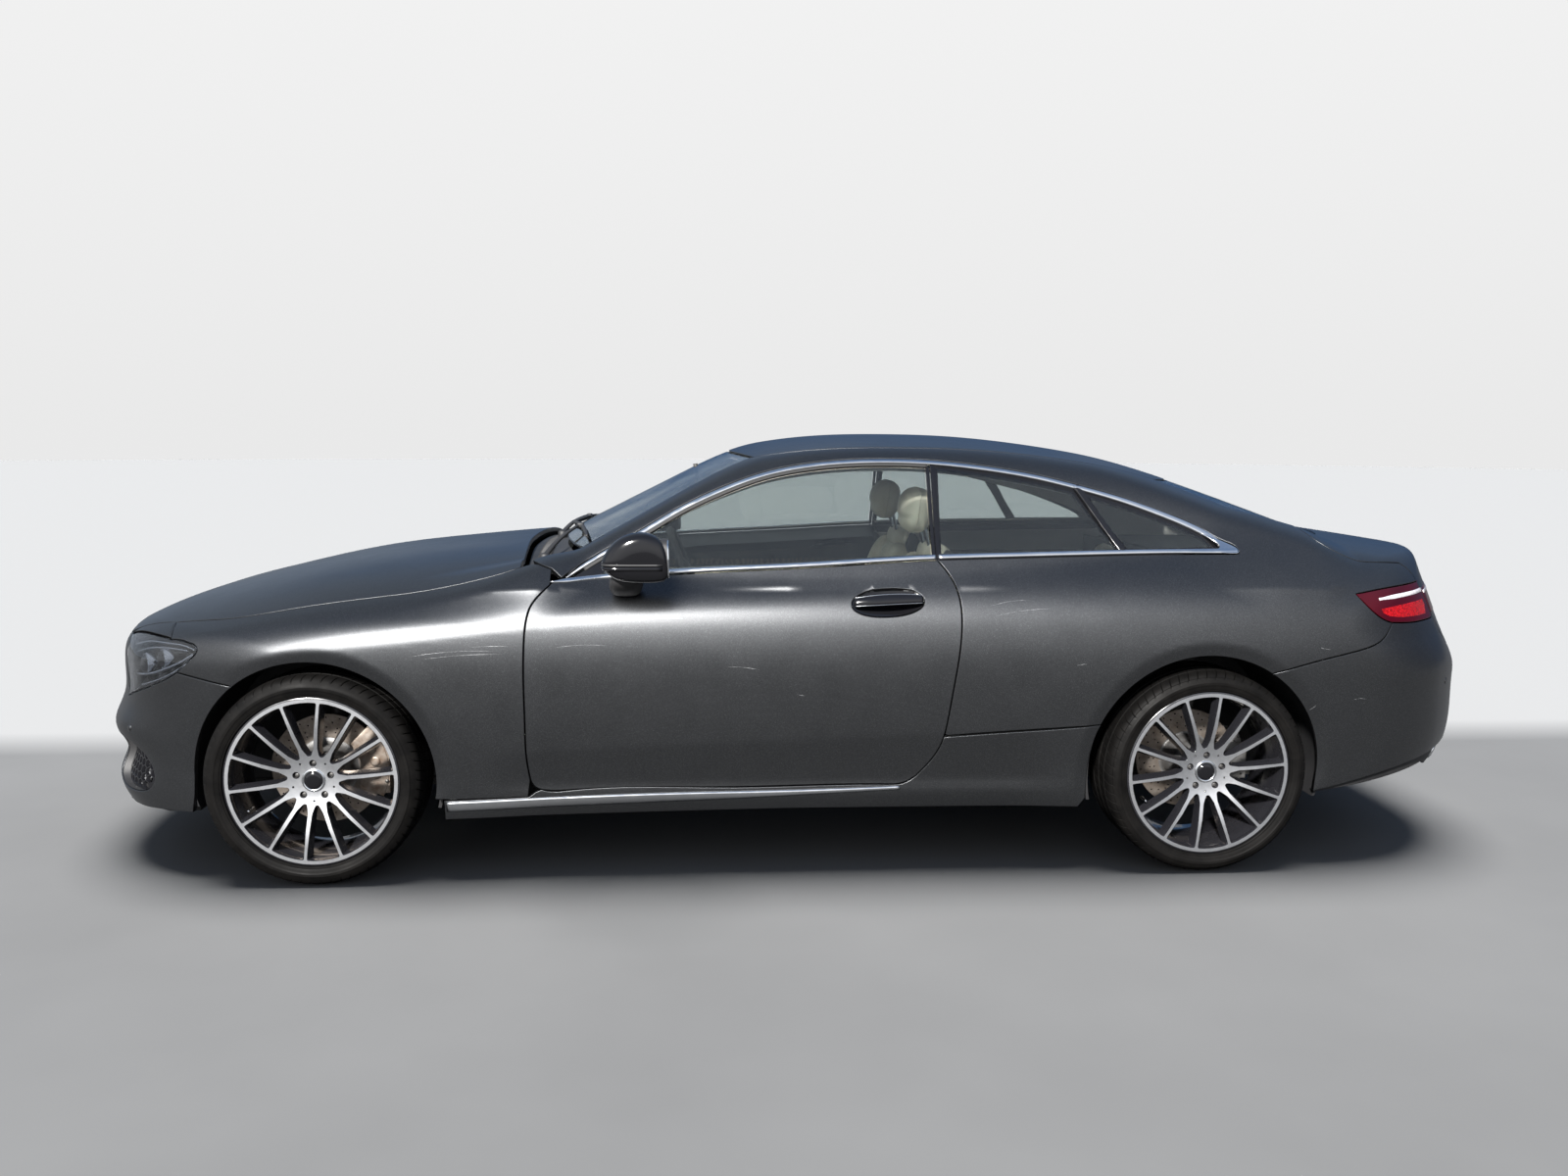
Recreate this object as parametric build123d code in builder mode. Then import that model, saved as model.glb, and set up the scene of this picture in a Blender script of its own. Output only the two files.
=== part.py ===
from build123d import *
import math
import os

os.makedirs("parts", exist_ok=True)

# ---------------------------------------------------------------- driving dimensions, mm
# Frame: X rearward, Y to the car's right, Z up, origin on the floor under the middle of
# the car.  Every x in the tables below is counted rearward from the front axle line.
LENGTH = 4826.0
WHEELBASE = 2873.0
AX = -1568.0                 # front axle line in the frame
RX = AX + WHEELBASE          # rear axle line in the frame
FLOOR_Z = 205.0              # underside of sills and bumpers
SKIN = 25.0                  # body panel depth
TOP_SKIN = 28.0              # bonnet and boot lid depth
DOOR_T = 88.0                # whole door
GAP = 6.5                    # shut line round a door or lid
GLASS = 5.0

# wheel table: half track, outer radius, tyre width, rim half width
FRONT_WHEEL = (800.0, 340.0, 241.0)
REAR_WHEEL = (795.0, 336.5, 266.0)
RIM_R = 256.0                # bead seat radius
LIP_R = 272.0
SPOKES = 14
BOLT_PCD = 112.0
BOLTS = 5
ARCH_F = 380.0
ARCH_R = 385.0
LINER_R = 392.0
KINGPIN_Y = 780.0
HINGE_X, HINGE_Y = 724.0, 913.0

# lower body plan outlines: z, nose x, tail x, side inset
WATERLINES = [
    (150, -800, 3800, 45),
    (250, -839, 3880, 25),
    (430, -841, 3960, 10),
    (600, -820, 3977, 2),
    (760, -792, 3935, 3),
    (880, -740, 3905, 32),
    (980, -690, 3880, 84),
    (1130, -640, 3840, 165),
]
# side view of the upper surface at three distances from the middle plane:
# |y|, then x,z of: nose foot, nose knee, nose top, bonnet mid, cowl, deck front, deck mid, lip, end
PROFILES = [
    (0, (-860, 615), (-735, 778), (-600, 850), (-40, 982), (640, 1054), (3330, 1102), (3600, 1076), (3884, 1030), (4150, 980)),
    (620, (-760, 600), (-650, 755), (-540, 826), (43, 941), (650, 1006), (3260, 1084), (3560, 1040), (3830, 985), (4150, 925)),
    (1000, (-600, 560), (-490, 690), (-350, 785), (100, 850), (660, 905), (3100, 1012), (3420, 930), (3700, 860), (4150, 760)),
]
# greenhouse plan outlines: z, front centre x, front corner x,y, side mid y, rear corner x,y, rear centre x
GLASSHOUSE = [
    (900, 420, 590, 815, 868, 3400, 825, 3690),
    (1000, 590, 740, 770, 812, 3290, 770, 3560),
    (1100, 775, 910, 722, 748, 3150, 705, 3440),
    (1200, 955, 1070, 668, 698, 2960, 645, 3200),
    (1300, 1150, 1300, 612, 642, 2720, 590, 2910),
    (1360, 1290, 1450, 565, 597, 2480, 550, 2660),
    (1450, 1520, 1700, 480, 505, 2200, 480, 2300),
]
# roof crown: |y|, z at x 300, x 1200, x 1900, x 2950, x 3900
CROWN = [(0, 1150, 1346, 1430, 1292, 1150), (560, 1120, 1308, 1372, 1238, 1100), (900, 1050, 1190, 1250, 1110, 1000)]

# outlines seen from the side: x, z
DOOR = [(738, 1100), (738, 953), (680, 888), (669, 800), (666, 650), (668, 400), (686, 318), (720, 300), (1880, 300),
        (1935, 345), (1985, 430), (2026, 637), (2049, 825), (2036, 947), (2000, 1012), (1982, 1100)]
WINDOW = [(800, 972), (1020, 1098), (1140, 1177), (1300, 1246), (1420, 1289), (1560, 1315), (1770, 1332), (1980, 1328),
          (2210, 1303), (2370, 1276), (2470, 1254), (2620, 1217), (2780, 1166), (2890, 1113), (2950, 1060), (2950, 1000), (800, 900)]
DOOR_GLASS = [(860, 940), (860, 1001), (1024, 1093), (1143, 1171), (1302, 1239), (1422, 1282), (1561, 1308), (1770, 1325),
              (1974, 1321), (1974, 940)]
MAIN_QUARTER = [(1990, 940), (1990, 1320), (2210, 1296), (2370, 1269), (2462, 1246), (2600, 990), (2600, 940)]
REAR_QUARTER = [(2490, 1244), (2620, 1210), (2780, 1158), (2890, 1105), (2940, 1055), (2940, 1000), (2625, 1000)]
FRONT_END = [(-1100, 100), (-330, 100), (-330, 560), (-252, 622), (-425, 676), (-500, 720), (-760, 760), (-1100, 760)]
REAR_END = [(4200, 100), (3150, 100), (3150, 560), (3069, 672), (3234, 712), (3345, 736), (3411, 752), (3463, 780), (3500, 820), (4200, 820)]
HEADLIGHT = [(-700, 733), (-653, 735), (-560, 768), (-459, 782), (-377, 775), (-349, 756), (-371, 724), (-425, 677), (-499, 638),
             (-606, 592), (-700, 560)]
TAIL_LIGHT = [(3362, 915), (3527, 936), (3655, 940), (3960, 930), (3960, 812), (3584, 815), (3505, 823), (3436, 852)]
# outlines seen from above, right-hand half: x, y
BONNET = [(-783, 0), (-765, 300), (-690, 520), (-585, 625), (-470, 700), (-274, 772), (-105, 795), (220, 797), (385, 788), (507, 778),
          (590, 768), (640, 755), (618, 400), (600, 0)]
COWL = [(604, 0), (622, 400), (644, 755), (700, 740), (900, 640), (900, 0)]
SCREEN = [(380, 0), (470, 742), (590, 742), (700, 712), (800, 677), (1000, 620), (1200, 560), (1392, 500), (1345, 300), (1318, 0)]
BACKLIGHT = [(2950, 0), (2920, 300), (2800, 505), (3000, 545), (3150, 575), (3262, 600), (3425, 420), (3492, 200), (3505, 0)]
ROOF_PANEL = [(1322, 0), (1349, 300), (1398, 505), (1600, 528), (2100, 538), (2500, 530), (2796, 510), (2916, 300), (2946, 0)]
BOOT = [(3512, 0), (3499, 200), (3432, 426), (3268, 610), (3300, 690), (3363, 716), (3440, 716), (3530, 700), (3617, 662), (3990, 640), (3990, 0)]


# ---------------------------------------------------------------- helpers
def X(x):
    return AX + x


def both(half):
    """A half outline seen from above, closed by its mirror image."""
    pts = [(X(x), y) for x, y in half]
    return pts + [(x, -y) for x, y in reversed(pts) if y > 0]


def lower_body(inset=0.0, top_drop=0.0, floor=None):
    """The outer form below the windows: waterline loft trimmed by the upper surface loft."""
    d = inset
    with BuildPart() as hull:
        for z, nose, tail, side in WATERLINES:
            s = side + d
            p = [(nose + d, 0), (nose + 95 + 0.8 * d, 600 - 0.25 * side - 0.6 * d), (nose + 315 + 0.5 * d, 800 - 0.8 * side - 0.85 * d),
                 (-150, 921 - s), (1500, 913 - s), (3050, 928 - s), (tail - 481 - 0.3 * d, 872 - 0.9 * s),
                 (tail - 190 - 0.8 * d, 700 - 0.4 * side - 0.6 * d), (tail - d, 0)]
            q = [(X(a), b) for a, b in p]
            m = [(a, -b) for a, b in q]
            with BuildSketch(Plane.XY.offset(z)):
                with BuildLine():
                    ThreePointArc(m[1], q[0], q[1])
                    ThreePointArc(q[1], q[2], q[3])
                    ThreePointArc(q[3], q[4], q[5])
                    ThreePointArc(q[5], q[6], q[7])
                    ThreePointArc(q[7], q[8], m[7])
                    ThreePointArc(m[7], m[6], m[5])
                    ThreePointArc(m[5], m[4], m[3])
                    ThreePointArc(m[3], m[2], m[1])
                make_face()
        loft()
    with BuildPart() as body:
        add(hull.part)
        add(top_form(top_drop, FLOOR_Z + inset if floor is None else floor), mode=Mode.INTERSECT)
    return body.part


def top_form(drop=0.0, floor=100.0):
    """Everything under the bonnet, belt and deck surface, lofted across the car."""
    with BuildPart() as form:
        for y in (-1000, -620, 0, 620, 1000):
            row = [r for r in PROFILES if r[0] == abs(y)][0][1:]
            a, b, c, e, f, g, h, i, j = [(X(x), z - drop) for x, z in row]
            with BuildSketch(Plane.XZ.offset(-y)):
                with BuildLine():
                    Line((X(-1100), floor), (X(-1100), 420 - drop))
                    Line((X(-1100), 420 - drop), a)
                    ThreePointArc(a, b, c)
                    ThreePointArc(c, e, f)
                    Line(f, g)
                    ThreePointArc(g, h, i)
                    Line(i, j)
                    Line(j, (j[0], floor))
                    Line((j[0], floor), (X(-1100), floor))
                make_face()
        loft()
    return form.part


def greenhouse(inset=0.0):
    """The outer form above the belt: waterline loft under the roof crown loft."""
    d = inset
    with BuildPart() as walls:
        for z, xf, xa, ya, ym, xc, yc, xr in GLASSHOUSE:
            f, a, m, c, r = (X(xf + 2.0 * d), 0), (X(xa + 1.4 * d), ya - d), (X(2000), ym - d), (X(xc - 1.6 * d), yc - d), (X(xr - 2.4 * d), 0)
            with BuildSketch(Plane.XY.offset(z)):
                with BuildLine():
                    ThreePointArc((a[0], -a[1]), f, a)
                    ThreePointArc(a, m, c)
                    ThreePointArc(c, r, (c[0], -c[1]))
                    ThreePointArc((c[0], -c[1]), (m[0], -m[1]), (a[0], -a[1]))
                make_face()
        loft()
    with BuildPart() as crown:
        for y in (-900, -560, 0, 560, 900):
            z0, z1, z2, z3, z4 = [v - d for v in [r for r in CROWN if r[0] == abs(y)][0][1:]]
            with BuildSketch(Plane.XZ.offset(-y)):
                with BuildLine():
                    Line((X(300), 880), (X(300), z0))
                    Line((X(300), z0), (X(1200), z1))
                    ThreePointArc((X(1200), z1), (X(1900), z2), (X(2950), z3))
                    Line((X(2950), z3), (X(3900), z4))
                    Line((X(3900), z4), (X(3900), 880))
                    Line((X(3900), 880), (X(300), 880))
                make_face()
        loft()
    with BuildPart() as form:
        add(walls.part)
        add(crown.part, mode=Mode.INTERSECT)
    return form.part


def grown(points, amount):
    """The same outline with every edge moved outward by amount, corners kept sharp."""
    n = len(points)
    area = sum(points[i][0] * points[(i + 1) % n][1] - points[(i + 1) % n][0] * points[i][1] for i in range(n))
    turn = amount if area > 0 else -amount
    out = []
    for i in range(n):
        (x0, y0), (x1, y1), (x2, y2) = points[i - 1], points[i], points[(i + 1) % n]
        l1, l2 = math.hypot(x1 - x0, y1 - y0), math.hypot(x2 - x1, y2 - y1)
        n1, n2 = ((y1 - y0) / l1, (x0 - x1) / l1), ((y2 - y1) / l2, (x1 - x2) / l2)
        k = max(1 + n1[0] * n2[0] + n1[1] * n2[1], 0.35)
        out.append((x1 + turn * (n1[0] + n2[0]) / k, y1 + turn * (n1[1] + n2[1]) / k))
    return out


def side_prism(points, y0, y1, grow=0.0):
    """An outline seen from the side, pushed from y0 to y1."""
    with BuildPart() as p:
        with BuildSketch(Plane.XZ.offset(-y1)):
            with BuildLine():
                Polyline(*grown([(X(x), z) for x, z in points], grow), close=True)
            make_face()
        extrude(amount=y1 - y0)
    return p.part


def plan_prism(half, z0, z1, grow=0.0):
    """A mirrored outline seen from above, pushed from z0 to z1."""
    with BuildPart() as p:
        with BuildSketch(Plane.XY.offset(z0)):
            with BuildLine():
                Polyline(*grown(both(half), grow), close=True)
            make_face()
        extrude(amount=z1 - z0)
    return p.part


def front_prism(points, x0, x1):
    """A mirrored outline seen from the front (y, z), pushed from x0 to x1."""
    pts = list(points) + [(-y, z) for y, z in reversed(points) if y > 0]
    with BuildPart() as p:
        with BuildSketch(Plane.YZ.offset(X(x0))):
            with BuildLine():
                Polyline(*pts, close=True)
            make_face()
        extrude(amount=x1 - x0)
    return p.part


def block(x0, x1, y0, y1, z0, z1):
    """A plain box between two corners."""
    with BuildPart() as p:
        with BuildSketch(Plane.XY.offset(z0)):
            with Locations((X((x0 + x1) / 2), (y0 + y1) / 2)):
                Rectangle(x1 - x0, y1 - y0)
        extrude(amount=z1 - z0)
    return p.part


def drum(xc, zc, r, y0, y1):
    """A cylinder lying across the car."""
    with BuildPart() as p:
        with BuildSketch(Plane.XZ.offset(-y1)):
            with Locations((X(xc), zc)):
                Circle(r)
        extrude(amount=y1 - y0)
    return p.part


def arches(grow, y_in, front=ARCH_F, rear=ARCH_R):
    """Cutters of the four wheel openings from |y| = y_in outward."""
    out = []
    for x, z, r in ((0, FRONT_WHEEL[1], front + grow), (WHEELBASE, REAR_WHEEL[1], rear + grow)):
        for y0, y1 in ((-1100, -y_in), (y_in, 1100)):
            out.append(drum(x, z, r, y0, y1))
            out.append(block(x - r, x + r, y0, y1, 50, z))
    return out


def write(part, name):
    part.label = name
    export_step(part, f"parts/{name}.step")


def cut_from(base, keep=(), remove=()):
    """base, limited to each solid of keep, less each solid of remove."""
    with BuildPart() as p:
        add(base)
        for k in keep:
            add(k, mode=Mode.INTERSECT)
        for r in remove:
            add(r, mode=Mode.SUBTRACT)
    return p.part


def mirrored(part):
    with BuildPart() as p:
        add(mirror(part, about=Plane.XZ))
    return p.part


# ---------------------------------------------------------------- master forms
LOW0 = lower_body()
LOW_SKIN = lower_body(SKIN, SKIN)
LOW_LAMP = lower_body(60, 60)
LOW_DOOR = lower_body(DOOR_T, DOOR_T)
TOP_UNDER = top_form(TOP_SKIN)
UP0 = greenhouse()
UP_SKIN = greenhouse(SKIN)
UP_G0 = greenhouse(2.0)
UP_G1 = greenhouse(2.0 + GLASS)

LEFT = block(-1200, 4300, -1200, 0, 0, 1700)      # the car's left, y < 0
WELLS = arches(0, 450)
with BuildPart() as skin:
    add(LOW0)
    add(LOW_SKIN, mode=Mode.SUBTRACT)
    for w in WELLS:
        add(w, mode=Mode.SUBTRACT)
with BuildPart() as upper_skin:
    add(UP0)
    add(UP_SKIN, mode=Mode.SUBTRACT)
    add(LOW_SKIN, mode=Mode.SUBTRACT)
SKIN_LOW = skin.part
SKIN_UP = upper_skin.part

P_DOOR = side_prism(DOOR, -1100, -700)
P_DOOR_GAP = side_prism(DOOR, -1100, -600, GAP)
P_BONNET = plan_prism(BONNET, 560, 1200)
P_BONNET_GAP = plan_prism(BONNET, 560, 1200, GAP)
P_BOOT_TOP = plan_prism(BOOT, 700, 1200)
P_BOOT_GAP = plan_prism(BOOT, 690, 1200, GAP)
P_COWL = plan_prism(COWL, 800, 1200)
P_LAMP_F = side_prism(HEADLIGHT, -900, -520)
P_LAMP_R = side_prism(TAIL_LIGHT, -900, -655)
P_FRONT_END = side_prism(FRONT_END, -1100, 1100)
P_REAR_END = side_prism(REAR_END, -1100, 1100)
P_WINDOW = side_prism(WINDOW, -1000, -300)

# ---------------------------------------------------------------- bonnet and cowl
bonnet = cut_from(LOW0, [P_BONNET], [TOP_UNDER])
write(bonnet, "bonnet")
write(cut_from(top_form(34), [P_COWL, LOW_SKIN], [top_form(52), UP0]), "cowl_panel")

# ---------------------------------------------------------------- front wings and lamps
# grille and intakes seen from the front: y, z of the right half
GRILLE = [(0, 690), (330, 690), (400, 640), (350, 470), (0, 455)]
INTAKES = [(0, 390), (430, 390), (470, 300), (440, 262), (0, 262)]
SIDE_INTAKE = [(520, 430), (690, 430), (730, 300), (560, 270)]
P_GRILLE = front_prism(GRILLE, -900, -560)
P_INTAKE = front_prism(INTAKES, -900, -560)
with BuildPart() as side_intake:
    for s in (1, -1):
        with BuildSketch(Plane.YZ.offset(X(-900))):
            with BuildLine():
                Polyline(*[(s * y, z) for y, z in SIDE_INTAKE], close=True)
            make_face()
    extrude(amount=420)
P_SIDE_INTAKE = side_intake.part
LOW_R0 = lower_body(14, 14)
LOW_R1 = lower_body(SKIN + 14, SKIN + 14)

left_wing = cut_from(SKIN_LOW, [block(-700, 662, -1100, -350, 235, 1200)],
                     [P_BONNET_GAP, P_FRONT_END, P_LAMP_F, P_COWL, P_DOOR_GAP, UP0, block(400, 700, -1100, 0, 0, 276)])
print("wing pieces", [round(s.volume / 1e3, 2) for s in left_wing.solids()])
with BuildPart() as left_wing_one:
    add(left_wing.solids().sort_by(SortBy.VOLUME)[-1])
write(left_wing_one.part, "left_wing")
write(mirrored(left_wing_one.part), "right_wing")
lamp = cut_from(LOW0, [P_LAMP_F], [LOW_LAMP, P_BONNET_GAP] + WELLS)
with BuildPart() as headlights:
    add(lamp)
    add(mirror(lamp, about=Plane.XZ))
write(headlights.part, "headlights")
write(cut_from(SKIN_LOW, [P_FRONT_END], [P_BONNET_GAP, P_LAMP_F, mirrored(P_LAMP_F), P_GRILLE, P_INTAKE, P_SIDE_INTAKE,
                                         block(-720, 4200, -800, 800, 0, 235)]), "front_bumper")
with BuildPart() as grille:
    for zone in (P_GRILLE, P_INTAKE, P_SIDE_INTAKE):
        add(cut_from(LOW_R0, [zone], [LOW_R1]))
write(grille.part, "grille")

# ---------------------------------------------------------------- doors
door_outer = cut_from(LOW0, [P_DOOR, block(600, 2100, -1100, -735, 0, 1300)], [lower_body(20, 20)] + WELLS)
door_inner = cut_from(lower_body(20, 0), [side_prism(DOOR, -1100, -735, -28)], [LOW_DOOR, block(600, 2100, -1100, 0, 1000, 1300)] + WELLS)
sill_top = block(760, 1975, -850, -752, 925, 1300)
with BuildPart() as left_door:
    add(door_outer)
    add(door_inner)
write(left_door.part, "left_door")
write(mirrored(left_door.part), "right_door")
left_glass = cut_from(UP_G0, [side_prism(DOOR_GLASS, -1000, -300)], [UP_G1, LOW0])
write(left_glass, "left_door_glass")
write(mirrored(left_glass), "right_door_glass")

# door mirror housing, by section: y, half length, height scale, z of the middle
MIRROR_SECTIONS = [(-908, 62, 46, 1044), (-925, 84, 74, 1046), (-970, 96, 88, 1050), (-1012, 84, 76, 1052), (-1026, 60, 54, 1052)]
with BuildPart() as housing:
    for y, hx, hz, zc in MIRROR_SECTIONS:
        with BuildSketch(Plane.XZ.offset(-y)):
            with Locations((X(1008), zc)):
                Rectangle(2 * hx, 1.5 * hz)
    loft(ruled=True)
with BuildPart() as left_mirror:
    add(housing.part)
    with BuildSketch(Plane.YZ.offset(X(950))):
        with BuildLine():
            Polyline((-800, 930), (-905, 930), (-940, 1000), (-940, 1030), (-912, 1030), (-880, 985), (-800, 975), close=True)
        make_face()
    extrude(amount=85)
    add(LOW0, mode=Mode.SUBTRACT)
    add(side_prism(DOOR_GLASS, -870, -300, 4), mode=Mode.SUBTRACT)
write(left_mirror.part, "left_mirror")
write(mirrored(left_mirror.part), "right_mirror")

# ---------------------------------------------------------------- body sides, sills, roof
P_ROOF = plan_prism(ROOF_PANEL, 1000, 1600)
P_SCREEN = plan_prism(SCREEN, 880, 1600)
P_BACK = plan_prism(BACKLIGHT, 900, 1600)
SIDE_ZONE = block(662, 3990, -1100, -480, 235, 1700)
low_side = cut_from(SKIN_LOW, [block(668, 3990, -1100, -640, 276, 1300)],
                    [P_DOOR_GAP, P_REAR_END, P_LAMP_R, P_BOOT_GAP, UP_SKIN, block(668, 2520, -1100, 0, 0, 312),
                     plan_prism(BACKLIGHT, 900, 1300, 1.0), block(700, 2060, -1100, -600, 940, 1040)])
up_side = cut_from(SKIN_UP, [LEFT, block(380, 3700, -1100, -300, 930, 1700)],
                   [P_WINDOW, P_SCREEN, P_BACK, P_ROOF, P_BOOT_GAP, cut_from(top_form(-GAP), [P_DOOR_GAP]), P_BONNET_GAP])
with BuildPart() as left_side:
    add(low_side)
    add(up_side)
with BuildPart() as left_side_one:
    add(left_side.part.solids().sort_by(SortBy.VOLUME)[-1])
write(left_side_one.part, "left_body_side")
write(mirrored(left_side_one.part), "right_body_side")
sill = cut_from(SKIN_LOW, [block(405, 2500, -1100, -650, 0, 312)], [P_DOOR_GAP, block(405, 668, -1100, 0, 276, 500), block(400, 2510, -762, 0, 0, 400)])
with BuildPart() as side_skirts:
    add(sill)
    add(mirror(sill, about=Plane.XZ))
write(side_skirts.part, "side_skirts")
write(cut_from(SKIN_UP, [P_ROOF]), "roof")

# ---------------------------------------------------------------- fixed glass
write(cut_from(UP_G0, [P_SCREEN], [UP_G1, LOW0]), "windscreen")
write(cut_from(UP_G0, [P_BACK], [UP_G1, LOW0]), "rear_window")
quarter = cut_from(UP_G0, [side_prism(MAIN_QUARTER, -1000, -300)], [UP_G1, LOW0])
corner = cut_from(UP_G0, [side_prism(REAR_QUARTER, -1000, -300)], [UP_G1, LOW0])
with BuildPart() as quarter_glass:
    for g in (quarter, corner):
        add(g)
        add(mirror(g, about=Plane.XZ))
write(quarter_glass.part, "quarter_glass")

# ---------------------------------------------------------------- boot lid, tail lights, rear bumper
# rear face of the lid seen from behind: y, z
LID_FACE = [(0, 700), (560, 700), (636, 760), (640, 1200), (0, 1200)]
lid_top = cut_from(LOW0, [plan_prism(BOOT, 700, 1200)], [TOP_UNDER])
lid_face = cut_from(SKIN_LOW, [front_prism(LID_FACE, 3600, 4150), block(3700, 4200, -1000, 1000, 700, 1100)])
with BuildPart() as boot_lid:
    add(lid_top)
    add(lid_face)
    add(P_LAMP_R, mode=Mode.SUBTRACT)
    add(mirrored(P_LAMP_R), mode=Mode.SUBTRACT)
lamp_zone = [block(3560, 4200, -634, -330, 830, 925), LOW0]
inner_lamp = cut_from(SKIN_LOW, lamp_zone)
with BuildPart() as boot_lid_cut:
    add(boot_lid.part)
    add(block(3560, 4200, -640, -330, 830, 925), mode=Mode.SUBTRACT)
    add(block(3560, 4200, 330, 640, 830, 925), mode=Mode.SUBTRACT)
write(boot_lid_cut.part, "boot_lid")
with BuildPart() as boot_lamps:
    add(inner_lamp)
    add(mirror(inner_lamp, about=Plane.XZ))
write(boot_lamps.part, "boot_lamps")
tail = cut_from(LOW0, [P_LAMP_R], [LOW_LAMP, P_BOOT_GAP])
with BuildPart() as tail_lights:
    add(tail)
    add(mirror(tail, about=Plane.XZ))
write(tail_lights.part, "tail_lights")
with BuildPart() as lid_space:
    with BuildSketch(Plane.YZ.offset(X(3480))):
        with BuildLine():
            Polyline((-570, 700 - 8), (570, 700 - 8), (646, 756), (650, 1250), (-650, 1250), (-646, 756), close=True)
        make_face()
    extrude(amount=800)
VALANCE = [(3120, 100), (4200, 100), (4200, 372), (3869, 368), (3633, 322), (3333, 268), (3120, 258)]
P_VALANCE = side_prism(VALANCE, -1100, 1100)
write(cut_from(SKIN_LOW, [P_REAR_END], [P_BOOT_GAP, lid_space.part, P_VALANCE, P_LAMP_R, mirrored(P_LAMP_R)]), "rear_bumper")
write(cut_from(LOW_R0, [P_VALANCE], [LOW_R1, block(-900, 3655, -765, 765, 0, 260), block(3600, 4200, -590, -410, 252, 332),
                                        block(3600, 4200, 410, 590, 252, 332)] + arches(14, 450, LINER_R, LINER_R)), "rear_valance")

# ---------------------------------------------------------------- floor, bulkheads, liners
JACK_PADS = [(560, 640), (2330, 640)]        # x, |y|
with BuildPart() as floor_pan:
    add(block(-690, 3640, -745, 745, 205, 232))
    add(lower_body(SKIN + 2, SKIN + 2, 200), mode=Mode.INTERSECT)
    for sx in (-1, 1):
        add(block(420, 2440, min(sx * 745, sx * 812), max(sx * 745, sx * 812), 232, 318))
        add(block(420, 2440, min(sx * 700, sx * 745), max(sx * 700, sx * 745), 232, 318))
        for px, py in JACK_PADS:
            add(block(px - 45, px + 45, min(sx * (py - 30), sx * (py + 30)), max(sx * (py - 30), sx * (py + 30)), 190, 205))
    add(block(548, 2790, -140, 140, 232, 420))
    add(block(500, 2950, -105, 105, 150, 390), mode=Mode.SUBTRACT)
    for w in arches(14, 470, LINER_R, LINER_R):
        add(w, mode=Mode.SUBTRACT)
write(floor_pan.part, "floor_pan")
with BuildPart() as bulkheads:
    add(block(520, 545, -800, 800, 234, 905))
    for sx in (-1, 1):
        add(block(545, 640, min(sx * 745, sx * 800), max(sx * 745, sx * 800), 320, 905))
        add(block(2100, 2460, min(sx * 745, sx * 790), max(sx * 745, sx * 790), 320, 905))
    add(block(2930, 2955, -700, 700, 234, 985))
    add(block(2955, 3380, -600, 600, 960, 985))
    add(block(2955, 3700, -465, 465, 400, 415))
    for w in arches(14, 470, LINER_R, LINER_R):
        add(w, mode=Mode.SUBTRACT)
    add(floor_pan.part, mode=Mode.SUBTRACT)
    add(block(500, 3000, -105, 105, 150, 390), mode=Mode.SUBTRACT)
write(bulkheads.part, "bulkheads")
with BuildPart() as arch_liners:
    for x, z in ((0, FRONT_WHEEL[1]), (WHEELBASE, REAR_WHEEL[1])):
        for sx in (-1, 1):
            y0, y1 = sorted((sx * 474, sx * 888))
            v0, v1 = sorted((sx * 486, sx * 1100))
            add(drum(x, z, LINER_R + 10, y0, y1))
            add(drum(x, z, LINER_R, v0, v1), mode=Mode.SUBTRACT)
    add(block(-900, 3600, -1100, 1100, -200, 240), mode=Mode.SUBTRACT)
    add(block(-60, 60, -700, 700, 240, 520), mode=Mode.SUBTRACT)
    add(block(WHEELBASE - 60, WHEELBASE + 60, -700, 700, 240, 480), mode=Mode.SUBTRACT)
    add(LOW_SKIN, mode=Mode.INTERSECT)
write(arch_liners.part, "arch_liners")

# ---------------------------------------------------------------- engine, axles, exhaust
write(block(-420, 330, -250, 250, 290, 800), "engine_block")
with BuildPart() as front_axle:
    add(block(-55, 55, -440, 440, 234, 284))
    for sx in (-1, 1):
        add(block(-45, 45, min(sx * 430, sx * 666), max(sx * 430, sx * 666), 234, 250))
        with BuildSketch(Plane.XY.offset(240)):
            with Locations((X(0), sx * 600)):
                Circle(25)
        extrude(amount=470)
write(front_axle.part, "front_axle")
with BuildPart() as rear_axle:
    add(block(WHEELBASE - 55, WHEELBASE + 55, -440, 440, 328, 378))
    for sx in (-1, 1):
        add(block(WHEELBASE - 45, WHEELBASE + 45, min(sx * 395, sx * 440), max(sx * 395, sx * 440), 234, 330))
        add(block(WHEELBASE - 45, WHEELBASE + 45, min(sx * 430, sx * 640), max(sx * 430, sx * 640), 234, 256))
        add(block(WHEELBASE - 50, WHEELBASE + 50, min(sx * 600, sx * 650), max(sx * 600, sx * 650), 234, 430))
        add(block(WHEELBASE + 40, WHEELBASE + 150, min(sx * 600, sx * 655), max(sx * 600, sx * 655), 290, 390))
        add(block(WHEELBASE + 110, WHEELBASE + 195, min(sx * 650, sx * 757), max(sx * 650, sx * 757), 275, 400))
    for sx in (-1, 1):
        y0, y1 = sorted((sx * 690, sx * 722))
        add(drum(WHEELBASE, REAR_WHEEL[1], 178, y0, y1), mode=Mode.SUBTRACT)
    for sx in (-1, 1):
        add(drum(WHEELBASE, REAR_WHEEL[1], 22, min(sx * 640, sx * 738), max(sx * 640, sx * 738)))
write(rear_axle.part, "rear_axle")
with BuildPart() as exhaust:
    add(block(3280, 3620, -520, 520, 240, 340))
    for sx in (-1, 1):
        add(block(3610, 3745, min(sx * 420, sx * 580), max(sx * 420, sx * 580), 262, 322))
    add(block(700, 3290, -45, 45, 250, 320))
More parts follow.
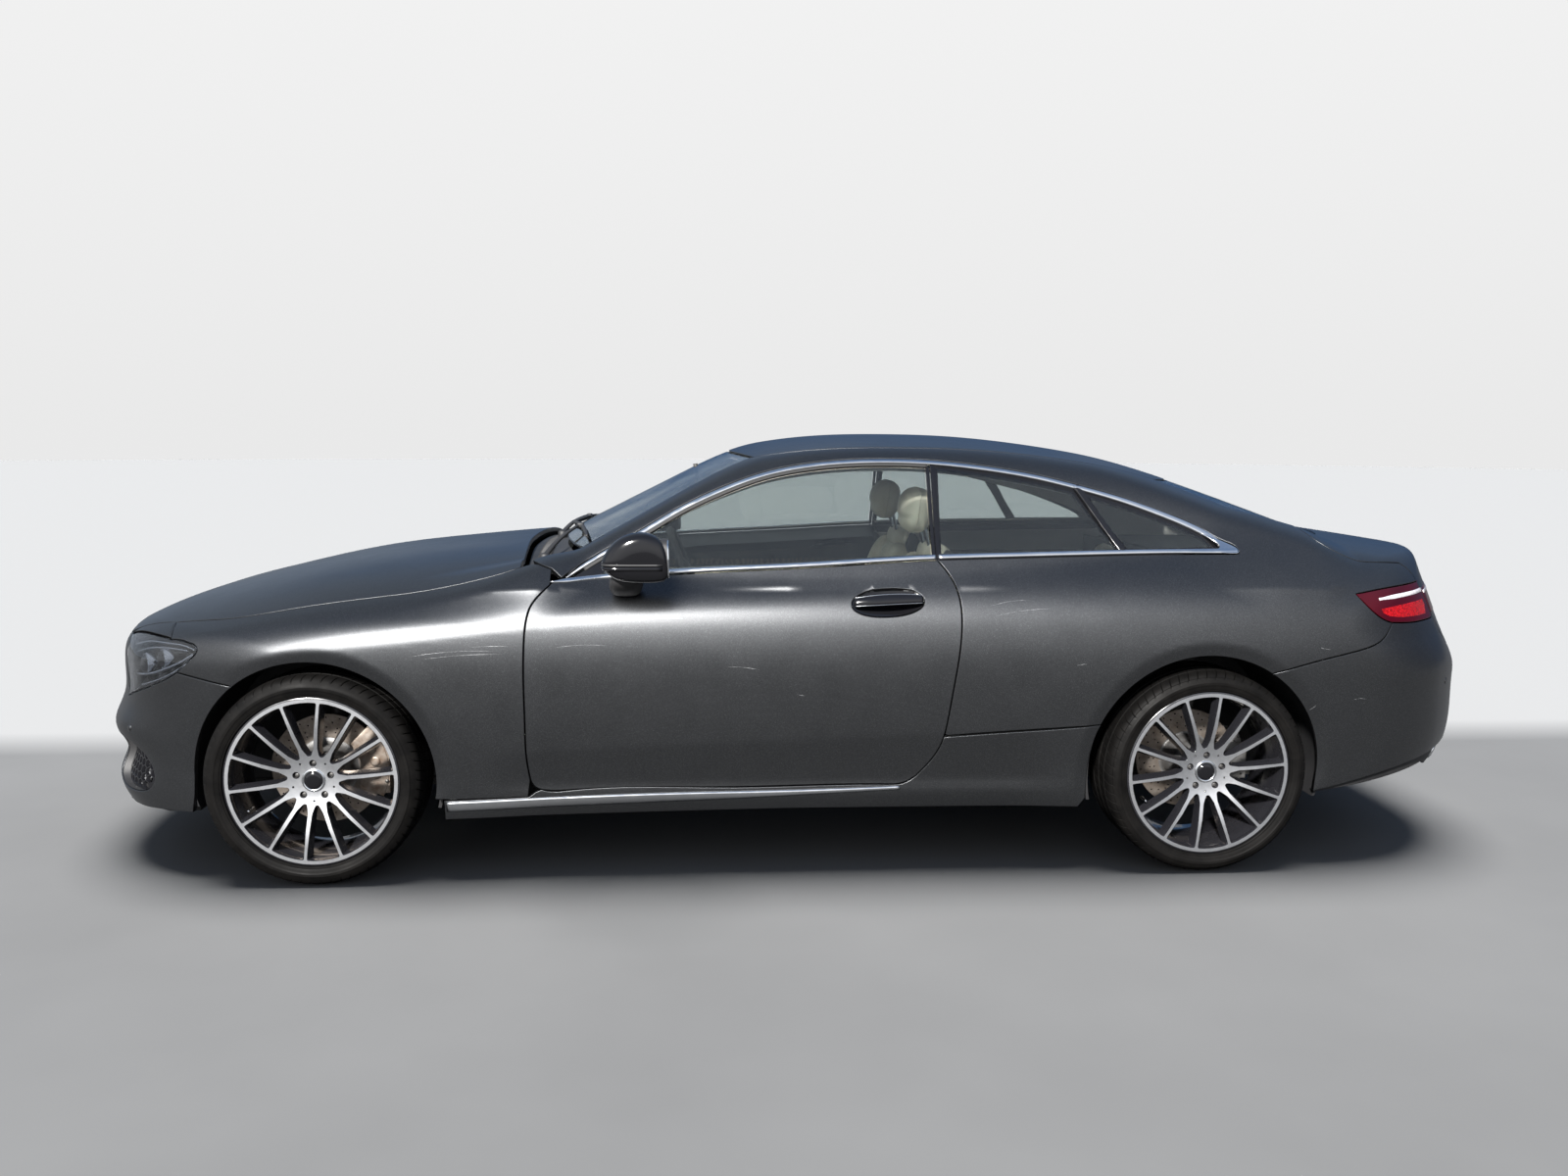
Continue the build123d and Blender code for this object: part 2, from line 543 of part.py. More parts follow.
write(exhaust.part, "exhaust")

# ---------------------------------------------------------------- knuckles with brake calipers
with BuildPart() as knuckle:
    add(block(-42, 42, -712, -655, 256, 470))
    add(drum(0, FRONT_WHEEL[1], 22, -738, -655))
    add(block(36, 150, -712, -662, 292, 388))
    add(block(112, 205, -765, -662, 262, 418))
    add(drum(0, FRONT_WHEEL[1], 188, -740, -717), mode=Mode.SUBTRACT)
    add(drum(0, FRONT_WHEEL[1], 22, -738, -700))
write(knuckle.part, "front_left_knuckle")
write(mirrored(knuckle.part), "front_right_knuckle")


# ---------------------------------------------------------------- wheels
def wheel(name, xc, sign, half_track, radius, width, disc_r, disc_y):
    """A tyre, a fourteen-spoke rim and a brake disc about one axle line; sign is -1 on the left."""
    # the section is drawn in (r, y) with y outward from the wheel's middle plane
    w = width / 2
    plane = Plane(origin=(X(xc), sign * half_track, radius), x_dir=(1, 0, 0), z_dir=(0, 0, 1))
    axis = Axis((X(xc), sign * half_track, radius), (0, 1, 0))
    s = sign
    with BuildPart() as tyre:
        with BuildSketch(plane):
            with BuildLine():
                Line((RIM_R, -s * (w - 24)), (RIM_R, s * (w - 24)))
                Line((RIM_R, s * (w - 24)), (LIP_R + 5, s * (w - 13.5)))
                ThreePointArc((LIP_R + 5, s * (w - 13.5)), (LIP_R + 30, s * w), (radius - 14, s * (w - 14)))
                ThreePointArc((radius - 14, s * (w - 14)), (radius - 4, s * (w - 26)), (radius, s * (w - 45)))
                Line((radius, s * (w - 45)), (radius, -s * (w - 45)))
                ThreePointArc((radius, -s * (w - 45)), (radius - 4, -s * (w - 26)), (radius - 14, -s * (w - 14)))
                ThreePointArc((radius - 14, -s * (w - 14)), (LIP_R + 30, -s * w), (LIP_R + 5, -s * (w - 13.5)))
                Line((LIP_R + 5, -s * (w - 13.5)), (RIM_R, -s * (w - 24)))
            make_face()
        revolve(axis=axis)
    write(tyre.part, name + "_tyre")
    face = w - 14
    with BuildPart() as rim:
        with BuildSketch(plane):
            with BuildLine():
                Polyline((RIM_R - 10, -s * (w - 18)), (RIM_R, -s * (w - 22)), (RIM_R, s * (w - 22)), (LIP_R, s * (w - 12)),
                         (LIP_R, s * (w - 8)), (RIM_R - 6, s * (w - 8)), (RIM_R - 12, s * (w - 45)), (RIM_R - 10, -s * (w - 18)))
            make_face()
        revolve(axis=axis)
        with BuildSketch(plane):
            with BuildLine():
                Polyline((0, s * (face - 58)), (72, s * (face - 58)), (72, s * (face - 30)), (30, s * (face - 20)), (0, s * (face - 20)), close=True)
            make_face()
        revolve(axis=axis)
        spoke_plane = Plane(origin=(X(xc), sign * half_track, radius), x_dir=(1, 0, 0), z_dir=(0, -1, 0))
        with BuildSketch(spoke_plane.offset(-s * (face - 48))):
            with PolarLocations(0, SPOKES):
                with Locations((158, 0)):
                    Rectangle(186, 17)
        extrude(amount=-s * 34)
        with BuildSketch(spoke_plane.offset(-s * (face - 70))):
            with PolarLocations(BOLT_PCD / 2, BOLTS):
                Circle(7.0)
        extrude(amount=-s * 80, mode=Mode.SUBTRACT)
    write(rim.part, name + "_rim")
    # disc: plate, hat and a hub that reaches the rim's back
    with BuildPart() as disc:
        inner = disc_y
        with BuildSketch(Plane(origin=(X(xc), 0, radius), x_dir=(1, 0, 0), z_dir=(0, 0, 1))):
            with BuildLine():
                top = half_track + face - 60
                Polyline((32, s * inner), (disc_r, s * inner), (disc_r, s * (inner + 12)), (85, s * (inner + 12)), (85, s * top),
                         (0, s * top), (0, s * (top - 12)), (32, s * (inner + 26)), close=True)
            make_face()
        revolve(axis=Axis((X(xc), 0, radius), (0, 1, 0)))
    write(disc.part, name + "_disc")


for name, xc, sign, (track, radius, width), disc_r, disc_y in (
        ("front_left", 0, -1, FRONT_WHEEL, 180, 723), ("front_right", 0, 1, FRONT_WHEEL, 180, 723),
        ("rear_left", WHEELBASE, -1, REAR_WHEEL, 170, 700), ("rear_right", WHEELBASE, 1, REAR_WHEEL, 170, 700)):
    wheel(name, xc, sign, track, radius, width, disc_r, disc_y)

# ---------------------------------------------------------------- cabin
DASH = [(620, 600), (600, 905), (700, 960), (860, 985), (1010, 960), (1040, 900), (1000, 780), (930, 620), (800, 560)]
with BuildPart() as dashboard:
    with BuildSketch(Plane.XZ.offset(-700)):
        with BuildLine():
            Polyline(*[(X(x), z) for x, z in DASH], close=True)
        make_face()
    extrude(amount=1400)
    add(LOW_DOOR, mode=Mode.INTERSECT)
write(dashboard.part, "dashboard")
with BuildPart() as steering_wheel:
    wheel_plane = Plane(origin=(X(1160), -370, 925), x_dir=(0, 1, 0), z_dir=(0.93, 0, 0.37))
    with BuildSketch(wheel_plane):
        Circle(187)
        Circle(158, mode=Mode.SUBTRACT)
        Rectangle(330, 40)
        Circle(62)
    extrude(amount=26)
    with BuildSketch(wheel_plane):
        Circle(28)
    extrude(amount=-120)
    add(dashboard.part, mode=Mode.SUBTRACT)
write(steering_wheel.part, "steering_wheel")
# seats: cushion and backrest profiles seen from the side, y centre, half width
FRONT_SEAT = [(1470, 330), (1450, 510), (1530, 555), (1860, 500), (1960, 960), (1935, 1030), (1908, 1090), (1912, 1215), (1950, 1245), (2010, 1245),
              (2050, 1210), (2058, 1080), (2090, 1000), (2000, 470), (1960, 330)]
with BuildPart() as front_seats:
    for yc in (-370, 370):
        with BuildSketch(Plane.XZ.offset(-(yc + 225))):
            with BuildLine():
                Polyline(*[(X(x), z) for x, z in FRONT_SEAT], close=True)
            make_face()
        extrude(amount=450)
    for yc in (-370, 370):
        for y0, y1 in ((yc - 250, yc - 125), (yc + 125, yc + 250)):
            add(block(1880, 2200, y0, y1, 1060, 1300), mode=Mode.SUBTRACT)
write(front_seats.part, "front_seats")
REAR_SEAT = [(2360, 330), (2340, 480), (2420, 510), (2720, 470), (2840, 900), (2920, 940), (2920, 400), (2790, 400), (2790, 330)]
with BuildPart() as rear_seat:
    with BuildSketch(Plane.XZ.offset(-470)):
        with BuildLine():
            Polyline(*[(X(x), z) for x, z in REAR_SEAT], close=True)
        make_face()
    extrude(amount=940)
    add(block(2300, 2925, -140, 140, 200, 421), mode=Mode.SUBTRACT)
write(rear_seat.part, "rear_seat")
with BuildPart() as console:
    with BuildSketch(Plane.XZ.offset(-110)):
        with BuildLine():
            Polyline((X(940), 421), (X(940), 600), (X(1080), 640), (X(1500), 640), (X(1560), 700), (X(1860), 700), (X(1880), 421), close=True)
        make_face()
    extrude(amount=220)
    add(dashboard.part, mode=Mode.SUBTRACT)
write(console.part, "centre_console")

# ---------------------------------------------------------------- wipers
WIPERS = [((778, -610), (674, -20)), ((666, 40), (748, 520))]     # blade ends x, y
with BuildPart() as wipers:
    for (xa, ya), (xb, yb) in WIPERS:
        with BuildSketch(Plane.XY.offset(1068)):
            with BuildLine():
                Polyline((X(xa - 8), ya), (X(xa + 8), ya), (X(xb + 8), yb), (X(xb - 8), yb), close=True)
            make_face()
        extrude(amount=14)
write(wipers.part, "wipers")
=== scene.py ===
import math

import bmesh
import bpy
import numpy as np
from mathutils import Matrix, Vector
from mathutils.geometry import delaunay_2d_cdt

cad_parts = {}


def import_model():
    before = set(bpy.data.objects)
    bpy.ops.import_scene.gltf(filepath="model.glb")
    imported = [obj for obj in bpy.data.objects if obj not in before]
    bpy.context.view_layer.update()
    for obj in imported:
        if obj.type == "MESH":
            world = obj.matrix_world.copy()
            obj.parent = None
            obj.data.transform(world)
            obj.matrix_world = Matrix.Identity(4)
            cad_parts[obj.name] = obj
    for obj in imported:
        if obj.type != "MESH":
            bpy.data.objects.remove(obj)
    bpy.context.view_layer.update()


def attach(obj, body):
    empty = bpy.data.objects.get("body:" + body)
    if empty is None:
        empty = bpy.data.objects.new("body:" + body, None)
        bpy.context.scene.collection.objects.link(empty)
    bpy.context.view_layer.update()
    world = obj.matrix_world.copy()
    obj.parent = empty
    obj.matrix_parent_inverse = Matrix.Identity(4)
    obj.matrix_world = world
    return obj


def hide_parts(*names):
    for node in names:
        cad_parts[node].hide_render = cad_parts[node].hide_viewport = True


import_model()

scene = bpy.context.scene
AX = -1.568          # front axle line in the row frame; every x below counts rearward from it
WB = 2.873

# ------------------------------------------------------------------ camera
cam_data = bpy.data.cameras.new("camera")
cam_data.sensor_width = 36.0
cam_data.sensor_fit = "HORIZONTAL"
cam_data.lens = 1265.02135 / 1600.0 * 36.0
cam_data.clip_start = 0.05
cam_data.clip_end = 200.0
cam = bpy.data.objects.new("camera", cam_data)
scene.collection.objects.link(cam)
yaw, pitch, roll = 0.0649305519, -0.125168943, 0.00597936109
fwd = Vector((math.sin(yaw) * math.cos(pitch), math.cos(yaw) * math.cos(pitch), math.sin(pitch)))
right = Vector((math.cos(yaw), -math.sin(yaw), 0.0))
up = right.cross(fwd)
r2 = math.cos(roll) * right + math.sin(roll) * up
u2 = -math.sin(roll) * right + math.cos(roll) * up
m = Matrix((r2, u2, -fwd)).transposed().to_4x4()
m.translation = Vector((1.22706596 + AX, -4.76641614, 1.43670890))
cam.matrix_world = m
scene.camera = cam


# ------------------------------------------------------------------ small maths
class Spline:
    """Natural cubic spline through a short table of knots, straight beyond its ends."""

    def __init__(self, *knots):
        self.x = np.array([k[0] for k in knots], float)
        self.y = np.array([k[1] for k in knots], float)
        n = len(self.x)
        h = np.diff(self.x)
        a = np.zeros((n, n))
        b = np.zeros(n)
        a[0, 0] = a[-1, -1] = 1.0
        for i in range(1, n - 1):
            a[i, i - 1], a[i, i], a[i, i + 1] = h[i - 1], 2 * (h[i - 1] + h[i]), h[i]
            b[i] = 6 * ((self.y[i + 1] - self.y[i]) / h[i] - (self.y[i] - self.y[i - 1]) / h[i - 1])
        self.m = np.linalg.solve(a, b)
        self.h = h

    def __call__(self, v):
        v = np.asarray(v, float)
        x, y, mm, h = self.x, self.y, self.m, self.h
        i = np.clip(np.searchsorted(x, v) - 1, 0, len(h) - 1)
        c = np.clip(v, x[0], x[-1])
        t0, t1 = x[i + 1] - c, c - x[i]
        out = (mm[i] * t0 ** 3 + mm[i + 1] * t1 ** 3) / (6 * h[i]) + (y[i] / h[i] - mm[i] * h[i] / 6) * t0 + (y[i + 1] / h[i] - mm[i + 1] * h[i] / 6) * t1
        s0 = (y[1] - y[0]) / h[0] - h[0] * mm[1] / 6
        s1 = (y[-1] - y[-2]) / h[-1] + h[-1] * mm[-2] / 6
        return out + np.where(v < x[0], (v - x[0]) * s0, 0) + np.where(v > x[-1], (v - x[-1]) * s1, 0)


def smax(a, b, k):
    h = np.clip(0.5 + 0.5 * (a - b) / k, 0, 1)
    return b + (a - b) * h + k * h * (1 - h)


def smin(a, b, k):
    return -smax(-a, -b, k)


def step(lo, hi, v):
    t = np.clip((np.asarray(v, float) - lo) / (hi - lo), 0, 1)
    return t * t * (3 - 2 * t)


# ------------------------------------------------------------------ the body's outer surface
# one implicit form: negative inside; x from the front axle, a = |y|, z up, metres
HALF_WIDTH = Spline((-0.9, 0.735), (-0.6, 0.845), (-0.3, 0.904), (0.0, 0.930), (0.7, 0.921), (1.5, 0.9125), (2.2, 0.919), (2.87, 0.930),
                    (3.3, 0.912), (3.7, 0.855), (4.0, 0.79))
TUCK = Spline((0.18, 0.050), (0.26, 0.030), (0.36, 0.018), (0.46, 0.008), (0.60, 0.0), (0.72, 0.0005), (0.80, 0.009), (0.86, 0.023),
              (0.91, 0.045), (0.96, 0.078), (1.02, 0.130), (1.10, 0.215))
RIDGE = Spline((-1.0, 0.50), (-0.86, 0.665), (-0.76, 0.757), (-0.62, 0.836), (-0.40, 0.902), (-0.04, 0.982), (0.28, 1.022), (0.62, 1.052),
               (1.1, 1.082), (1.6, 1.108), (2.2, 1.138), (2.8, 1.150), (3.15, 1.136), (3.42, 1.098), (3.64, 1.066), (3.90, 1.026), (4.2, 0.975))
NOSE_Z = Spline((0.14, 0.085), (0.20, 0.040), (0.25, 0.012), (0.29, 0.010), (0.34, 0.030), (0.375, 0.036), (0.41, 0.018), (0.455, 0.0), (0.50, 0.014), (0.56, 0.038),
                (0.64, 0.043), (0.70, 0.046), (0.78, 0.07))
NOSE_Y = Spline((0.0, 0.0), (0.15, 0.004), (0.3, 0.020), (0.45, 0.052), (0.6, 0.122), (0.7, 0.200), (0.8, 0.330), (0.88, 0.48), (0.95, 0.66))
TAIL_Z = Spline((0.14, 3.74), (0.20, 3.84), (0.26, 3.912), (0.34, 3.958), (0.40, 3.973), (0.46, 3.979), (0.54, 3.9795), (0.60, 3.9805), (0.64, 3.980), (0.69, 3.962), (0.76, 3.930), (0.85, 3.908),
                (0.95, 3.893), (1.05, 3.880))
TAIL_C = Spline((0.2, 0.125), (0.40, 0.108), (0.56, 0.106), (0.66, 0.106), (0.74, 0.108), (0.83, 0.126), (0.92, 0.155), (1.02, 0.195))
ROOF = Spline((0.9, 1.225), (1.309, 1.370), (1.5, 1.408), (1.70, 1.427), (1.90, 1.431), (2.14, 1.425), (2.45, 1.394), (2.75, 1.341), (3.0, 1.275), (3.4, 1.15))
PANE = Spline((0.85, 0.905), (0.95, 0.843), (1.05, 0.781), (1.10, 0.751), (1.20, 0.697), (1.30, 0.648), (1.36, 0.620), (1.45, 0.580))
FRONT_ARCH = (0.0, 0.340, 0.381)
REAR_ARCH = (2.862, 0.338, 0.387)


def arch_lip(x, z):
    out = 0.0
    for cx, cz, r in (FRONT_ARCH, REAR_ARCH):
        d = np.hypot(x - cx, np.maximum(z - cz, (z - cz) * 0.35)) - (r + 0.040)
        out = out + smax(-d, 0 * d, 0.010) * 0.26 * step(0.20, 0.34, z)
    return out


def side_y(x, z):
    crease = 0.430 + 0.035 * (x - 0.7)          # lower crease of door and quarter, rising rearward
    low = smax(crease - z, 0 * z, 0.010)
    mid = step(0.45, 0.75, x) * (1 - step(2.2, 2.5, x))
    return HALF_WIDTH(x) - TUCK(z) - mid * 0.10 * low + mid * 0.010 * step(0.33, 0.27, z) - arch_lip(x, z)


def top_z(x, a):
    rise = 0.0
    return RIDGE(x) - 0.105 * (a / 0.80) ** 3.3 + rise


def body_low(x, a, z):
    side = a - side_y(x, z)
    top = (z - top_z(x, a)) * 0.93
    wrap = 1 - step(0.62, 0.86, a)
    nose = (-0.841 + NOSE_Y(a) + NOSE_Z(z) * wrap + 0.03 * (1 - wrap) - x) * (0.98 - 0.25 * step(0.4, 0.9, a))
    tail = (x - (TAIL_Z(z) - TAIL_C(z) * (a / 0.6) ** (3.5 - 0.9 * step(0.75, 1.0, z)))) * (0.98 - 0.25 * step(0.4, 0.9, a))
    f = smax(side, top, 0.075 + 0.03 * step(2.4, 3.2, x))
    f = smax(f, nose, 0.05 + 0.05 * step(0.5, 0.8, a))
    return smax(f, tail, 0.035 + 0.05 * step(0.5, 0.8, a))


def body_up(x, a, z):
    side = (a - (PANE(np.maximum(z, 0.94)) - 0.5 * np.maximum(0.94 - z, 0) - 0.040 * (x - 1.95) ** 2)) * 0.86
    roof = z - (ROOF(x) - 0.150 * a * a)
    screen = (0.58 + 1.981 * (z - 1.0) + 0.30 * a * a - x) * 0.45
    back = (x - (2.96 + (1.285 - z) * 2.727 - 0.58 * a * a)) * 0.345
    f = smax(side, roof, 0.085)
    f = smax(f, screen, 0.030)
    f = smax(f, back, 0.040)
    return smax(f, 0.93 + 0.07 * step(2.9, 3.3, x) - z, 0.010)


def body(x, a, z):
    k = 0.012 + 0.13 * step(2.75, 3.15, x) * (1 - step(3.25, 3.5, x)) * step(0.45, 0.62, a) + 0.15 * (1 - step(0.68, 0.92, x)) * step(0.55, 0.72, a)
    return smin(body_low(x, a, z), body_up(x, a, z), k)


def gradient(f, p, e=4e-4):
    x, y, z = p.T
    s = np.where(y < 0, -1.0, 1.0)
    a = np.abs(y)
    g = np.stack([f(x + e, a, z) - f(x - e, a, z), s * (f(x, a + e, z) - f(x, np.abs(a - e), z)), f(x, a, z + e) - f(x, a, z - e)], 1)
    return g / np.linalg.norm(g, axis=1, keepdims=True)


def cast(f, o, d, lo, hi, n=34):
    """Where each ray o + t d leaves the form, between t = lo and hi."""
    lo = np.full(len(o), lo, float) if np.isscalar(lo) else lo.astype(float).copy()
    hi = np.full(len(o), hi, float) if np.isscalar(hi) else hi.astype(float).copy()
    for _ in range(n):
        mid = 0.5 * (lo + hi)
        p = o + mid[:, None] * d
        inside = f(p[:, 0], np.abs(p[:, 1]), p[:, 2]) < 0
        lo = np.where(inside, mid, lo)
        hi = np.where(inside, hi, mid)
    return o + (0.5 * (lo + hi))[:, None] * d


# ------------------------------------------------------------------ ways of laying a flat net on the surface
class Side:
    """(x, angle about a lengthwise line) on one side of the car."""

    R = 0.5

    def __init__(self, s, a0=0.40, z0=0.62):
        self.s, self.a0, self.z0 = s, a0, z0

    def uv(self, p):
        return np.stack([p[:, 0], np.arctan2(p[:, 2] - self.z0, self.s * p[:, 1] - self.a0) * self.R], 1)

    def rays(self, uv):
        ang = uv[:, 1] / self.R
        n = len(uv)
        o = np.stack([uv[:, 0], np.full(n, self.s * self.a0), np.full(n, self.z0)], 1)
        d = np.stack([np.zeros(n), self.s * np.cos(ang), np.sin(ang)], 1)
        return o, d, 0.0, 1.1


class Top:
    def __init__(self, z0=0.45):
        self.z0 = z0

    def uv(self, p):
        return p[:, :2].copy()

    def rays(self, uv):
        n = len(uv)
        return np.stack([uv[:, 0], uv[:, 1], np.full(n, self.z0)], 1), np.tile([0.0, 0.0, 1.0], (n, 1)), 0.0, 1.2


class Round:
    """(angle about an upright line, z): noses and tails; sign -1 looks forward."""

    R = 0.75

    def __init__(self, x0, sign):
        self.x0, self.sign = x0, sign

    def uv(self, p):
        return np.stack([np.arctan2(p[:, 1], self.sign * (p[:, 0] - self.x0)) * self.R, p[:, 2]], 1)

    def rays(self, uv):
        n = len(uv)
        ang = uv[:, 0] / self.R
        o = np.stack([np.full(n, self.x0), np.zeros(n), uv[:, 1]], 1)
        return o, np.stack([self.sign * np.cos(ang), np.sin(ang), np.zeros(n)], 1), 0.0, 1.6


class Lid:
    """(y, angle about a crosswise line): the boot lid from deck to rear face."""

    R = 0.5

    def __init__(self, x0=3.35, z0=0.66):
        self.x0, self.z0 = x0, z0

    def uv(self, p):
        return np.stack([p[:, 1], np.arctan2(p[:, 2] - self.z0, p[:, 0] - self.x0) * self.R], 1)

    def rays(self, uv):
        n = len(uv)
        ang = uv[:, 1] / self.R
        o = np.stack([np.full(n, self.x0), uv[:, 0], np.full(n, self.z0)], 1)
        return o, np.stack([np.cos(ang), np.zeros(n), np.sin(ang)], 1), 0.0, 1.0


NOSE = Round(-0.05, -1)
TAIL = Round(2.90, 1)
TOP = Top()
LID = Lid()
LEFT, RIGHT = Side(-1), Side(1)


# ------------------------------------------------------------------ curves drawn on the surface
def smooth_line(pts, spacing=0.010, closed=False):
    """A cubic through the points, sampled evenly."""
    p = np.array(pts, float)
    d = np.concatenate([[0], np.cumsum(np.linalg.norm(np.diff(p, axis=0), axis=1))])
    n = max(2, int(round(d[-1] / spacing)) + 1)
    t = np.linspace(0, d[-1], n)
    if len(p) == 2:
        return p[0] + (p[1] - p[0]) * (t / d[-1])[:, None]
    return np.stack([Spline(*zip(d, p[:, i]))(t) for i in range(p.shape[1])], 1)


def poly(pts, spacing=0.010):
    """Straight runs, sampled evenly, corners kept."""
    out = []
    for a, b in zip(pts[:-1], pts[1:]):
        q = smooth_line([a, b], spacing)
        out.append(q[:-1])
    out.append(np.array([pts[-1]], float))
    return np.concatenate(out)


def from_side(q, s=-1, f=None):
    """Points seen from the side (x, z) put on the surface."""
    q = np.asarray(q, float)
    n = len(q)
    o = np.stack([q[:, 0], np.full(n, 0.0), q[:, 1]], 1)
    return cast(f or body, o, np.tile([0.0, float(s), 0.0], (n, 1)), 0.05, 1.2)


def from_top(q, f=None):
    q = np.asarray(q, float)
    n = len(q)
    return cast(f or body, np.stack([q[:, 0], q[:, 1], np.full(n, 0.45)], 1), np.tile([0.0, 0.0, 1.0], (n, 1)), 0.0, 1.2)


def from_front(q, f=None):
    """Points seen from the front (y, z) put on the nose."""
    q = np.asarray(q, float)
    n = len(q)
    return cast(f or body, np.stack([np.full(n, 0.1), q[:, 0], q[:, 1]], 1), np.tile([-1.0, 0.0, 0.0], (n, 1)), 0.0, 1.2)


def from_rear(q, f=None):
    q = np.asarray(q, float)
    n = len(q)
    return cast(f or body, np.stack([np.full(n, 2.9), q[:, 0], q[:, 1]], 1), np.tile([1.0, 0.0, 0.0], (n, 1)), 0.0, 1.3)


def join(*parts):
    """One closed loop from runs that meet end to start."""
    out = [parts[0]]
    for p in parts[1:]:
        out.append(p[1:] if np.linalg.norm(p[0] - out[-1][-1]) < 0.004 else p)
    loop = np.concatenate(out)
    if np.linalg.norm(loop[0] - loop[-1]) < 0.004:
        loop = loop[:-1]
    keep = [0]
    for i in range(1, len(loop)):
        if np.linalg.norm(loop[i] - loop[keep[-1]]) > 0.0025:
            keep.append(i)
    return loop[keep]


def flip(p):
    return p * np.array([1.0, -1.0, 1.0])


def inside(uv, loops):
    """Even-odd test of points against closed loops."""
    res = np.zeros(len(uv), bool)
    x, y = uv[:, 0], uv[:, 1]
    for lp in loops:
        a, b = lp, np.roll(lp, -1, 0)
        for (x0, y0), (x1, y1) in zip(a, b):
            if y0 == y1:
                continue
            c = ((y0 > y) != (y1 > y)) & (x < (x1 - x0) * (y - y0) / (y1 - y0) + x0)
            res ^= c
    return res


def loop_frames(lp, form):
    """Tangent-plane direction into the panel for a loop that runs counter-clockwise seen from outside."""
    n = gradient(form, lp)
    t = np.roll(lp, -1, 0) - np.roll(lp, 1, 0)
    t /= np.linalg.norm(t, axis=1, keepdims=True)
    b = np.cross(n, t)
    return n, b / np.linalg.norm(b, axis=1, keepdims=True)


PIECES = {}


def make_mesh(name, verts, faces, normals=None, mats=(), face_mat=None, smooth=True):
    me = bpy.data.meshes.new(name)
    v = np.array(verts, float).copy()
    v[:, 0] += AX
    me.from_pydata(v.tolist(), [], [list(map(int, f)) for f in faces])
    for mt in mats:
        me.materials.append(mt)
    if face_mat is not None:
        me.polygons.foreach_set("material_index", np.array(face_mat, dtype=np.int32))
    if smooth:
        me.polygons.foreach_set("use_smooth", np.ones(len(me.polygons), bool))
    me.update()
    if normals is not None:
        me.normals_split_custom_set_from_vertices(np.asarray(normals, float).tolist())
    ob = bpy.data.objects.new(name, me)
    scene.collection.objects.link(ob)
    PIECES[name] = ob
    return ob


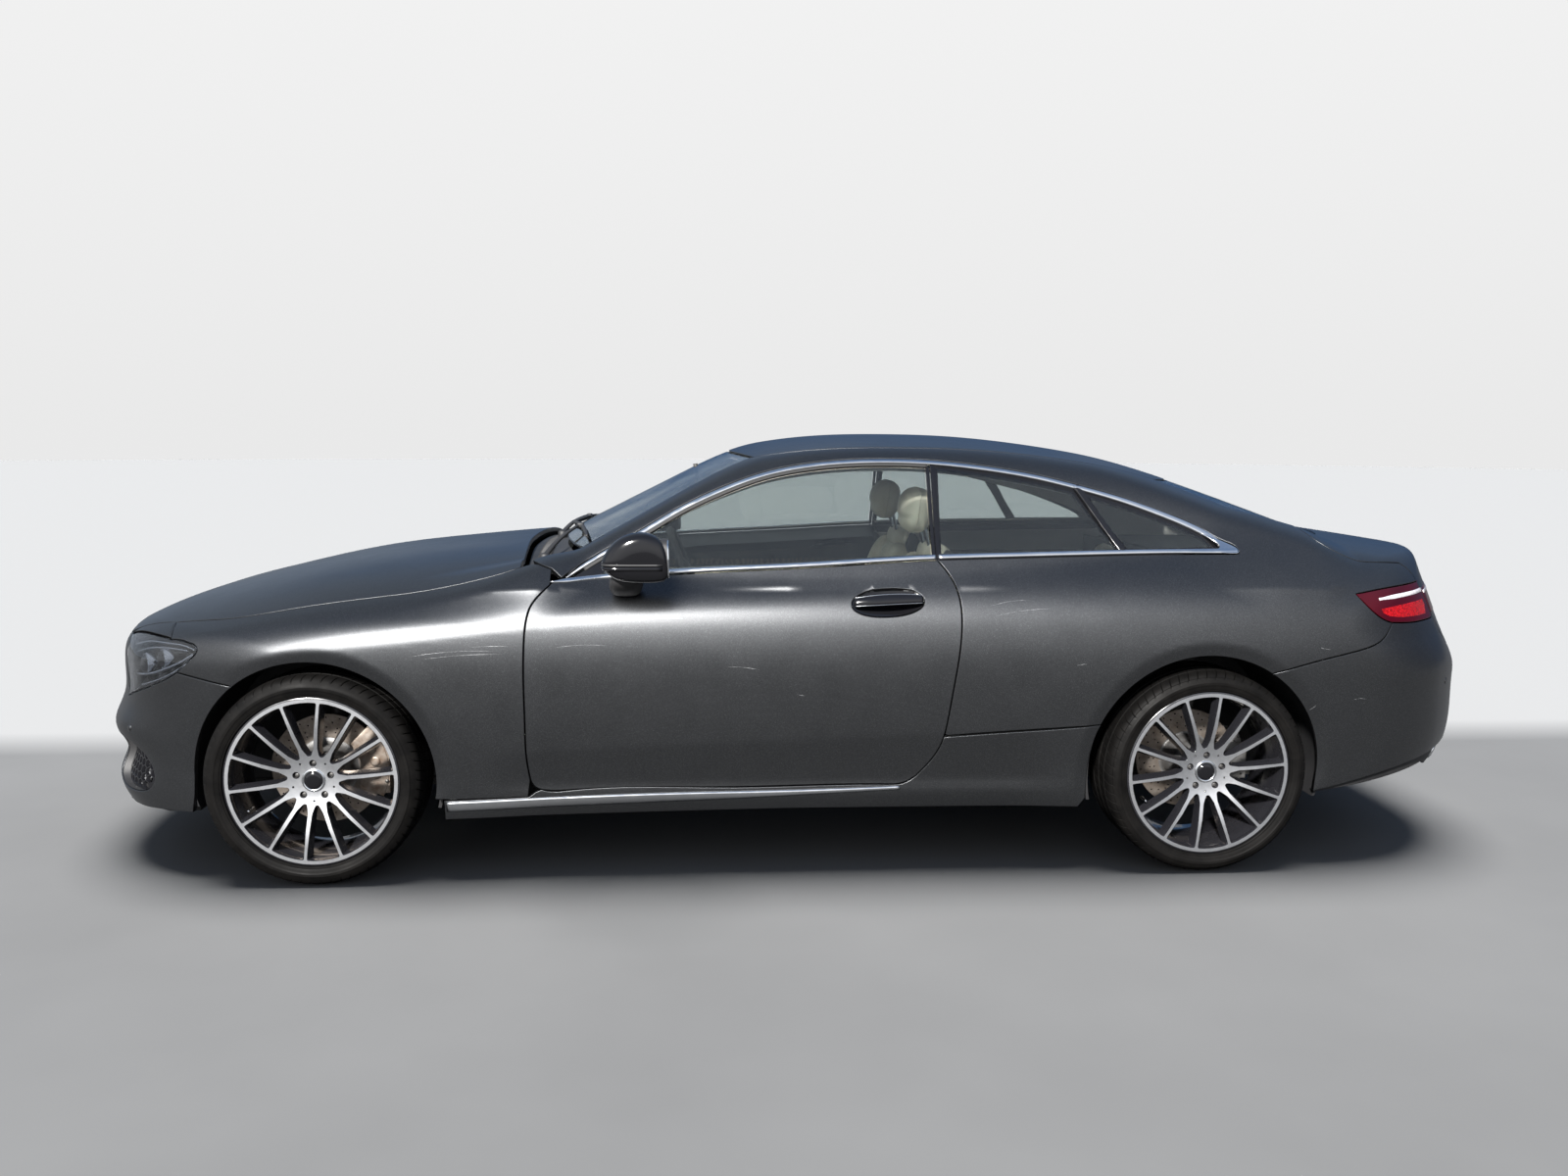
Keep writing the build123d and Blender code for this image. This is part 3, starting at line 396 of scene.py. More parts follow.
def panel(name, net, loops, mat, spacing=0.014, gap=0.002, lip=0.0022, depth=0.012, thick=0.0, form=None, back_mat=None, edge_mat=None, lift=0.0):
    """A trimmed piece of the surface with rolled edges and a return flange; loops[0] is outside, the rest are holes."""
    form = form or body
    rings, flat = [], []
    for i, lp in enumerate(loops):
        uv = net.uv(lp)
        area = 0.5 * np.sum(uv[:, 0] * np.roll(uv[:, 1], -1) - np.roll(uv[:, 0], -1) * uv[:, 1])
        # orientation in space: counter-clockwise about the outward normal for the outer loop
        n, b = loop_frames(lp, form)
        c = lp + b * 0.004
        inn = inside(net.uv(c), [net.uv(q) for q in loops])
        if inn.mean() < 0.5:
            lp = lp[::-1]
            n, b = loop_frames(lp, form)
        # soften the inward direction at corners
        for _ in range(2):
            b = b + 0.5 * (np.roll(b, 1, 0) + np.roll(b, -1, 0))
            b /= np.linalg.norm(b, axis=1, keepdims=True)
        l0 = lp + b * (gap + lip)
        u0 = net.uv(l0)
        o, d, lo, hi = net.rays(u0)
        l0 = cast(form, o, d, lo, hi)
        rings.append((l0, gradient(form, l0), b))
        flat.append(net.uv(l0))
    lo_c, hi_c = np.min(flat[0], 0), np.max(flat[0], 0)
    gx = np.arange(lo_c[0] + spacing * 0.37, hi_c[0], spacing)
    gy = np.arange(lo_c[1] + spacing * 0.41, hi_c[1], spacing)
    gu, gv = np.meshgrid(gx, gy)
    grid = np.stack([gu.ravel(), gv.ravel()], 1)
    grid = grid[inside(grid, flat)]
    edge = np.concatenate(flat)
    if len(grid):
        keep = np.ones(len(grid), bool)
        for k in range(0, len(grid), 4000):
            dd = np.min(np.hypot(grid[k:k + 4000, None, 0] - edge[None, :, 0], grid[k:k + 4000, None, 1] - edge[None, :, 1]), 1)
            keep[k:k + 4000] = dd > 0.5 * spacing
        grid = grid[keep]
    pts = np.concatenate([edge, grid]) if len(grid) else edge
    edges, base = [], 0
    for fl in flat:
        n = len(fl)
        edges += [(base + i, base + (i + 1) % n) for i in range(n)]
        base += n
    vv, _, ff, ov, _, _ = delaunay_2d_cdt([Vector(p) for p in pts], edges, [], 0, 1e-7, True)
    vv = np.array([tuple(v) for v in vv])
    src = np.array([o[0] if o else -1 for o in ov])
    cen = np.array([vv[list(f)].mean(0) for f in ff])
    ok = inside(cen, flat)
    tri = np.array([list(f) for f, k in zip(ff, ok) if k])
    o, d, lo, hi = net.rays(vv)
    p3 = cast(form, o, d, lo, hi)
    nm = gradient(form, p3)
    # face the triangles outward
    fn = np.cross(p3[tri[:, 1]] - p3[tri[:, 0]], p3[tri[:, 2]] - p3[tri[:, 0]])
    flipf = np.sum(fn * nm[tri[:, 0]], 1) < 0
    tri[flipf] = tri[flipf][:, ::-1]
    verts, norms, faces, fm = [p3 + nm * lift], [nm], [tri], [np.zeros(len(tri), int)]
    count = len(p3)
    inv = {int(s): i for i, s in enumerate(src) if s >= 0}
    base = 0
    last_rings = []
    for l0, n0, b in rings:
        n = len(l0)
        prev = np.array([inv.get(base + i, -1) for i in range(n)])
        if (prev < 0).any():
            d2 = ((vv[None, :, :] - net.uv(l0)[:, None, :]) ** 2).sum(2)
            prev = np.argmin(d2, 1)
        base += n
        # the loop's own side direction, square to the normal
        b = b - n0 * np.sum(b * n0, 1, keepdims=True)
        b /= np.linalg.norm(b, axis=1, keepdims=True)
        prof = [(math.sin(t) * lip, lip * (1 - math.cos(t)), t) for t in (math.radians(35), math.radians(65), math.radians(90))]
        prof += [(lip, depth, math.radians(90))]
        for out, down, t in prof:
            ring = l0 + nm[prev * 0 + 0] * 0 - b * out - n0 * down + n0 * lift
            verts.append(ring)
            norms.append(n0 * math.cos(t) - b * math.sin(t))
            cur = count + np.arange(n)
            count += n
            nxt = np.roll(np.arange(n), -1)
            q = np.stack([prev, prev[nxt], cur[nxt], cur], 1)
            # first corner of the first quad, not used further
            w = verts[0][q[0][0]] if q[0][0] < len(p3) else None
            faces.append(q[:, ::-1])
            fm.append(np.full(n, 1 if edge_mat else 0))
            prev = cur
        last_rings.append(prev)
    allv = np.concatenate(verts)
    alln = np.concatenate(norms)
    flist = [list(f) for fs in faces for f in fs]
    fml = list(np.concatenate(fm))
    if thick:
        inner = p3 - nm * thick
        start = count
        allv = np.concatenate([allv, inner])
        alln = np.concatenate([alln, -nm])
        back = (tri[:, ::-1] + start)
        flist += [list(f) for f in back]
        fml += [2 if back_mat else 0] * len(back)
    mats = [mat, edge_mat or mat, back_mat or mat]
    ob = make_mesh(name, allv, flist, alln, mats, fml)
    return ob


# ------------------------------------------------------------------ materials
def material(name, base, rough=0.5, metal=0.0, coat=0.0, coat_rough=0.03, spec=0.5, ior=1.5, trans=0.0, emit=None, sheen=0.0):
    mt = bpy.data.materials.new(name)
    mt.use_nodes = True
    nt = mt.node_tree
    bs = nt.nodes["Principled BSDF"]
    bs.inputs["Base Color"].default_value = (*base, 1.0)
    bs.inputs["Roughness"].default_value = rough
    bs.inputs["Metallic"].default_value = metal
    bs.inputs["Coat Weight"].default_value = coat
    bs.inputs["Coat Roughness"].default_value = coat_rough
    bs.inputs["Specular IOR Level"].default_value = spec
    bs.inputs["IOR"].default_value = ior
    bs.inputs["Transmission Weight"].default_value = trans
    bs.inputs["Sheen Weight"].default_value = sheen
    if emit:
        bs.inputs["Emission Color"].default_value = (*emit[0], 1.0)
        bs.inputs["Emission Strength"].default_value = emit[1]
    mt.diffuse_color = (*base, 1.0)
    return mt, nt, bs


def node(nt, kind, **kw):
    n = nt.nodes.new(kind)
    for k, v in kw.items():
        if k in n.inputs.keys() if hasattr(n, "inputs") else False:
            n.inputs[k].default_value = v
        else:
            setattr(n, k, v)
    return n


def coords(nt):
    return nt.nodes.new("ShaderNodeTexCoord").outputs["Object"]


def noise(nt, scale, detail=2.0, rough=0.5, vec=None, distort=0.0):
    n = nt.nodes.new("ShaderNodeTexNoise")
    n.inputs["Scale"].default_value = scale
    n.inputs["Detail"].default_value = detail
    n.inputs["Roughness"].default_value = rough
    n.inputs["Distortion"].default_value = distort
    nt.links.new(vec or coords(nt), n.inputs["Vector"])
    return n.outputs["Fac"]


def ramp(nt, fac, *stops, interp="LINEAR"):
    n = nt.nodes.new("ShaderNodeValToRGB")
    n.color_ramp.interpolation = interp
    cr = n.color_ramp
    while len(cr.elements) < len(stops):
        cr.elements.new(0.5)
    for e, (pos, col) in zip(cr.elements, stops):
        e.position = pos
        e.color = (*col, 1.0) if hasattr(col, "__len__") else (col, col, col, 1.0)
    nt.links.new(fac, n.inputs["Fac"])
    return n.outputs["Color"]


def bump(nt, bs, height, strength=0.2, dist=0.001, prev=None, coat=False):
    b = nt.nodes.new("ShaderNodeBump")
    b.inputs["Strength"].default_value = strength
    b.inputs["Distance"].default_value = dist
    nt.links.new(height, b.inputs["Height"])
    if prev is not None:
        nt.links.new(prev, b.inputs["Normal"])
    nt.links.new(b.outputs["Normal"], bs.inputs["Normal"])
    if coat:
        nt.links.new(b.outputs["Normal"], bs.inputs["Coat Normal"])
    return b.outputs["Normal"]


def maths(nt, op, a, b=None, clamp=False):
    n = nt.nodes.new("ShaderNodeMath")
    n.operation = op
    n.use_clamp = clamp
    for i, v in enumerate((a, b)):
        if v is None:
            continue
        if isinstance(v, (int, float)):
            n.inputs[i].default_value = v
        else:
            nt.links.new(v, n.inputs[i])
    return n.outputs[0]


def mixc(nt, fac, a, b):
    n = nt.nodes.new("ShaderNodeMix")
    n.data_type = "RGBA"
    if isinstance(fac, (int, float)):
        n.inputs[0].default_value = fac
    else:
        nt.links.new(fac, n.inputs[0])
    for i, v in ((6, a), (7, b)):
        if isinstance(v, tuple):
            n.inputs[i].default_value = (*v, 1.0)
        else:
            nt.links.new(v, n.inputs[i])
    return n.outputs[2]


PAINT, nt, bs = material("body_paint", (0.050, 0.051, 0.053), rough=0.36, metal=0.85, coat=0.5, coat_rough=0.20, spec=0.4)
flake = nt.nodes.new("ShaderNodeTexVoronoi")
flake.inputs["Scale"].default_value = 900.0
nt.links.new(coords(nt), flake.inputs["Vector"])
broad = noise(nt, 2.2, 3.0)
tone = ramp(nt, flake.outputs["Color"], (0.0, (0.036, 0.0372, 0.0396)), (0.75, (0.058, 0.0598, 0.0630)), (1.0, (0.125, 0.127, 0.132)))
nt.links.new(tone, bs.inputs["Base Color"])
film = noise(nt, 9.0, 5.0, 0.6)
nt.links.new(ramp(nt, film, (0.3, 0.325), (0.75, 0.375)), bs.inputs["Roughness"])

UNDER, nt, bs = material("underbody", (0.018, 0.018, 0.019), rough=0.75)
bump(nt, bs, noise(nt, 160.0, 3.0), 0.4, 0.002)
nt.links.new(ramp(nt, noise(nt, 12.0, 5.0), (0.3, (0.012, 0.012, 0.013)), (0.7, (0.030, 0.029, 0.027))), bs.inputs["Base Color"])


# ------------------------------------------------------------------ lines on the body
def arc(c, a0, a1, r=None, n=60):
    cx, cz, rr = c
    r = r or rr
    t = np.radians(np.linspace(a0, a1, n))
    return np.stack([cx + r * np.cos(t), cz + r * np.sin(t)], 1)


def S(pts, s=-1, spacing=0.012):
    return from_side(smooth_line(pts, spacing), s)


def SP(pts, s=-1, spacing=0.012):
    return from_side(poly(pts, spacing), s)


def T(pts, s=-1, spacing=0.012, smooth=True):
    q = smooth_line(pts, spacing) if smooth else poly(pts, spacing)
    return from_top(q * np.array([1.0, s]))


DOOR_FRONT = [(0.742, 0.955), (0.712, 0.926), (0.686, 0.893), (0.673, 0.850), (0.668, 0.805), (0.665, 0.731), (0.664, 0.650), (0.665, 0.520), (0.668, 0.394), (0.676, 0.335)]
DOOR_FOOT = [(0.676, 0.335), (0.690, 0.311), (0.715, 0.301), (0.80, 0.299), (1.30, 0.300), (1.82, 0.303), (1.875, 0.308), (1.912, 0.330)]
DOOR_REAR = [(1.912, 0.330), (1.950, 0.373), (1.985, 0.430), (2.008, 0.520), (2.026, 0.637), (2.041, 0.735), (2.049, 0.825), (2.048, 0.890), (2.036, 0.947), (2.010, 0.995), (1.984, 1.0265)]
BELT = [(0.742, 0.9505), (0.95, 0.968), (1.142, 0.982), (1.35, 0.993), (1.542, 1.002), (1.75, 1.0145), (1.945, 1.025), (2.20, 1.032), (2.442, 1.037), (2.72, 1.041), (2.960, 1.0435)]
BELT_Z = Spline(*BELT)
BONNET_SIDE = [(-0.470, 0.700), (-0.37, 0.738), (-0.274, 0.772), (-0.19, 0.788), (-0.105, 0.795), (0.059, 0.799), (0.220, 0.797), (0.385, 0.789), (0.507, 0.778), (0.590, 0.767), (0.640, 0.755)]
BONNET_FRONT = [(-0.783, 0.0), (-0.780, 0.15), (-0.765, 0.30), (-0.735, 0.42), (-0.690, 0.52), (-0.585, 0.625), (-0.470, 0.700)]
BONNET_REAR = [(0.640, 0.755), (0.630, 0.58), (0.618, 0.40), (0.605, 0.20), (0.600, 0.0)]
BOOT_FRONT = [(3.268, 0.610), (3.352, 0.53), (3.432, 0.426), (3.475, 0.31), (3.499, 0.20), (3.512, 0.0)]
BOOT_SIDE = [(3.617, 0.662), (3.572, 0.684), (3.530, 0.700), (3.485, 0.711), (3.440, 0.716), (3.400, 0.7175), (3.363, 0.716), (3.325, 0.706), (3.300, 0.690), (3.280, 0.655), (3.268, 0.610)]
BACK_SIDE = [(3.262, 0.600), (3.15, 0.576), (3.00, 0.546), (2.90, 0.526), (2.80, 0.505)]
BACK_TOP = [(2.80, 0.505), (2.868, 0.41), (2.920, 0.30), (2.943, 0.15), (2.950, 0.0)]
BACK_FOOT = [(3.505, 0.0), (3.492, 0.20), (3.425, 0.42), (3.345, 0.525), (3.262, 0.600)]
ROOF_SIDE = [(2.796, 0.510), (2.65, 0.524), (2.50, 0.531), (2.10, 0.538), (1.85, 0.536), (1.60, 0.528), (1.48, 0.518), (1.398, 0.505)]
ROOF_FRONT = [(1.398, 0.505), (1.374, 0.42), (1.349, 0.30), (1.328, 0.14), (1.322, 0.0)]
ROOF_BACK = [(2.946, 0.0), (2.938, 0.15), (2.914, 0.30), (2.862, 0.41), (2.796, 0.510)]
SCREEN_SIDE = [(1.392, 0.500), (1.30, 0.530), (1.20, 0.560), (1.00, 0.618), (0.80, 0.676), (0.70, 0.706), (0.672, 0.722)]
TOP_TRIM = [(0.774, 0.973), (0.89, 1.045), (1.019, 1.116), (1.139, 1.186), (1.22, 1.226), (1.295, 1.258), (1.419, 1.302), (1.558, 1.331), (1.66, 1.343), (1.770, 1.349), (1.981, 1.346),
            (2.214, 1.321), (2.367, 1.294), (2.467, 1.270), (2.618, 1.229), (2.779, 1.173), (2.895, 1.123), (2.965, 1.083)]
LAMP_TOP = [(-0.673, 0.5535), (-0.60, 0.612), (-0.53, 0.662), (-0.470, 0.694)]            # plan, just under the bonnet edge
LAMP_REAR = [(-0.459, 0.7745), (-0.415, 0.7765), (-0.377, 0.7705), (-0.357, 0.763), (-0.350, 0.751), (-0.357, 0.738), (-0.371, 0.724), (-0.398, 0.700), (-0.425, 0.677)]
LAMP_FOOT = [(-0.425, 0.677), (-0.460, 0.656), (-0.499, 0.638), (-0.55, 0.615), (-0.606, 0.592), (-0.645, 0.574), (-0.672, 0.562)]
WING_BUMPER = [(-0.425, 0.677), (-0.375, 0.669), (-0.30, 0.656), (-0.2335, 0.644)]
TAIL_TOP = [(3.370, 0.919), (3.45, 0.9285), (3.527, 0.934), (3.60, 0.9365), (3.655, 0.9375), (3.700, 0.9377)]
TAIL_FRONT = [(3.500, 0.8225), (3.468, 0.833), (3.436, 0.852), (3.400, 0.884), (3.370, 0.919)]
REAR_BUMPER_TOP = [(3.0665, 0.6665), (3.128, 0.684), (3.234, 0.711), (3.345, 0.735), (3.411, 0.752), (3.443, 0.765), (3.468, 0.783), (3.486, 0.803), (3.500, 0.8225)]


def strip_dups(q):
    return q


def left_quarter(s):
    a = arc(REAR_ARCH, 155.0, 57.9)
    skirt = smooth_line([(2.0085, 0.4690), (2.15, 0.479), (2.33, 0.4905), (a[0][0], a[0][1])], 0.012)
    door = smooth_line(DOOR_REAR, 0.010)
    door = door[door[:, 1] > 0.472]
    lamp_up = from_rear(poly([(s * 0.658, 0.9375), (s * 0.6585, 0.965)], 0.012))
    side = [from_side(door[::-1], s),
            from_side(skirt, s), from_side(a, s), S(REAR_BUMPER_TOP, s), S(TAIL_FRONT, s), S(TAIL_TOP, s), lamp_up,
            T([(3.700, 0.6585), (3.66, 0.6595), (3.617, 0.662)], s), T(BOOT_SIDE, s), T(BACK_SIDE, s), T(ROOF_SIDE, s), T(SCREEN_SIDE, s)]
    # foot of the windscreen pillar, down to the door's front top corner
    foot = T([(0.672, 0.722), (0.690, 0.752), (0.715, 0.778), (0.742, 0.790)], s)
    trim_top = S(TOP_TRIM + [(3.000, 1.062), (3.004, 1.050), (2.985, 1.0435)], s)
    belt = S([p for p in BELT if p[0] > 2.0][::-1] + [(1.99, 1.0275)], s)
    return join(*side, foot, trim_top, belt)


def wing_loop(s):
    a = arc(FRONT_ARCH, -9.5, 127.8)
    return join(T(BONNET_SIDE, s), T([(0.640, 0.755), (0.660, 0.752), (0.690, 0.762), (0.715, 0.781), (0.742, 0.792)], s), S(DOOR_FRONT, s),
                SP([(0.676, 0.335), (0.668, 0.279), (0.383, 0.276)], s), from_side(a, s), S(WING_BUMPER[::-1], s), S(LAMP_REAR[::-1], s))


def door_loop(s):
    top = [(0.785, 0.9640), (0.86, 0.9685), (0.95, 0.9730)] + [p for p in BELT if 1.0 < p[0] < 1.96]
    return join(S(DOOR_FRONT, s, 0.010), S(DOOR_FOOT, s, 0.010), S(DOOR_REAR, s, 0.010), S([(1.984, 1.0265), (1.945, 1.025)] + top[::-1][1:] + [(0.746, 0.9590)], s))


def skirt_loop(s):
    a = arc(REAR_ARCH, 155.0, 180.0, n=14)
    door = smooth_line(DOOR_REAR, 0.010)
    door = door[door[:, 1] < 0.466]
    foot = smooth_line(DOOR_FOOT[1:], 0.010)
    return join(SP([(0.404, 0.206), (0.404, 0.273), (0.668, 0.279), (0.690, 0.296)], s), from_side(foot[2:], s), from_side(door, s),
                SP([(2.010, 0.4665), (2.15, 0.4765), (2.33, 0.4880), tuple(a[0])], s), from_side(a, s),
                SP([(2.475, 0.338), (2.473, 0.250), (2.452, 0.219), (1.484, 0.2195), (0.404, 0.206)], s))


LAMP_EDGE = [(-0.673, 0.757), (-0.640, 0.768), (-0.60, 0.7755), (-0.53, 0.7785), (-0.470, 0.7772)]


def lamp_loop(s):
    return join(S(LAMP_EDGE, s, 0.008), S(LAMP_REAR, s, 0.008), S(LAMP_FOOT, s, 0.008))


def bonnet_loop():
    half = [T(BONNET_FRONT, -1), T(BONNET_SIDE, -1), T(BONNET_REAR, -1)]
    return join(*half, *[flip(h)[::-1] for h in half[::-1]])


def sym_top(*runs):
    half = [T(r, -1) for r in runs]
    return join(*half, *[flip(h)[::-1] for h in half[::-1]])


def bumper_front():
    a = arc(FRONT_ARCH, 127.8, 180.0)
    half = [T(BONNET_FRONT[:5] + [(-0.673, 0.5445)], -1), S([(-0.673, 0.735), (-0.673, 0.65), (-0.672, 0.562)], -1), S(LAMP_FOOT[::-1], -1), S(WING_BUMPER, -1), from_side(a, -1),
            SP([(-0.381, 0.34), (-0.386, 0.28), (-0.397, 0.223), (-0.514, 0.2175), (-0.600, 0.211)], -1),
            from_front(poly([(-0.66, 0.207), (-0.40, 0.205), (0.0, 0.205)], 0.015))]
    return join(*half, *[flip(h)[::-1] for h in half[::-1]])


def boot_loop():
    half = [T(BOOT_FRONT[::-1], -1), T(BOOT_SIDE[::-1], -1), T([(3.617, 0.662), (3.66, 0.6595), (3.700, 0.6585)], -1),
            from_rear(poly([(-0.6585, 0.965), (-0.655, 0.90), (-0.647, 0.825), (-0.637, 0.762), (-0.600, 0.722), (-0.560, 0.702), (-0.52, 0.698), (0.0, 0.698)], 0.012))]
    return join(*half, *[flip(h)[::-1] for h in half[::-1]])


def bumper_rear():
    a = arc(REAR_ARCH, 57.9, 0.0)
    tail_foot = [(3.500, 0.8225), (3.584, 0.816), (3.66, 0.8135), (3.735, 0.812)]
    half = [from_side(a[::-1], -1), S(REAR_BUMPER_TOP, -1), S(tail_foot, -1),
            from_rear(poly([(-0.665, 0.812), (-0.650, 0.820), (-0.644, 0.800), (-0.637, 0.758), (-0.600, 0.717), (-0.560, 0.697), (-0.52, 0.692), (0.0, 0.692)], 0.012))]
    low = [from_rear(poly([(0.0, 0.380), (-0.30, 0.380), (-0.60, 0.379), (-0.66, 0.376)], 0.012)),
           S([(3.80, 0.373), (3.633, 0.346), (3.473, 0.315), (3.333, 0.282), (3.245, 0.262)], -1)]
    ring = join(*half, *[flip(h)[::-1] for h in half[::-1]], flip(low[1])[::-1], flip(low[0])[::-1], low[0], low[1])
    return ring


def glass_loop(top, s, x0, x1):
    pass



# ------------------------------------------------------------------ swept strips
def frame_on(curve, form=None, closed=False):
    n = gradient(form or body, curve)
    if closed:
        t = np.roll(curve, -1, 0) - np.roll(curve, 1, 0)
    else:
        t = np.gradient(curve, axis=0)
    t /= np.linalg.norm(t, axis=1, keepdims=True)
    b = np.cross(n, t)
    b /= np.linalg.norm(b, axis=1, keepdims=True)
    return t, n, b


def sweep(name, curve, prof, mat, n=None, b=None, closed=False, scale=None, cap=True, smooth=True):
    """A closed section (across, up) carried along a curve; scale may thin it along the way."""
    if n is None:
        _, n, b = frame_on(curve, closed=closed)
    m, k = len(curve), len(prof)
    sc = np.ones((m, 2)) if scale is None else np.asarray(scale, float)
    if sc.ndim == 1:
        sc = np.stack([sc, sc], 1)
    pr = np.asarray(prof, float)
    v = curve[:, None, :] + b[:, None, :] * (pr[None, :, 0] * sc[:, :1])[..., None] + n[:, None, :] * (pr[None, :, 1] * sc[:, 1:])[..., None]
    faces = []
    for i in range(m if closed else m - 1):
        j = (i + 1) % m
        for c in range(k):
            d = (c + 1) % k
            faces.append((i * k + c, i * k + d, j * k + d, j * k + c))
    if cap and not closed:
        faces.append(tuple(range(k))[::-1])
        faces.append(tuple((m - 1) * k + c for c in range(k)))
    ob = make_mesh(name, v.reshape(-1, 3), faces, None, [mat], None, smooth)
    fix_normals(ob)
    return ob


def fix_normals(ob):
    import bmesh
    bm = bmesh.new()
    bm.from_mesh(ob.data)
    bmesh.ops.recalc_face_normals(bm, faces=bm.faces)
    bm.to_mesh(ob.data)
    bm.free()


def lens_profile(w, h, sink=0.003, n=7):
    """A low rounded bar, w across and h proud, with its foot sunk in."""
    t = np.linspace(0, math.pi, n)
    top = [(-0.5 * w * math.cos(a) * 1.0, h * math.sin(a) ** 0.7) for a in t]
    return [(-0.5 * w, -sink)] + top + [(0.5 * w, -sink)]


def join_objects(name, obs, mats=None):
    """Several meshes made one object; materials kept."""
    verts, faces, fmat, nrm, slots = [], [], [], [], []
    base = 0
    for o in obs:
        me = o.data
        co = np.empty(len(me.vertices) * 3)
        me.vertices.foreach_get("co", co)
        co = co.reshape(-1, 3)
        verts.append(co)
        idx = []
        for mt in me.materials:
            if mt not in slots:
                slots.append(mt)
            idx.append(slots.index(mt))
        corner = np.empty(len(me.loops) * 3)
        me.corner_normals.foreach_get("vector", corner)
        nrm.append(corner.reshape(-1, 3))
        for p in me.polygons:
            faces.append([base + i for i in p.vertices])
            fmat.append(idx[p.material_index] if idx else 0)
        base += len(co)
    me = bpy.data.meshes.new(name)
    me.from_pydata(np.concatenate(verts).tolist(), [], faces)
    for mt in slots:
        me.materials.append(mt)
    me.polygons.foreach_set("material_index", np.array(fmat, dtype=np.int32))
    me.polygons.foreach_set("use_smooth", np.ones(len(faces), bool))
    me.update()
    me.normals_split_custom_set(np.concatenate(nrm).tolist())
    ob = bpy.data.objects.new(name, me)
    scene.collection.objects.link(ob)
    for o in obs:
        PIECES.pop(o.name, None)
        bpy.data.objects.remove(o)
    ob.name = name
    PIECES[name] = ob
    return ob


def lathe(name, prof, centre, mat, side=-1, seg=72, mats=None, seg_mat=None, closed=False, a0=0.0):
    """A profile of (r, out) turned about a crosswise axle; out is away from the car's middle."""
    t = a0 + np.linspace(0, 2 * math.pi, seg, endpoint=False)
    pr = np.asarray(prof, float)
    k = len(pr)
    v = np.stack([centre[0] + np.outer(np.cos(t), pr[:, 0]), centre[1] + side * np.tile(pr[:, 1], (seg, 1)), centre[2] + np.outer(np.sin(t), pr[:, 0])], 2)
    faces, fm = [], []
    for i in range(seg):
        j = (i + 1) % seg
        for c in range(k - 1 if not closed else k):
            d = (c + 1) % k
            faces.append((i * k + c, j * k + c, j * k + d, i * k + d))
            fm.append(seg_mat[c] if seg_mat else 0)
    ob = make_mesh(name, v.reshape(-1, 3), faces, None, mats or [mat], fm, True)
    fix_normals(ob)
    return ob


def sharp(ob, angle=35.0):
    """Shade by angle: edges past the angle stay crisp."""
    import bmesh
    bm = bmesh.new()
    bm.from_mesh(ob.data)
    lim = math.radians(angle)
    for e in bm.edges:
        if len(e.link_faces) == 2 and e.calc_face_angle(0.0) > lim:
            e.smooth = False
    bm.to_mesh(ob.data)
    bm.free()
    return ob


def prism(name, loop, axis, d0, d1, mat, bevel=0.0, seg=2):
    """A flat outline pushed along an axis ('x', 'y' or 'z'), edges rounded."""
    import bmesh
    bm = bmesh.new()
    q = np.asarray(loop, float)

    def place(p, d):
        if axis == "y":
            return (p[0] + AX, d, p[1])
        if axis == "x":
            return (d + AX, p[0], p[1])
        return (p[0] + AX, p[1], d)
    lo = [bm.verts.new(place(p, d0)) for p in q]
    hi = [bm.verts.new(place(p, d1)) for p in q]
    bm.faces.new(lo)
    bm.faces.new(hi[::-1])
    for i in range(len(q)):
        j = (i + 1) % len(q)
        bm.faces.new((lo[i], hi[i], hi[j], lo[j]))
    bmesh.ops.recalc_face_normals(bm, faces=bm.faces)
    if bevel:
        bmesh.ops.bevel(bm, geom=[e for e in bm.edges], offset=bevel, segments=seg, profile=0.5, affect="EDGES", clamp_overlap=True)
    bmesh.ops.triangulate(bm, faces=[f for f in bm.faces if len(f.verts) > 4])
    me = bpy.data.meshes.new(name)
    bm.to_mesh(me)
    bm.free()
    me.materials.append(mat)
    me.polygons.foreach_set("use_smooth", np.ones(len(me.polygons), bool))
    ob = bpy.data.objects.new(name, me)
    scene.collection.objects.link(ob)
    PIECES[name] = ob
    return sharp(ob)


def brick(name, x0, x1, y0, y1, z0, z1, mat, bevel=0.006, seg=2):
    return prism(name, [(x0, z0), (x1, z0), (x1, z1), (x0, z1)], "y", y0, y1, mat, bevel, seg)


def tube(name, pts, r, mat, seg=12, closed=False, spacing=0.01):
    c = smooth_line(pts, spacing) if not closed else np.asarray(pts, float)
    t = np.gradient(c, axis=0)
    t /= np.linalg.norm(t, axis=1, keepdims=True)
    ref = np.array([0.0, 0.0, 1.0])
    n = np.cross(t, ref)
    bad = np.linalg.norm(n, axis=1) < 0.2
    n[bad] = np.cross(t[bad], np.array([0.0, 1.0, 0.0]))
    n /= np.linalg.norm(n, axis=1, keepdims=True)
    b = np.cross(t, n)
    a = np.linspace(0, 2 * math.pi, seg, endpoint=False)
    prof = np.stack([r * np.cos(a), r * np.sin(a)], 1)
    return sweep(name, c, prof, mat, n=n, b=b)


def arch_frame(c, r, a0, a1, n=50, s=-1):
    return from_side(arc(c, a0, a1, r, n), s)


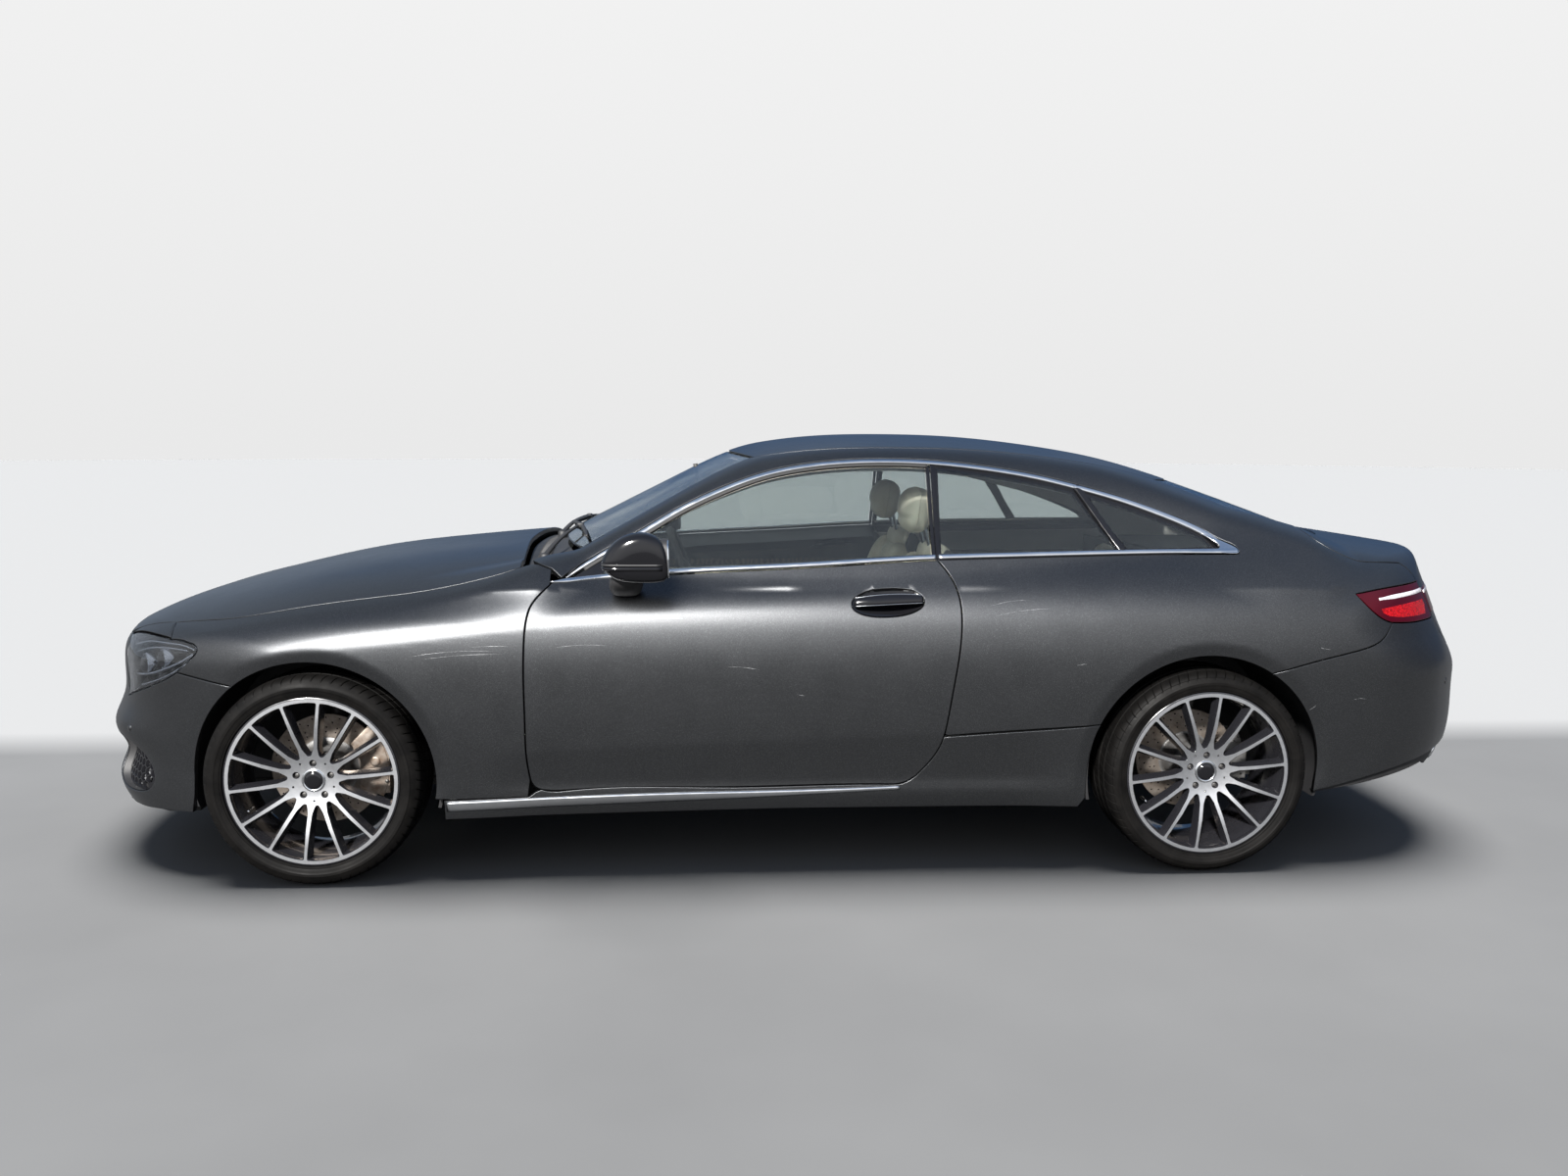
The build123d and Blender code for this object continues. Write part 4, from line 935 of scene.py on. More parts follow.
# ------------------------------------------------------------------ more materials
CHROME, nt, bs = material("bright_trim", (0.78, 0.79, 0.80), rough=0.16, metal=1.0)
nt.links.new(ramp(nt, noise(nt, 30.0, 4.0), (0.3, 0.12), (0.8, 0.24)), bs.inputs["Roughness"])
GLOSS, nt, bs = material("gloss_black", (0.005, 0.005, 0.006), rough=0.12, coat=0.25, spec=0.35)
nt.links.new(ramp(nt, noise(nt, 14.0, 4.0), (0.3, 0.08), (0.8, 0.18)), bs.inputs["Roughness"])
BLACK, nt, bs = material("black_plastic", (0.014, 0.014, 0.015), rough=0.55)
nt.links.new(ramp(nt, noise(nt, 9.0, 4.0), (0.3, (0.010, 0.010, 0.011)), (0.75, (0.022, 0.022, 0.023))), bs.inputs["Base Color"])
bump(nt, bs, noise(nt, 900.0, 2.0), 0.35, 0.0006)
SEAL, nt, bs = material("rubber_seal", (0.010, 0.010, 0.010), rough=0.7)
bump(nt, bs, noise(nt, 300.0, 2.0), 0.2, 0.0005)
GLASS, nt, bs = material("side_glass", (0.60, 0.65, 0.64), rough=0.0, trans=1.0, ior=1.50, coat=0.35, coat_rough=0.01)
nt.links.new(ramp(nt, noise(nt, 5.0, 3.0), (0.3, 0.0), (0.8, 0.012)), bs.inputs["Roughness"])
SCREEN, nt, bs = material("screen_glass", (0.70, 0.76, 0.76), rough=0.0, trans=1.0, ior=1.50, coat=0.35, coat_rough=0.01)
nt.links.new(ramp(nt, noise(nt, 5.0, 3.0), (0.3, 0.0), (0.8, 0.012)), bs.inputs["Roughness"])
DARKGLASS, nt, bs = material("dark_glass", (0.22, 0.25, 0.26), rough=0.0, trans=1.0, ior=1.50, coat=0.35, coat_rough=0.01)
nt.links.new(ramp(nt, noise(nt, 5.0, 3.0), (0.3, 0.0), (0.8, 0.012)), bs.inputs["Roughness"])
LENS, nt, bs = material("lamp_lens", (0.68, 0.71, 0.75), rough=0.0, trans=1.0, ior=1.45)
nt.links.new(ramp(nt, noise(nt, 8.0, 3.0), (0.3, 0.0), (0.8, 0.01)), bs.inputs["Roughness"])
RED, nt, bs = material("red_lens", (0.16, 0.002, 0.005), rough=0.06, coat=0.2, spec=0.25)
nt.links.new(ramp(nt, noise(nt, 6.0, 4.0), (0.3, (0.026, 0.0005, 0.003)), (0.8, (0.044, 0.0008, 0.004))), bs.inputs["Base Color"])
LED, nt, bs = material("red_reflector", (0.70, 0.012, 0.02), rough=0.12, coat=0.15, spec=0.25, emit=((1.0, 0.02, 0.03), 0.05))
vor = nt.nodes.new("ShaderNodeTexVoronoi")
vor.inputs["Scale"].default_value = 160.0
nt.links.new(coords(nt), vor.inputs["Vector"])
nt.links.new(ramp(nt, vor.outputs["Distance"], (0.0, (0.62, 0.010, 0.012)), (0.35, (0.24, 0.001, 0.003)), (1.0, (0.085, 0.0005, 0.0015))), bs.inputs["Base Color"])
bump(nt, bs, vor.outputs["Distance"], 0.8, 0.003)
WHITELENS, nt, bs = material("white_lens", (0.72, 0.70, 0.72), rough=0.12, coat=1.0)
wv = nt.nodes.new("ShaderNodeTexVoronoi")
wv.inputs["Scale"].default_value = 120.0
nt.links.new(coords(nt), wv.inputs["Vector"])
nt.links.new(ramp(nt, wv.outputs["Distance"], (0.0, (0.80, 0.78, 0.80)), (0.8, (0.45, 0.42, 0.45))), bs.inputs["Base Color"])
TYRE, nt, bs = material("tyre_rubber", (0.008, 0.0077, 0.0074), rough=0.6, spec=0.07)
geo = nt.nodes.new("ShaderNodeTexCoord")
nt.links.new(ramp(nt, noise(nt, 18.0, 6.0, 0.6), (0.3, (0.0024, 0.0023, 0.0023)), (0.7, (0.0058, 0.0054, 0.0051))), bs.inputs["Base Color"])
nt.links.new(ramp(nt, noise(nt, 11.0, 4.0), (0.35, 0.46), (0.7, 0.68)), bs.inputs["Roughness"])
bump(nt, bs, noise(nt, 700.0, 2.0), 0.25, 0.0005)
ALLOY, nt, bs = material("machined_alloy", (0.74, 0.75, 0.77), rough=0.36, metal=1.0, coat=0.6, coat_rough=0.05)
nt.links.new(ramp(nt, noise(nt, 60.0, 5.0, 0.65), (0.3, (0.66, 0.67, 0.69)), (0.75, (0.82, 0.83, 0.85))), bs.inputs["Base Color"])
RIMBLACK, nt, bs = material("rim_black", (0.010, 0.010, 0.012), rough=0.2, coat=1.0, spec=0.6)
nt.links.new(ramp(nt, noise(nt, 20.0, 5.0), (0.3, 0.16), (0.75, 0.34)), bs.inputs["Roughness"])
DISC, nt, bs = material("disc_iron", (0.20, 0.17, 0.145), rough=0.42, metal=0.85)
nt.links.new(ramp(nt, noise(nt, 26.0, 6.0, 0.65), (0.3, (0.15, 0.12, 0.095)), (0.7, (0.30, 0.265, 0.235))), bs.inputs["Base Color"])
bump(nt, bs, noise(nt, 260.0, 2.0), 0.2, 0.0008)
CALIPER, nt, bs = material("caliper_cast", (0.24, 0.20, 0.165), rough=0.5, metal=0.7)
nt.links.new(ramp(nt, noise(nt, 34.0, 6.0, 0.65), (0.3, (0.17, 0.115, 0.08)), (0.7, (0.36, 0.32, 0.28))), bs.inputs["Base Color"])
bump(nt, bs, noise(nt, 200.0, 3.0), 0.3, 0.001)
CALIPER_R, nt, bs = material("caliper_grey", (0.33, 0.33, 0.33), rough=0.45, metal=0.7)
nt.links.new(ramp(nt, noise(nt, 34.0, 6.0, 0.65), (0.3, (0.22, 0.21, 0.20)), (0.7, (0.46, 0.45, 0.44))), bs.inputs["Base Color"])
bump(nt, bs, noise(nt, 200.0, 3.0), 0.3, 0.001)
LEATHER, nt, bs = material("cream_leather", (0.62, 0.57, 0.46), rough=0.5, spec=0.4)
nt.links.new(ramp(nt, noise(nt, 12.0, 6.0, 0.6), (0.3, (0.52, 0.47, 0.37)), (0.75, (0.70, 0.65, 0.54))), bs.inputs["Base Color"])
gr = nt.nodes.new("ShaderNodeTexVoronoi")
gr.inputs["Scale"].default_value = 420.0
nt.links.new(coords(nt), gr.inputs["Vector"])
bump(nt, bs, gr.outputs["Distance"], 0.25, 0.0008)
CABIN, nt, bs = material("cabin_trim", (0.022, 0.021, 0.021), rough=0.6)
nt.links.new(ramp(nt, noise(nt, 8.0, 4.0), (0.3, (0.016, 0.0155, 0.015)), (0.75, (0.032, 0.031, 0.030))), bs.inputs["Base Color"])
gr = nt.nodes.new("ShaderNodeTexVoronoi")
gr.inputs["Scale"].default_value = 380.0
nt.links.new(coords(nt), gr.inputs["Vector"])
bump(nt, bs, gr.outputs["Distance"], 0.3, 0.0008)
CLOTH, nt, bs = material("headlining", (0.42, 0.40, 0.37), rough=0.9, sheen=0.3)
nt.links.new(ramp(nt, noise(nt, 240.0, 3.0), (0.3, (0.36, 0.345, 0.32)), (0.75, (0.48, 0.46, 0.43))), bs.inputs["Base Color"])
bump(nt, bs, noise(nt, 500.0, 2.0), 0.3, 0.0008)
CARPET, nt, bs = material("carpet", (0.02, 0.02, 0.02), rough=0.95, sheen=0.2)
nt.links.new(ramp(nt, noise(nt, 300.0, 3.0), (0.3, (0.012, 0.012, 0.012)), (0.75, (0.034, 0.033, 0.032))), bs.inputs["Base Color"])
bump(nt, bs, noise(nt, 500.0, 3.0), 0.8, 0.003)
WOOD, nt, bs = material("dark_wood", (0.06, 0.045, 0.035), rough=0.3, coat=0.7)
wave = nt.nodes.new("ShaderNodeTexWave")
wave.inputs["Scale"].default_value = 14.0
wave.inputs["Distortion"].default_value = 6.0
nt.links.new(coords(nt), wave.inputs["Vector"])
nt.links.new(ramp(nt, wave.outputs["Fac"], (0.2, (0.035, 0.026, 0.020)), (0.8, (0.095, 0.070, 0.052))), bs.inputs["Base Color"])
STEEL, nt, bs = material("exhaust_steel", (0.36, 0.34, 0.31), rough=0.35, metal=1.0)
nt.links.new(ramp(nt, noise(nt, 14.0, 6.0, 0.6), (0.3, (0.24, 0.21, 0.18)), (0.75, (0.46, 0.44, 0.41))), bs.inputs["Base Color"])
CAST, nt, bs = material("cast_metal", (0.16, 0.16, 0.165), rough=0.5, metal=0.8)
nt.links.new(ramp(nt, noise(nt, 22.0, 6.0, 0.6), (0.3, (0.09, 0.085, 0.08)), (0.75, (0.22, 0.22, 0.22))), bs.inputs["Base Color"])
bump(nt, bs, noise(nt, 220.0, 3.0), 0.4, 0.0015)
REFLECT, nt, bs = material("lamp_chrome", (0.50, 0.52, 0.56), rough=0.08, metal=1.0)
nt.links.new(ramp(nt, noise(nt, 40.0, 3.0), (0.3, 0.05), (0.8, 0.14)), bs.inputs["Roughness"])
MIRRORGLASS, nt, bs = material("mirror_glass", (0.85, 0.88, 0.90), rough=0.02, metal=1.0)
nt.links.new(ramp(nt, noise(nt, 10.0, 3.0), (0.3, 0.01), (0.8, 0.03)), bs.inputs["Roughness"])

# ------------------------------------------------------------------ floor, backdrop, light
world = bpy.data.worlds.new("studio")
scene.world = world
world.use_nodes = True
wn = world.node_tree
bg = wn.nodes["Background"]
tc = wn.nodes.new("ShaderNodeTexCoord")
sep = wn.nodes.new("ShaderNodeSeparateXYZ")
wn.links.new(tc.outputs["Generated"], sep.inputs[0])
def sky_ramp(stops):
    rp = wn.nodes.new("ShaderNodeValToRGB")
    while len(rp.color_ramp.elements) < len(stops):
        rp.color_ramp.elements.new(0.5)
    for e, (pos, col) in zip(rp.color_ramp.elements, stops):
        e.position = pos
        e.color = (*col, 1.0)
    wn.links.new(mp.outputs[0], rp.inputs["Fac"])
    return rp.outputs["Color"]


mp = wn.nodes.new("ShaderNodeMath")
mp.operation = "MULTIPLY_ADD"
mp.inputs[1].default_value = 0.5
mp.inputs[2].default_value = 0.5
wn.links.new(sep.outputs[2], mp.inputs[0])
seen = sky_ramp(((0.0, (0.80, 0.80, 0.80)), (0.48, (0.815, 0.815, 0.815)), (0.506, (0.82, 0.82, 0.82)), (0.60, (0.86, 0.86, 0.86)), (0.70, (0.90, 0.90, 0.90)), (1.0, (0.92, 0.92, 0.92))))
near = sky_ramp(((0.0, (0.04, 0.04, 0.04)), (0.49, (0.07, 0.07, 0.07)), (0.505, (0.75, 0.77, 0.80)), (0.58, (1.05, 1.07, 1.10)), (0.72, (0.90, 0.94, 1.02)), (0.86, (0.42, 0.50, 0.66)), (1.0, (0.12, 0.20, 0.36))))
far = sky_ramp(((0.0, (0.05, 0.05, 0.05)), (0.49, (0.08, 0.08, 0.08)), (0.505, (0.05, 0.095, 0.17)), (0.54, (0.045, 0.10, 0.21)), (0.62, (0.09, 0.165, 0.31)), (0.76, (0.19, 0.28, 0.43)), (1.0, (0.12, 0.20, 0.36))))
aft = sky_ramp(((0.0, (0.03, 0.03, 0.03)), (0.49, (0.04, 0.04, 0.045)), (0.505, (0.05, 0.07, 0.11)), (0.58, (0.06, 0.09, 0.16)), (0.72, (0.10, 0.16, 0.27)), (0.86, (0.15, 0.23, 0.38)), (1.0, (0.12, 0.20, 0.36))))


def blend_node(tree, fac, a, b):
    n = tree.nodes.new("ShaderNodeMix")
    n.data_type = "RGBA"
    tree.links.new(fac, n.inputs[0])
    tree.links.new(a, n.inputs[6])
    tree.links.new(b, n.inputs[7])
    return n.outputs[2]


def seen_rays(tree):
    """1 for what is looked at straight or through glass, 0 for light and reflections."""
    lp = tree.nodes.new("ShaderNodeLightPath")
    return maths(tree, "MAXIMUM", lp.outputs["Is Camera Ray"], lp.outputs["Is Transmission Ray"])


across = maths(wn, "MULTIPLY_ADD", sep.outputs[1], 2.8, clamp=True)
across.node.inputs[2].default_value = 0.25
astern = maths(wn, "MULTIPLY_ADD", sep.outputs[0], 2.5, clamp=True)
astern.node.inputs[2].default_value = -1.4
cloud = wn.nodes.new("ShaderNodeTexNoise")
cloud.inputs["Scale"].default_value = 3.4
cloud.inputs["Detail"].default_value = 4.0
wn.links.new(tc.outputs["Generated"], cloud.inputs["Vector"])
lean = maths(wn, "MULTIPLY_ADD", sep.outputs[0], -0.35)
wn.links.new(cloud.outputs["Fac"], lean.node.inputs[2])
cover = maths(wn, "MULTIPLY_ADD", lean, 6.25, clamp=True)
cover.node.inputs[2].default_value = -3.125
cover = maths(wn, "MULTIPLY", cover, 0.7)
white = wn.nodes.new("ShaderNodeRGB")
white.outputs[0].default_value = (0.33, 0.385, 0.455, 1.0)
around = blend_node(wn, astern, blend_node(wn, across, near, blend_node(wn, cover, far, white.outputs[0])), aft)
mixed = blend_node(wn, seen_rays(wn), around, seen)
wn.links.new(mixed, bg.inputs["Color"])
bg.inputs["Strength"].default_value = 1.0
scene.view_settings.view_transform = "Standard"

FLOOR, nt, bs = material("floor", (0.36, 0.355, 0.35), rough=0.8, spec=0.2)
grey = ramp(nt, noise(nt, 0.7, 4.0, 0.55), (0.3, (0.087, 0.0865, 0.0855)), (0.7, (0.101, 0.1005, 0.099)))
floor_at = nt.nodes.new("ShaderNodeSeparateXYZ")
nt.links.new(coords(nt), floor_at.inputs[0])
sweep_up = maths(nt, "MULTIPLY_ADD", floor_at.outputs[1], 2.4, clamp=True)
sweep_up.node.inputs[2].default_value = -1.85
pale = nt.nodes.new("ShaderNodeRGB")
pale.outputs[0].default_value = (0.202, 0.200, 0.195, 1.0)
# painted shade: reflections and bounce light see the floor as this dark grey, so the body's lower sides reflect a dark
# ground, while the camera sees the grey and pale floor
dark = nt.nodes.new("ShaderNodeRGB")
dark.outputs[0].default_value = (0.040, 0.040, 0.040, 1.0)
nt.links.new(blend_node(nt, seen_rays(nt), dark.outputs[0], blend_node(nt, sweep_up, grey, pale.outputs[0])), bs.inputs["Base Color"])
me = bpy.data.meshes.new("floor")
R = 60.0
ring = [(R * math.cos(a), R * math.sin(a), 0.0) for a in np.linspace(0, 2 * math.pi, 96, endpoint=False)]
me.from_pydata(ring, [], [tuple(range(96))])
me.materials.append(FLOOR)
floor = bpy.data.objects.new("floor", me)
scene.collection.objects.link(floor)


def softbox(name, at, look, size, power, colour=(1, 1, 1)):
    d = bpy.data.lights.new(name, "AREA")
    d.shape = "RECTANGLE"
    d.size, d.size_y = size
    d.energy = power
    d.color = colour
    o = bpy.data.objects.new(name, d)
    o.location = at
    o.rotation_euler = (Vector(look) - Vector(at)).to_track_quat("-Z", "Y").to_euler()
    scene.collection.objects.link(o)
    return o


def far_light(name, power, angle, way, colour, only=None, but=None):
    d = bpy.data.lights.new(name, "SUN")
    d.energy = power
    d.angle = math.radians(angle)
    d.color = colour
    o = bpy.data.objects.new(name, d)
    o.rotation_euler = Vector(way).to_track_quat("-Z", "Y").to_euler()
    scene.collection.objects.link(o)
    col = bpy.data.collections.new(name + "_lit")
    for other in only or but:
        col.objects.link(other)
    if but:
        for member in col.collection_objects:
            member.light_linking.link_state = "EXCLUDE"
    o.light_linking.receiver_collection = col
    return o



# ------------------------------------------------------------------ painted panels
DEPTH = 0.016


def place(ob, body_name, slot_name, *nodes):
    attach(ob, body_name)
    if nodes:
        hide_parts(*nodes)
    return ob


SIDES = ((-1, "left", LEFT), (1, "right", RIGHT))
bonnet = panel("bonnet_skin", TOP, [bonnet_loop()], PAINT, depth=DEPTH)
roof_loop = join(*[T(ROOF_BACK, 1), T(ROOF_SIDE, 1), T(ROOF_FRONT, 1)], *[flip(h)[::-1] for h in [T(ROOF_FRONT, 1), T(ROOF_SIDE, 1), T(ROOF_BACK, 1)]])
roof = panel("roof_skin", TOP, [roof_loop], PAINT, depth=DEPTH, gap=0.001)
boot = panel("boot_skin", LID, [boot_loop()], PAINT, depth=DEPTH)
front_bumper = panel("front_bumper_skin", NOSE, [bumper_front()], PAINT, depth=DEPTH)
rear_bumper = panel("rear_bumper_skin", TAIL, [bumper_rear()], PAINT, depth=DEPTH)
SK = {}
for s, nm, net in SIDES:
    for key, fn in (("quarter", left_quarter), ("wing", wing_loop), ("door", door_loop), ("skirt", skirt_loop)):
        SK[nm, key] = panel(nm + "_" + key + "_skin", net, [fn(s)], PAINT, depth=DEPTH, spacing=0.013)


# ------------------------------------------------------------------ wheels
SPOKE0 = 83.4          # angle of one spoke, degrees from rearward, upward
NSP = 14


def cdt_faces(loops, extra=None):
    """Flat fill of loops[0] less the others; gives points and triangles."""
    pts = np.concatenate(loops + ([extra] if extra is not None and len(extra) else []))
    edges, base = [], 0
    for lp in loops:
        n = len(lp)
        edges += [(base + i, base + (i + 1) % n) for i in range(n)]
        base += n
    vv, _, ff, ov, _, _ = delaunay_2d_cdt([Vector(p) for p in pts], edges, [], 0, 1e-7, True)
    vv = np.array([tuple(v) for v in vv])
    cen = np.array([vv[list(f)].mean(0) for f in ff])
    ok = inside(cen, loops)
    tri = [list(f) for f, k in zip(ff, ok) if k]
    return vv, tri


def window(k, r_in, r_out, half, nr=4):
    """Outline of one opening between two spokes, in polar terms about the wheel centre."""
    mid = math.radians(SPOKE0 + 360.0 / NSP * (k + 0.5))
    step_a = math.pi / NSP
    def edge(r, side):
        return mid + side * (step_a - math.asin(min(half(r) / r, 0.9)))
    rs = r_in + (r_out - r_in) * np.array([0.0, 0.02, 0.06, 0.16, 0.45, 0.78, 0.965, 0.985, 1.0])
    left_e = [(r, edge(r, -1)) for r in rs]
    right_e = [(r, edge(r, 1)) for r in rs]
    e0, e1 = edge(r_out, -1), edge(r_out, 1)
    outer = [(r_out, e0 + (e1 - e0) * t) for t in (0.022, 0.05, 0.25, 0.5, 0.75, 0.95, 0.978)]
    inner = [(r_in, a) for a in np.linspace(edge(r_in, 1), edge(r_in, -1), 5)[1:-1]]
    lp = np.array([(r * math.cos(a), r * math.sin(a)) for r, a in left_e + outer + right_e[::-1] + inner])
    # round the corners, keeping the count
    for it in range(3):
        sm = 0.25 * np.roll(lp, 1, 0) + 0.5 * lp + 0.25 * np.roll(lp, -1, 0)
        corner = np.zeros(len(lp), bool)
        for c in (0, 8, 16, 24):
            for o in (-2, -1, 0, 1, 2):
                corner[(c + o) % len(lp)] = True
        lp = np.where(corner[:, None], sm, lp)
    return lp


def circle(cx, cy, r, n, a0=0.0):
    t = a0 + np.linspace(0, 2 * math.pi, n, endpoint=False)
    return np.stack([cx + r * np.cos(t), cy + r * np.sin(t)], 1)


def make_rim(name, xc, zc, side, track, width):
    w = width / 2
    face = w - 0.010
    F = lambda r: face - 0.024 * (1 - step(0.03, 0.19, r)) - 0.004 * step(0.20, 0.262, r) * 0 - 0.002
    centre = np.array([xc, side * track, zc])
    obs = []

    def world(q, out):
        q = np.asarray(q)
        out = np.broadcast_to(out, (len(q),))
        return np.stack([centre[0] + q[:, 0], centre[1] + side * out, centre[2] + q[:, 1]], 1)

    half0 = lambda r: 0.0043 + 0.0016 * (1 - step(0.12, 0.25, r)) + 0.006 * (1 - step(0.078, 0.105, r))
    outer = circle(0, 0, 0.2655, 196)
    wins = [window(k, 0.079, 0.2550, half0) for k in range(NSP)]
    bolts = [circle(0.056 * math.cos(a), 0.056 * math.sin(a), 0.0112, 18) for a in np.radians(90 + 72 * np.arange(5))]
    dots = [circle(0.066 * math.cos(a), 0.066 * math.sin(a), 0.0036, 10) for a in np.radians(126 + 72 * np.arange(5))]
    hub = circle(0, 0, 0.0375, 40)
    loops = [outer] + wins + bolts + dots + [hub]
    vv, tri = cdt_faces(loops)
    r = np.hypot(vv[:, 0], vv[:, 1])
    v = world(vv, F(r))
    e = 1e-3
    slope = (F(r + e) - F(r - e)) / (2 * e)
    nrm = np.stack([-slope * vv[:, 0] / r, side * np.ones(len(r)), -slope * vv[:, 1] / r], 1)
    nrm /= np.linalg.norm(nrm, axis=1, keepdims=True)
    fn = np.cross(v[[t[1] for t in tri]] - v[[t[0] for t in tri]], v[[t[2] for t in tri]] - v[[t[0] for t in tri]])
    tri = [t if fn[i, 1] * side > 0 else t[::-1] for i, t in enumerate(tri)]
    obs.append(make_mesh(name + "_face", v, tri, nrm, [ALLOY]))
    # flanks of the openings: black, widening inward
    levels = [(0.0, 0.0, 0.0), (0.0012, 0.0008, 0.0010), (0.012, 0.0042, 0.0022), (0.034, 0.0100, 0.0040)]
    verts, faces, cnt = [], [], 0
    for k in range(NSP):
        prev = None
        for li, (down, fat, shrink) in enumerate(levels):
            lp = window(k, 0.079 + shrink * 1.6, 0.2550 - shrink, lambda q, f=fat: half0(q) + f * (0.55 + 0.45 * step(0.08, 0.2, q)))
            rr = np.hypot(lp[:, 0], lp[:, 1])
            verts.append(world(lp, F(rr) - down))
            n = len(lp)
            cur = cnt + np.arange(n)
            cnt += n
            if prev is not None:
                for i in range(n):
                    j = (i + 1) % n
                    faces.append((prev[i], prev[j], cur[j], cur[i]))
            prev = cur
    ob = make_mesh(name + "_flank", np.concatenate(verts), faces, None, [RIMBLACK])
    fix_normals(ob)
    # flanks look into the opening, so turn them if they face the spoke
    obs.append(ob)
    # back of the spokes
    wins_b = [window(k, 0.079 + 0.0064, 0.2550 - 0.004, lambda q: half0(q) + 0.0100 * (0.55 + 0.45 * step(0.08, 0.2, q))) for k in range(NSP)]
    vb, tb = cdt_faces([circle(0, 0, 0.2530, 140)] + wins_b)
    rb = np.hypot(vb[:, 0], vb[:, 1])
    obs.append(make_mesh(name + "_back", world(vb, F(rb) - 0.034), tb, None, [RIMBLACK]))
    # bolts, dimples, centre cap
    for i, a in enumerate(np.radians(90 + 72 * np.arange(5))):
        c = (xc + 0.056 * math.cos(a), side * track, zc + 0.056 * math.sin(a))
        f = float(F(0.056))
        obs.append(lathe(name + "_seat%d" % i, [(0.0112, f), (0.0104, f - 0.001), (0.0102, f - 0.016), (0.0, f - 0.017)], c, RIMBLACK, side, 18))
        obs.append(lathe(name + "_bolt%d" % i, [(0.0085, f - 0.0165), (0.0082, f - 0.0090), (0.0062, f - 0.0075), (0.0, f - 0.0072)], c, CAST, side, 6))
    for i, a in enumerate(np.radians(126 + 72 * np.arange(5))):
        c = (xc + 0.066 * math.cos(a), side * track, zc + 0.066 * math.sin(a))
        f = float(F(0.066))
        obs.append(lathe(name + "_dot%d" % i, [(0.0036, f), (0.0032, f - 0.002), (0.0, f - 0.0035)], c, RIMBLACK, side, 10))
    f = float(F(0.0375))
    obs.append(lathe(name + "_cap", [(0.0375, f), (0.0368, f - 0.002), (0.0360, f + 0.0028), (0.0335, f + 0.0040), (0.0300, f + 0.0040), (0.0290, f + 0.0022), (0.0270, f + 0.0016),
                                      (0.0262, f + 0.0030), (0.018, f + 0.0048), (0.009, f + 0.0054), (0.0, f + 0.0056)], tuple(centre), CHROME, side, 48,
                      mats=[CHROME, GLOSS], seg_mat=[0, 0, 0, 0, 0, 1, 1, 1, 1, 1]))
    # ring lip and barrel
    b = w - 0.022
    prof = [(0.2655, F(0.2655)), (0.2690, F(0.2655) - 0.0006), (0.2712, F(0.2655) - 0.0022), (0.2720, w - 0.0150), (0.2700, w - 0.0165)]
    prof = [(a, min(float(o), w - 0.0085)) for a, o in prof]
    obs.append(lathe(name + "_lip", prof, tuple(centre), ALLOY, side, 120, mats=[ALLOY, RIMBLACK], seg_mat=[1, 1, 1, 1]))
    f2 = float(F(0.25))
    prof = [(0.2550, f2), (0.2530, f2 - 0.03), (0.2500, f2 - 0.05), (0.2440, f2 - 0.075), (0.2380, f2 - 0.11), (0.2380, -w + 0.05), (0.2480, -w + 0.03), (0.2560, -w + 0.020), (0.2690, -w + 0.0150), (0.2715, -w + 0.0125),
            (0.2715, -w + 0.0105), (0.2680, -w + 0.0100), (0.2600, -w + 0.0190), (0.2520, -w + 0.0260), (0.2420, -w + 0.05), (0.2420, 0.0), (0.2520, w - 0.028), (0.2580, w - 0.020), (0.2700, w - 0.0165)]
    obs.append(lathe(name + "_barrel", prof, tuple(centre), RIMBLACK, side, 96))
    # valve
    a = math.radians(205.0)
    c = (xc + 0.222 * math.cos(a), side * track, zc + 0.222 * math.sin(a))
    obs.append(lathe(name + "_valve", [(0.0052, f2 - 0.055), (0.0048, f2 - 0.032), (0.0034, f2 - 0.030), (0.0034, f2 - 0.018), (0.0040, f2 - 0.018), (0.0036, f2 - 0.012), (0.0, f2 - 0.011)], c, CHROME, side, 12))
    return join_objects(name, obs)


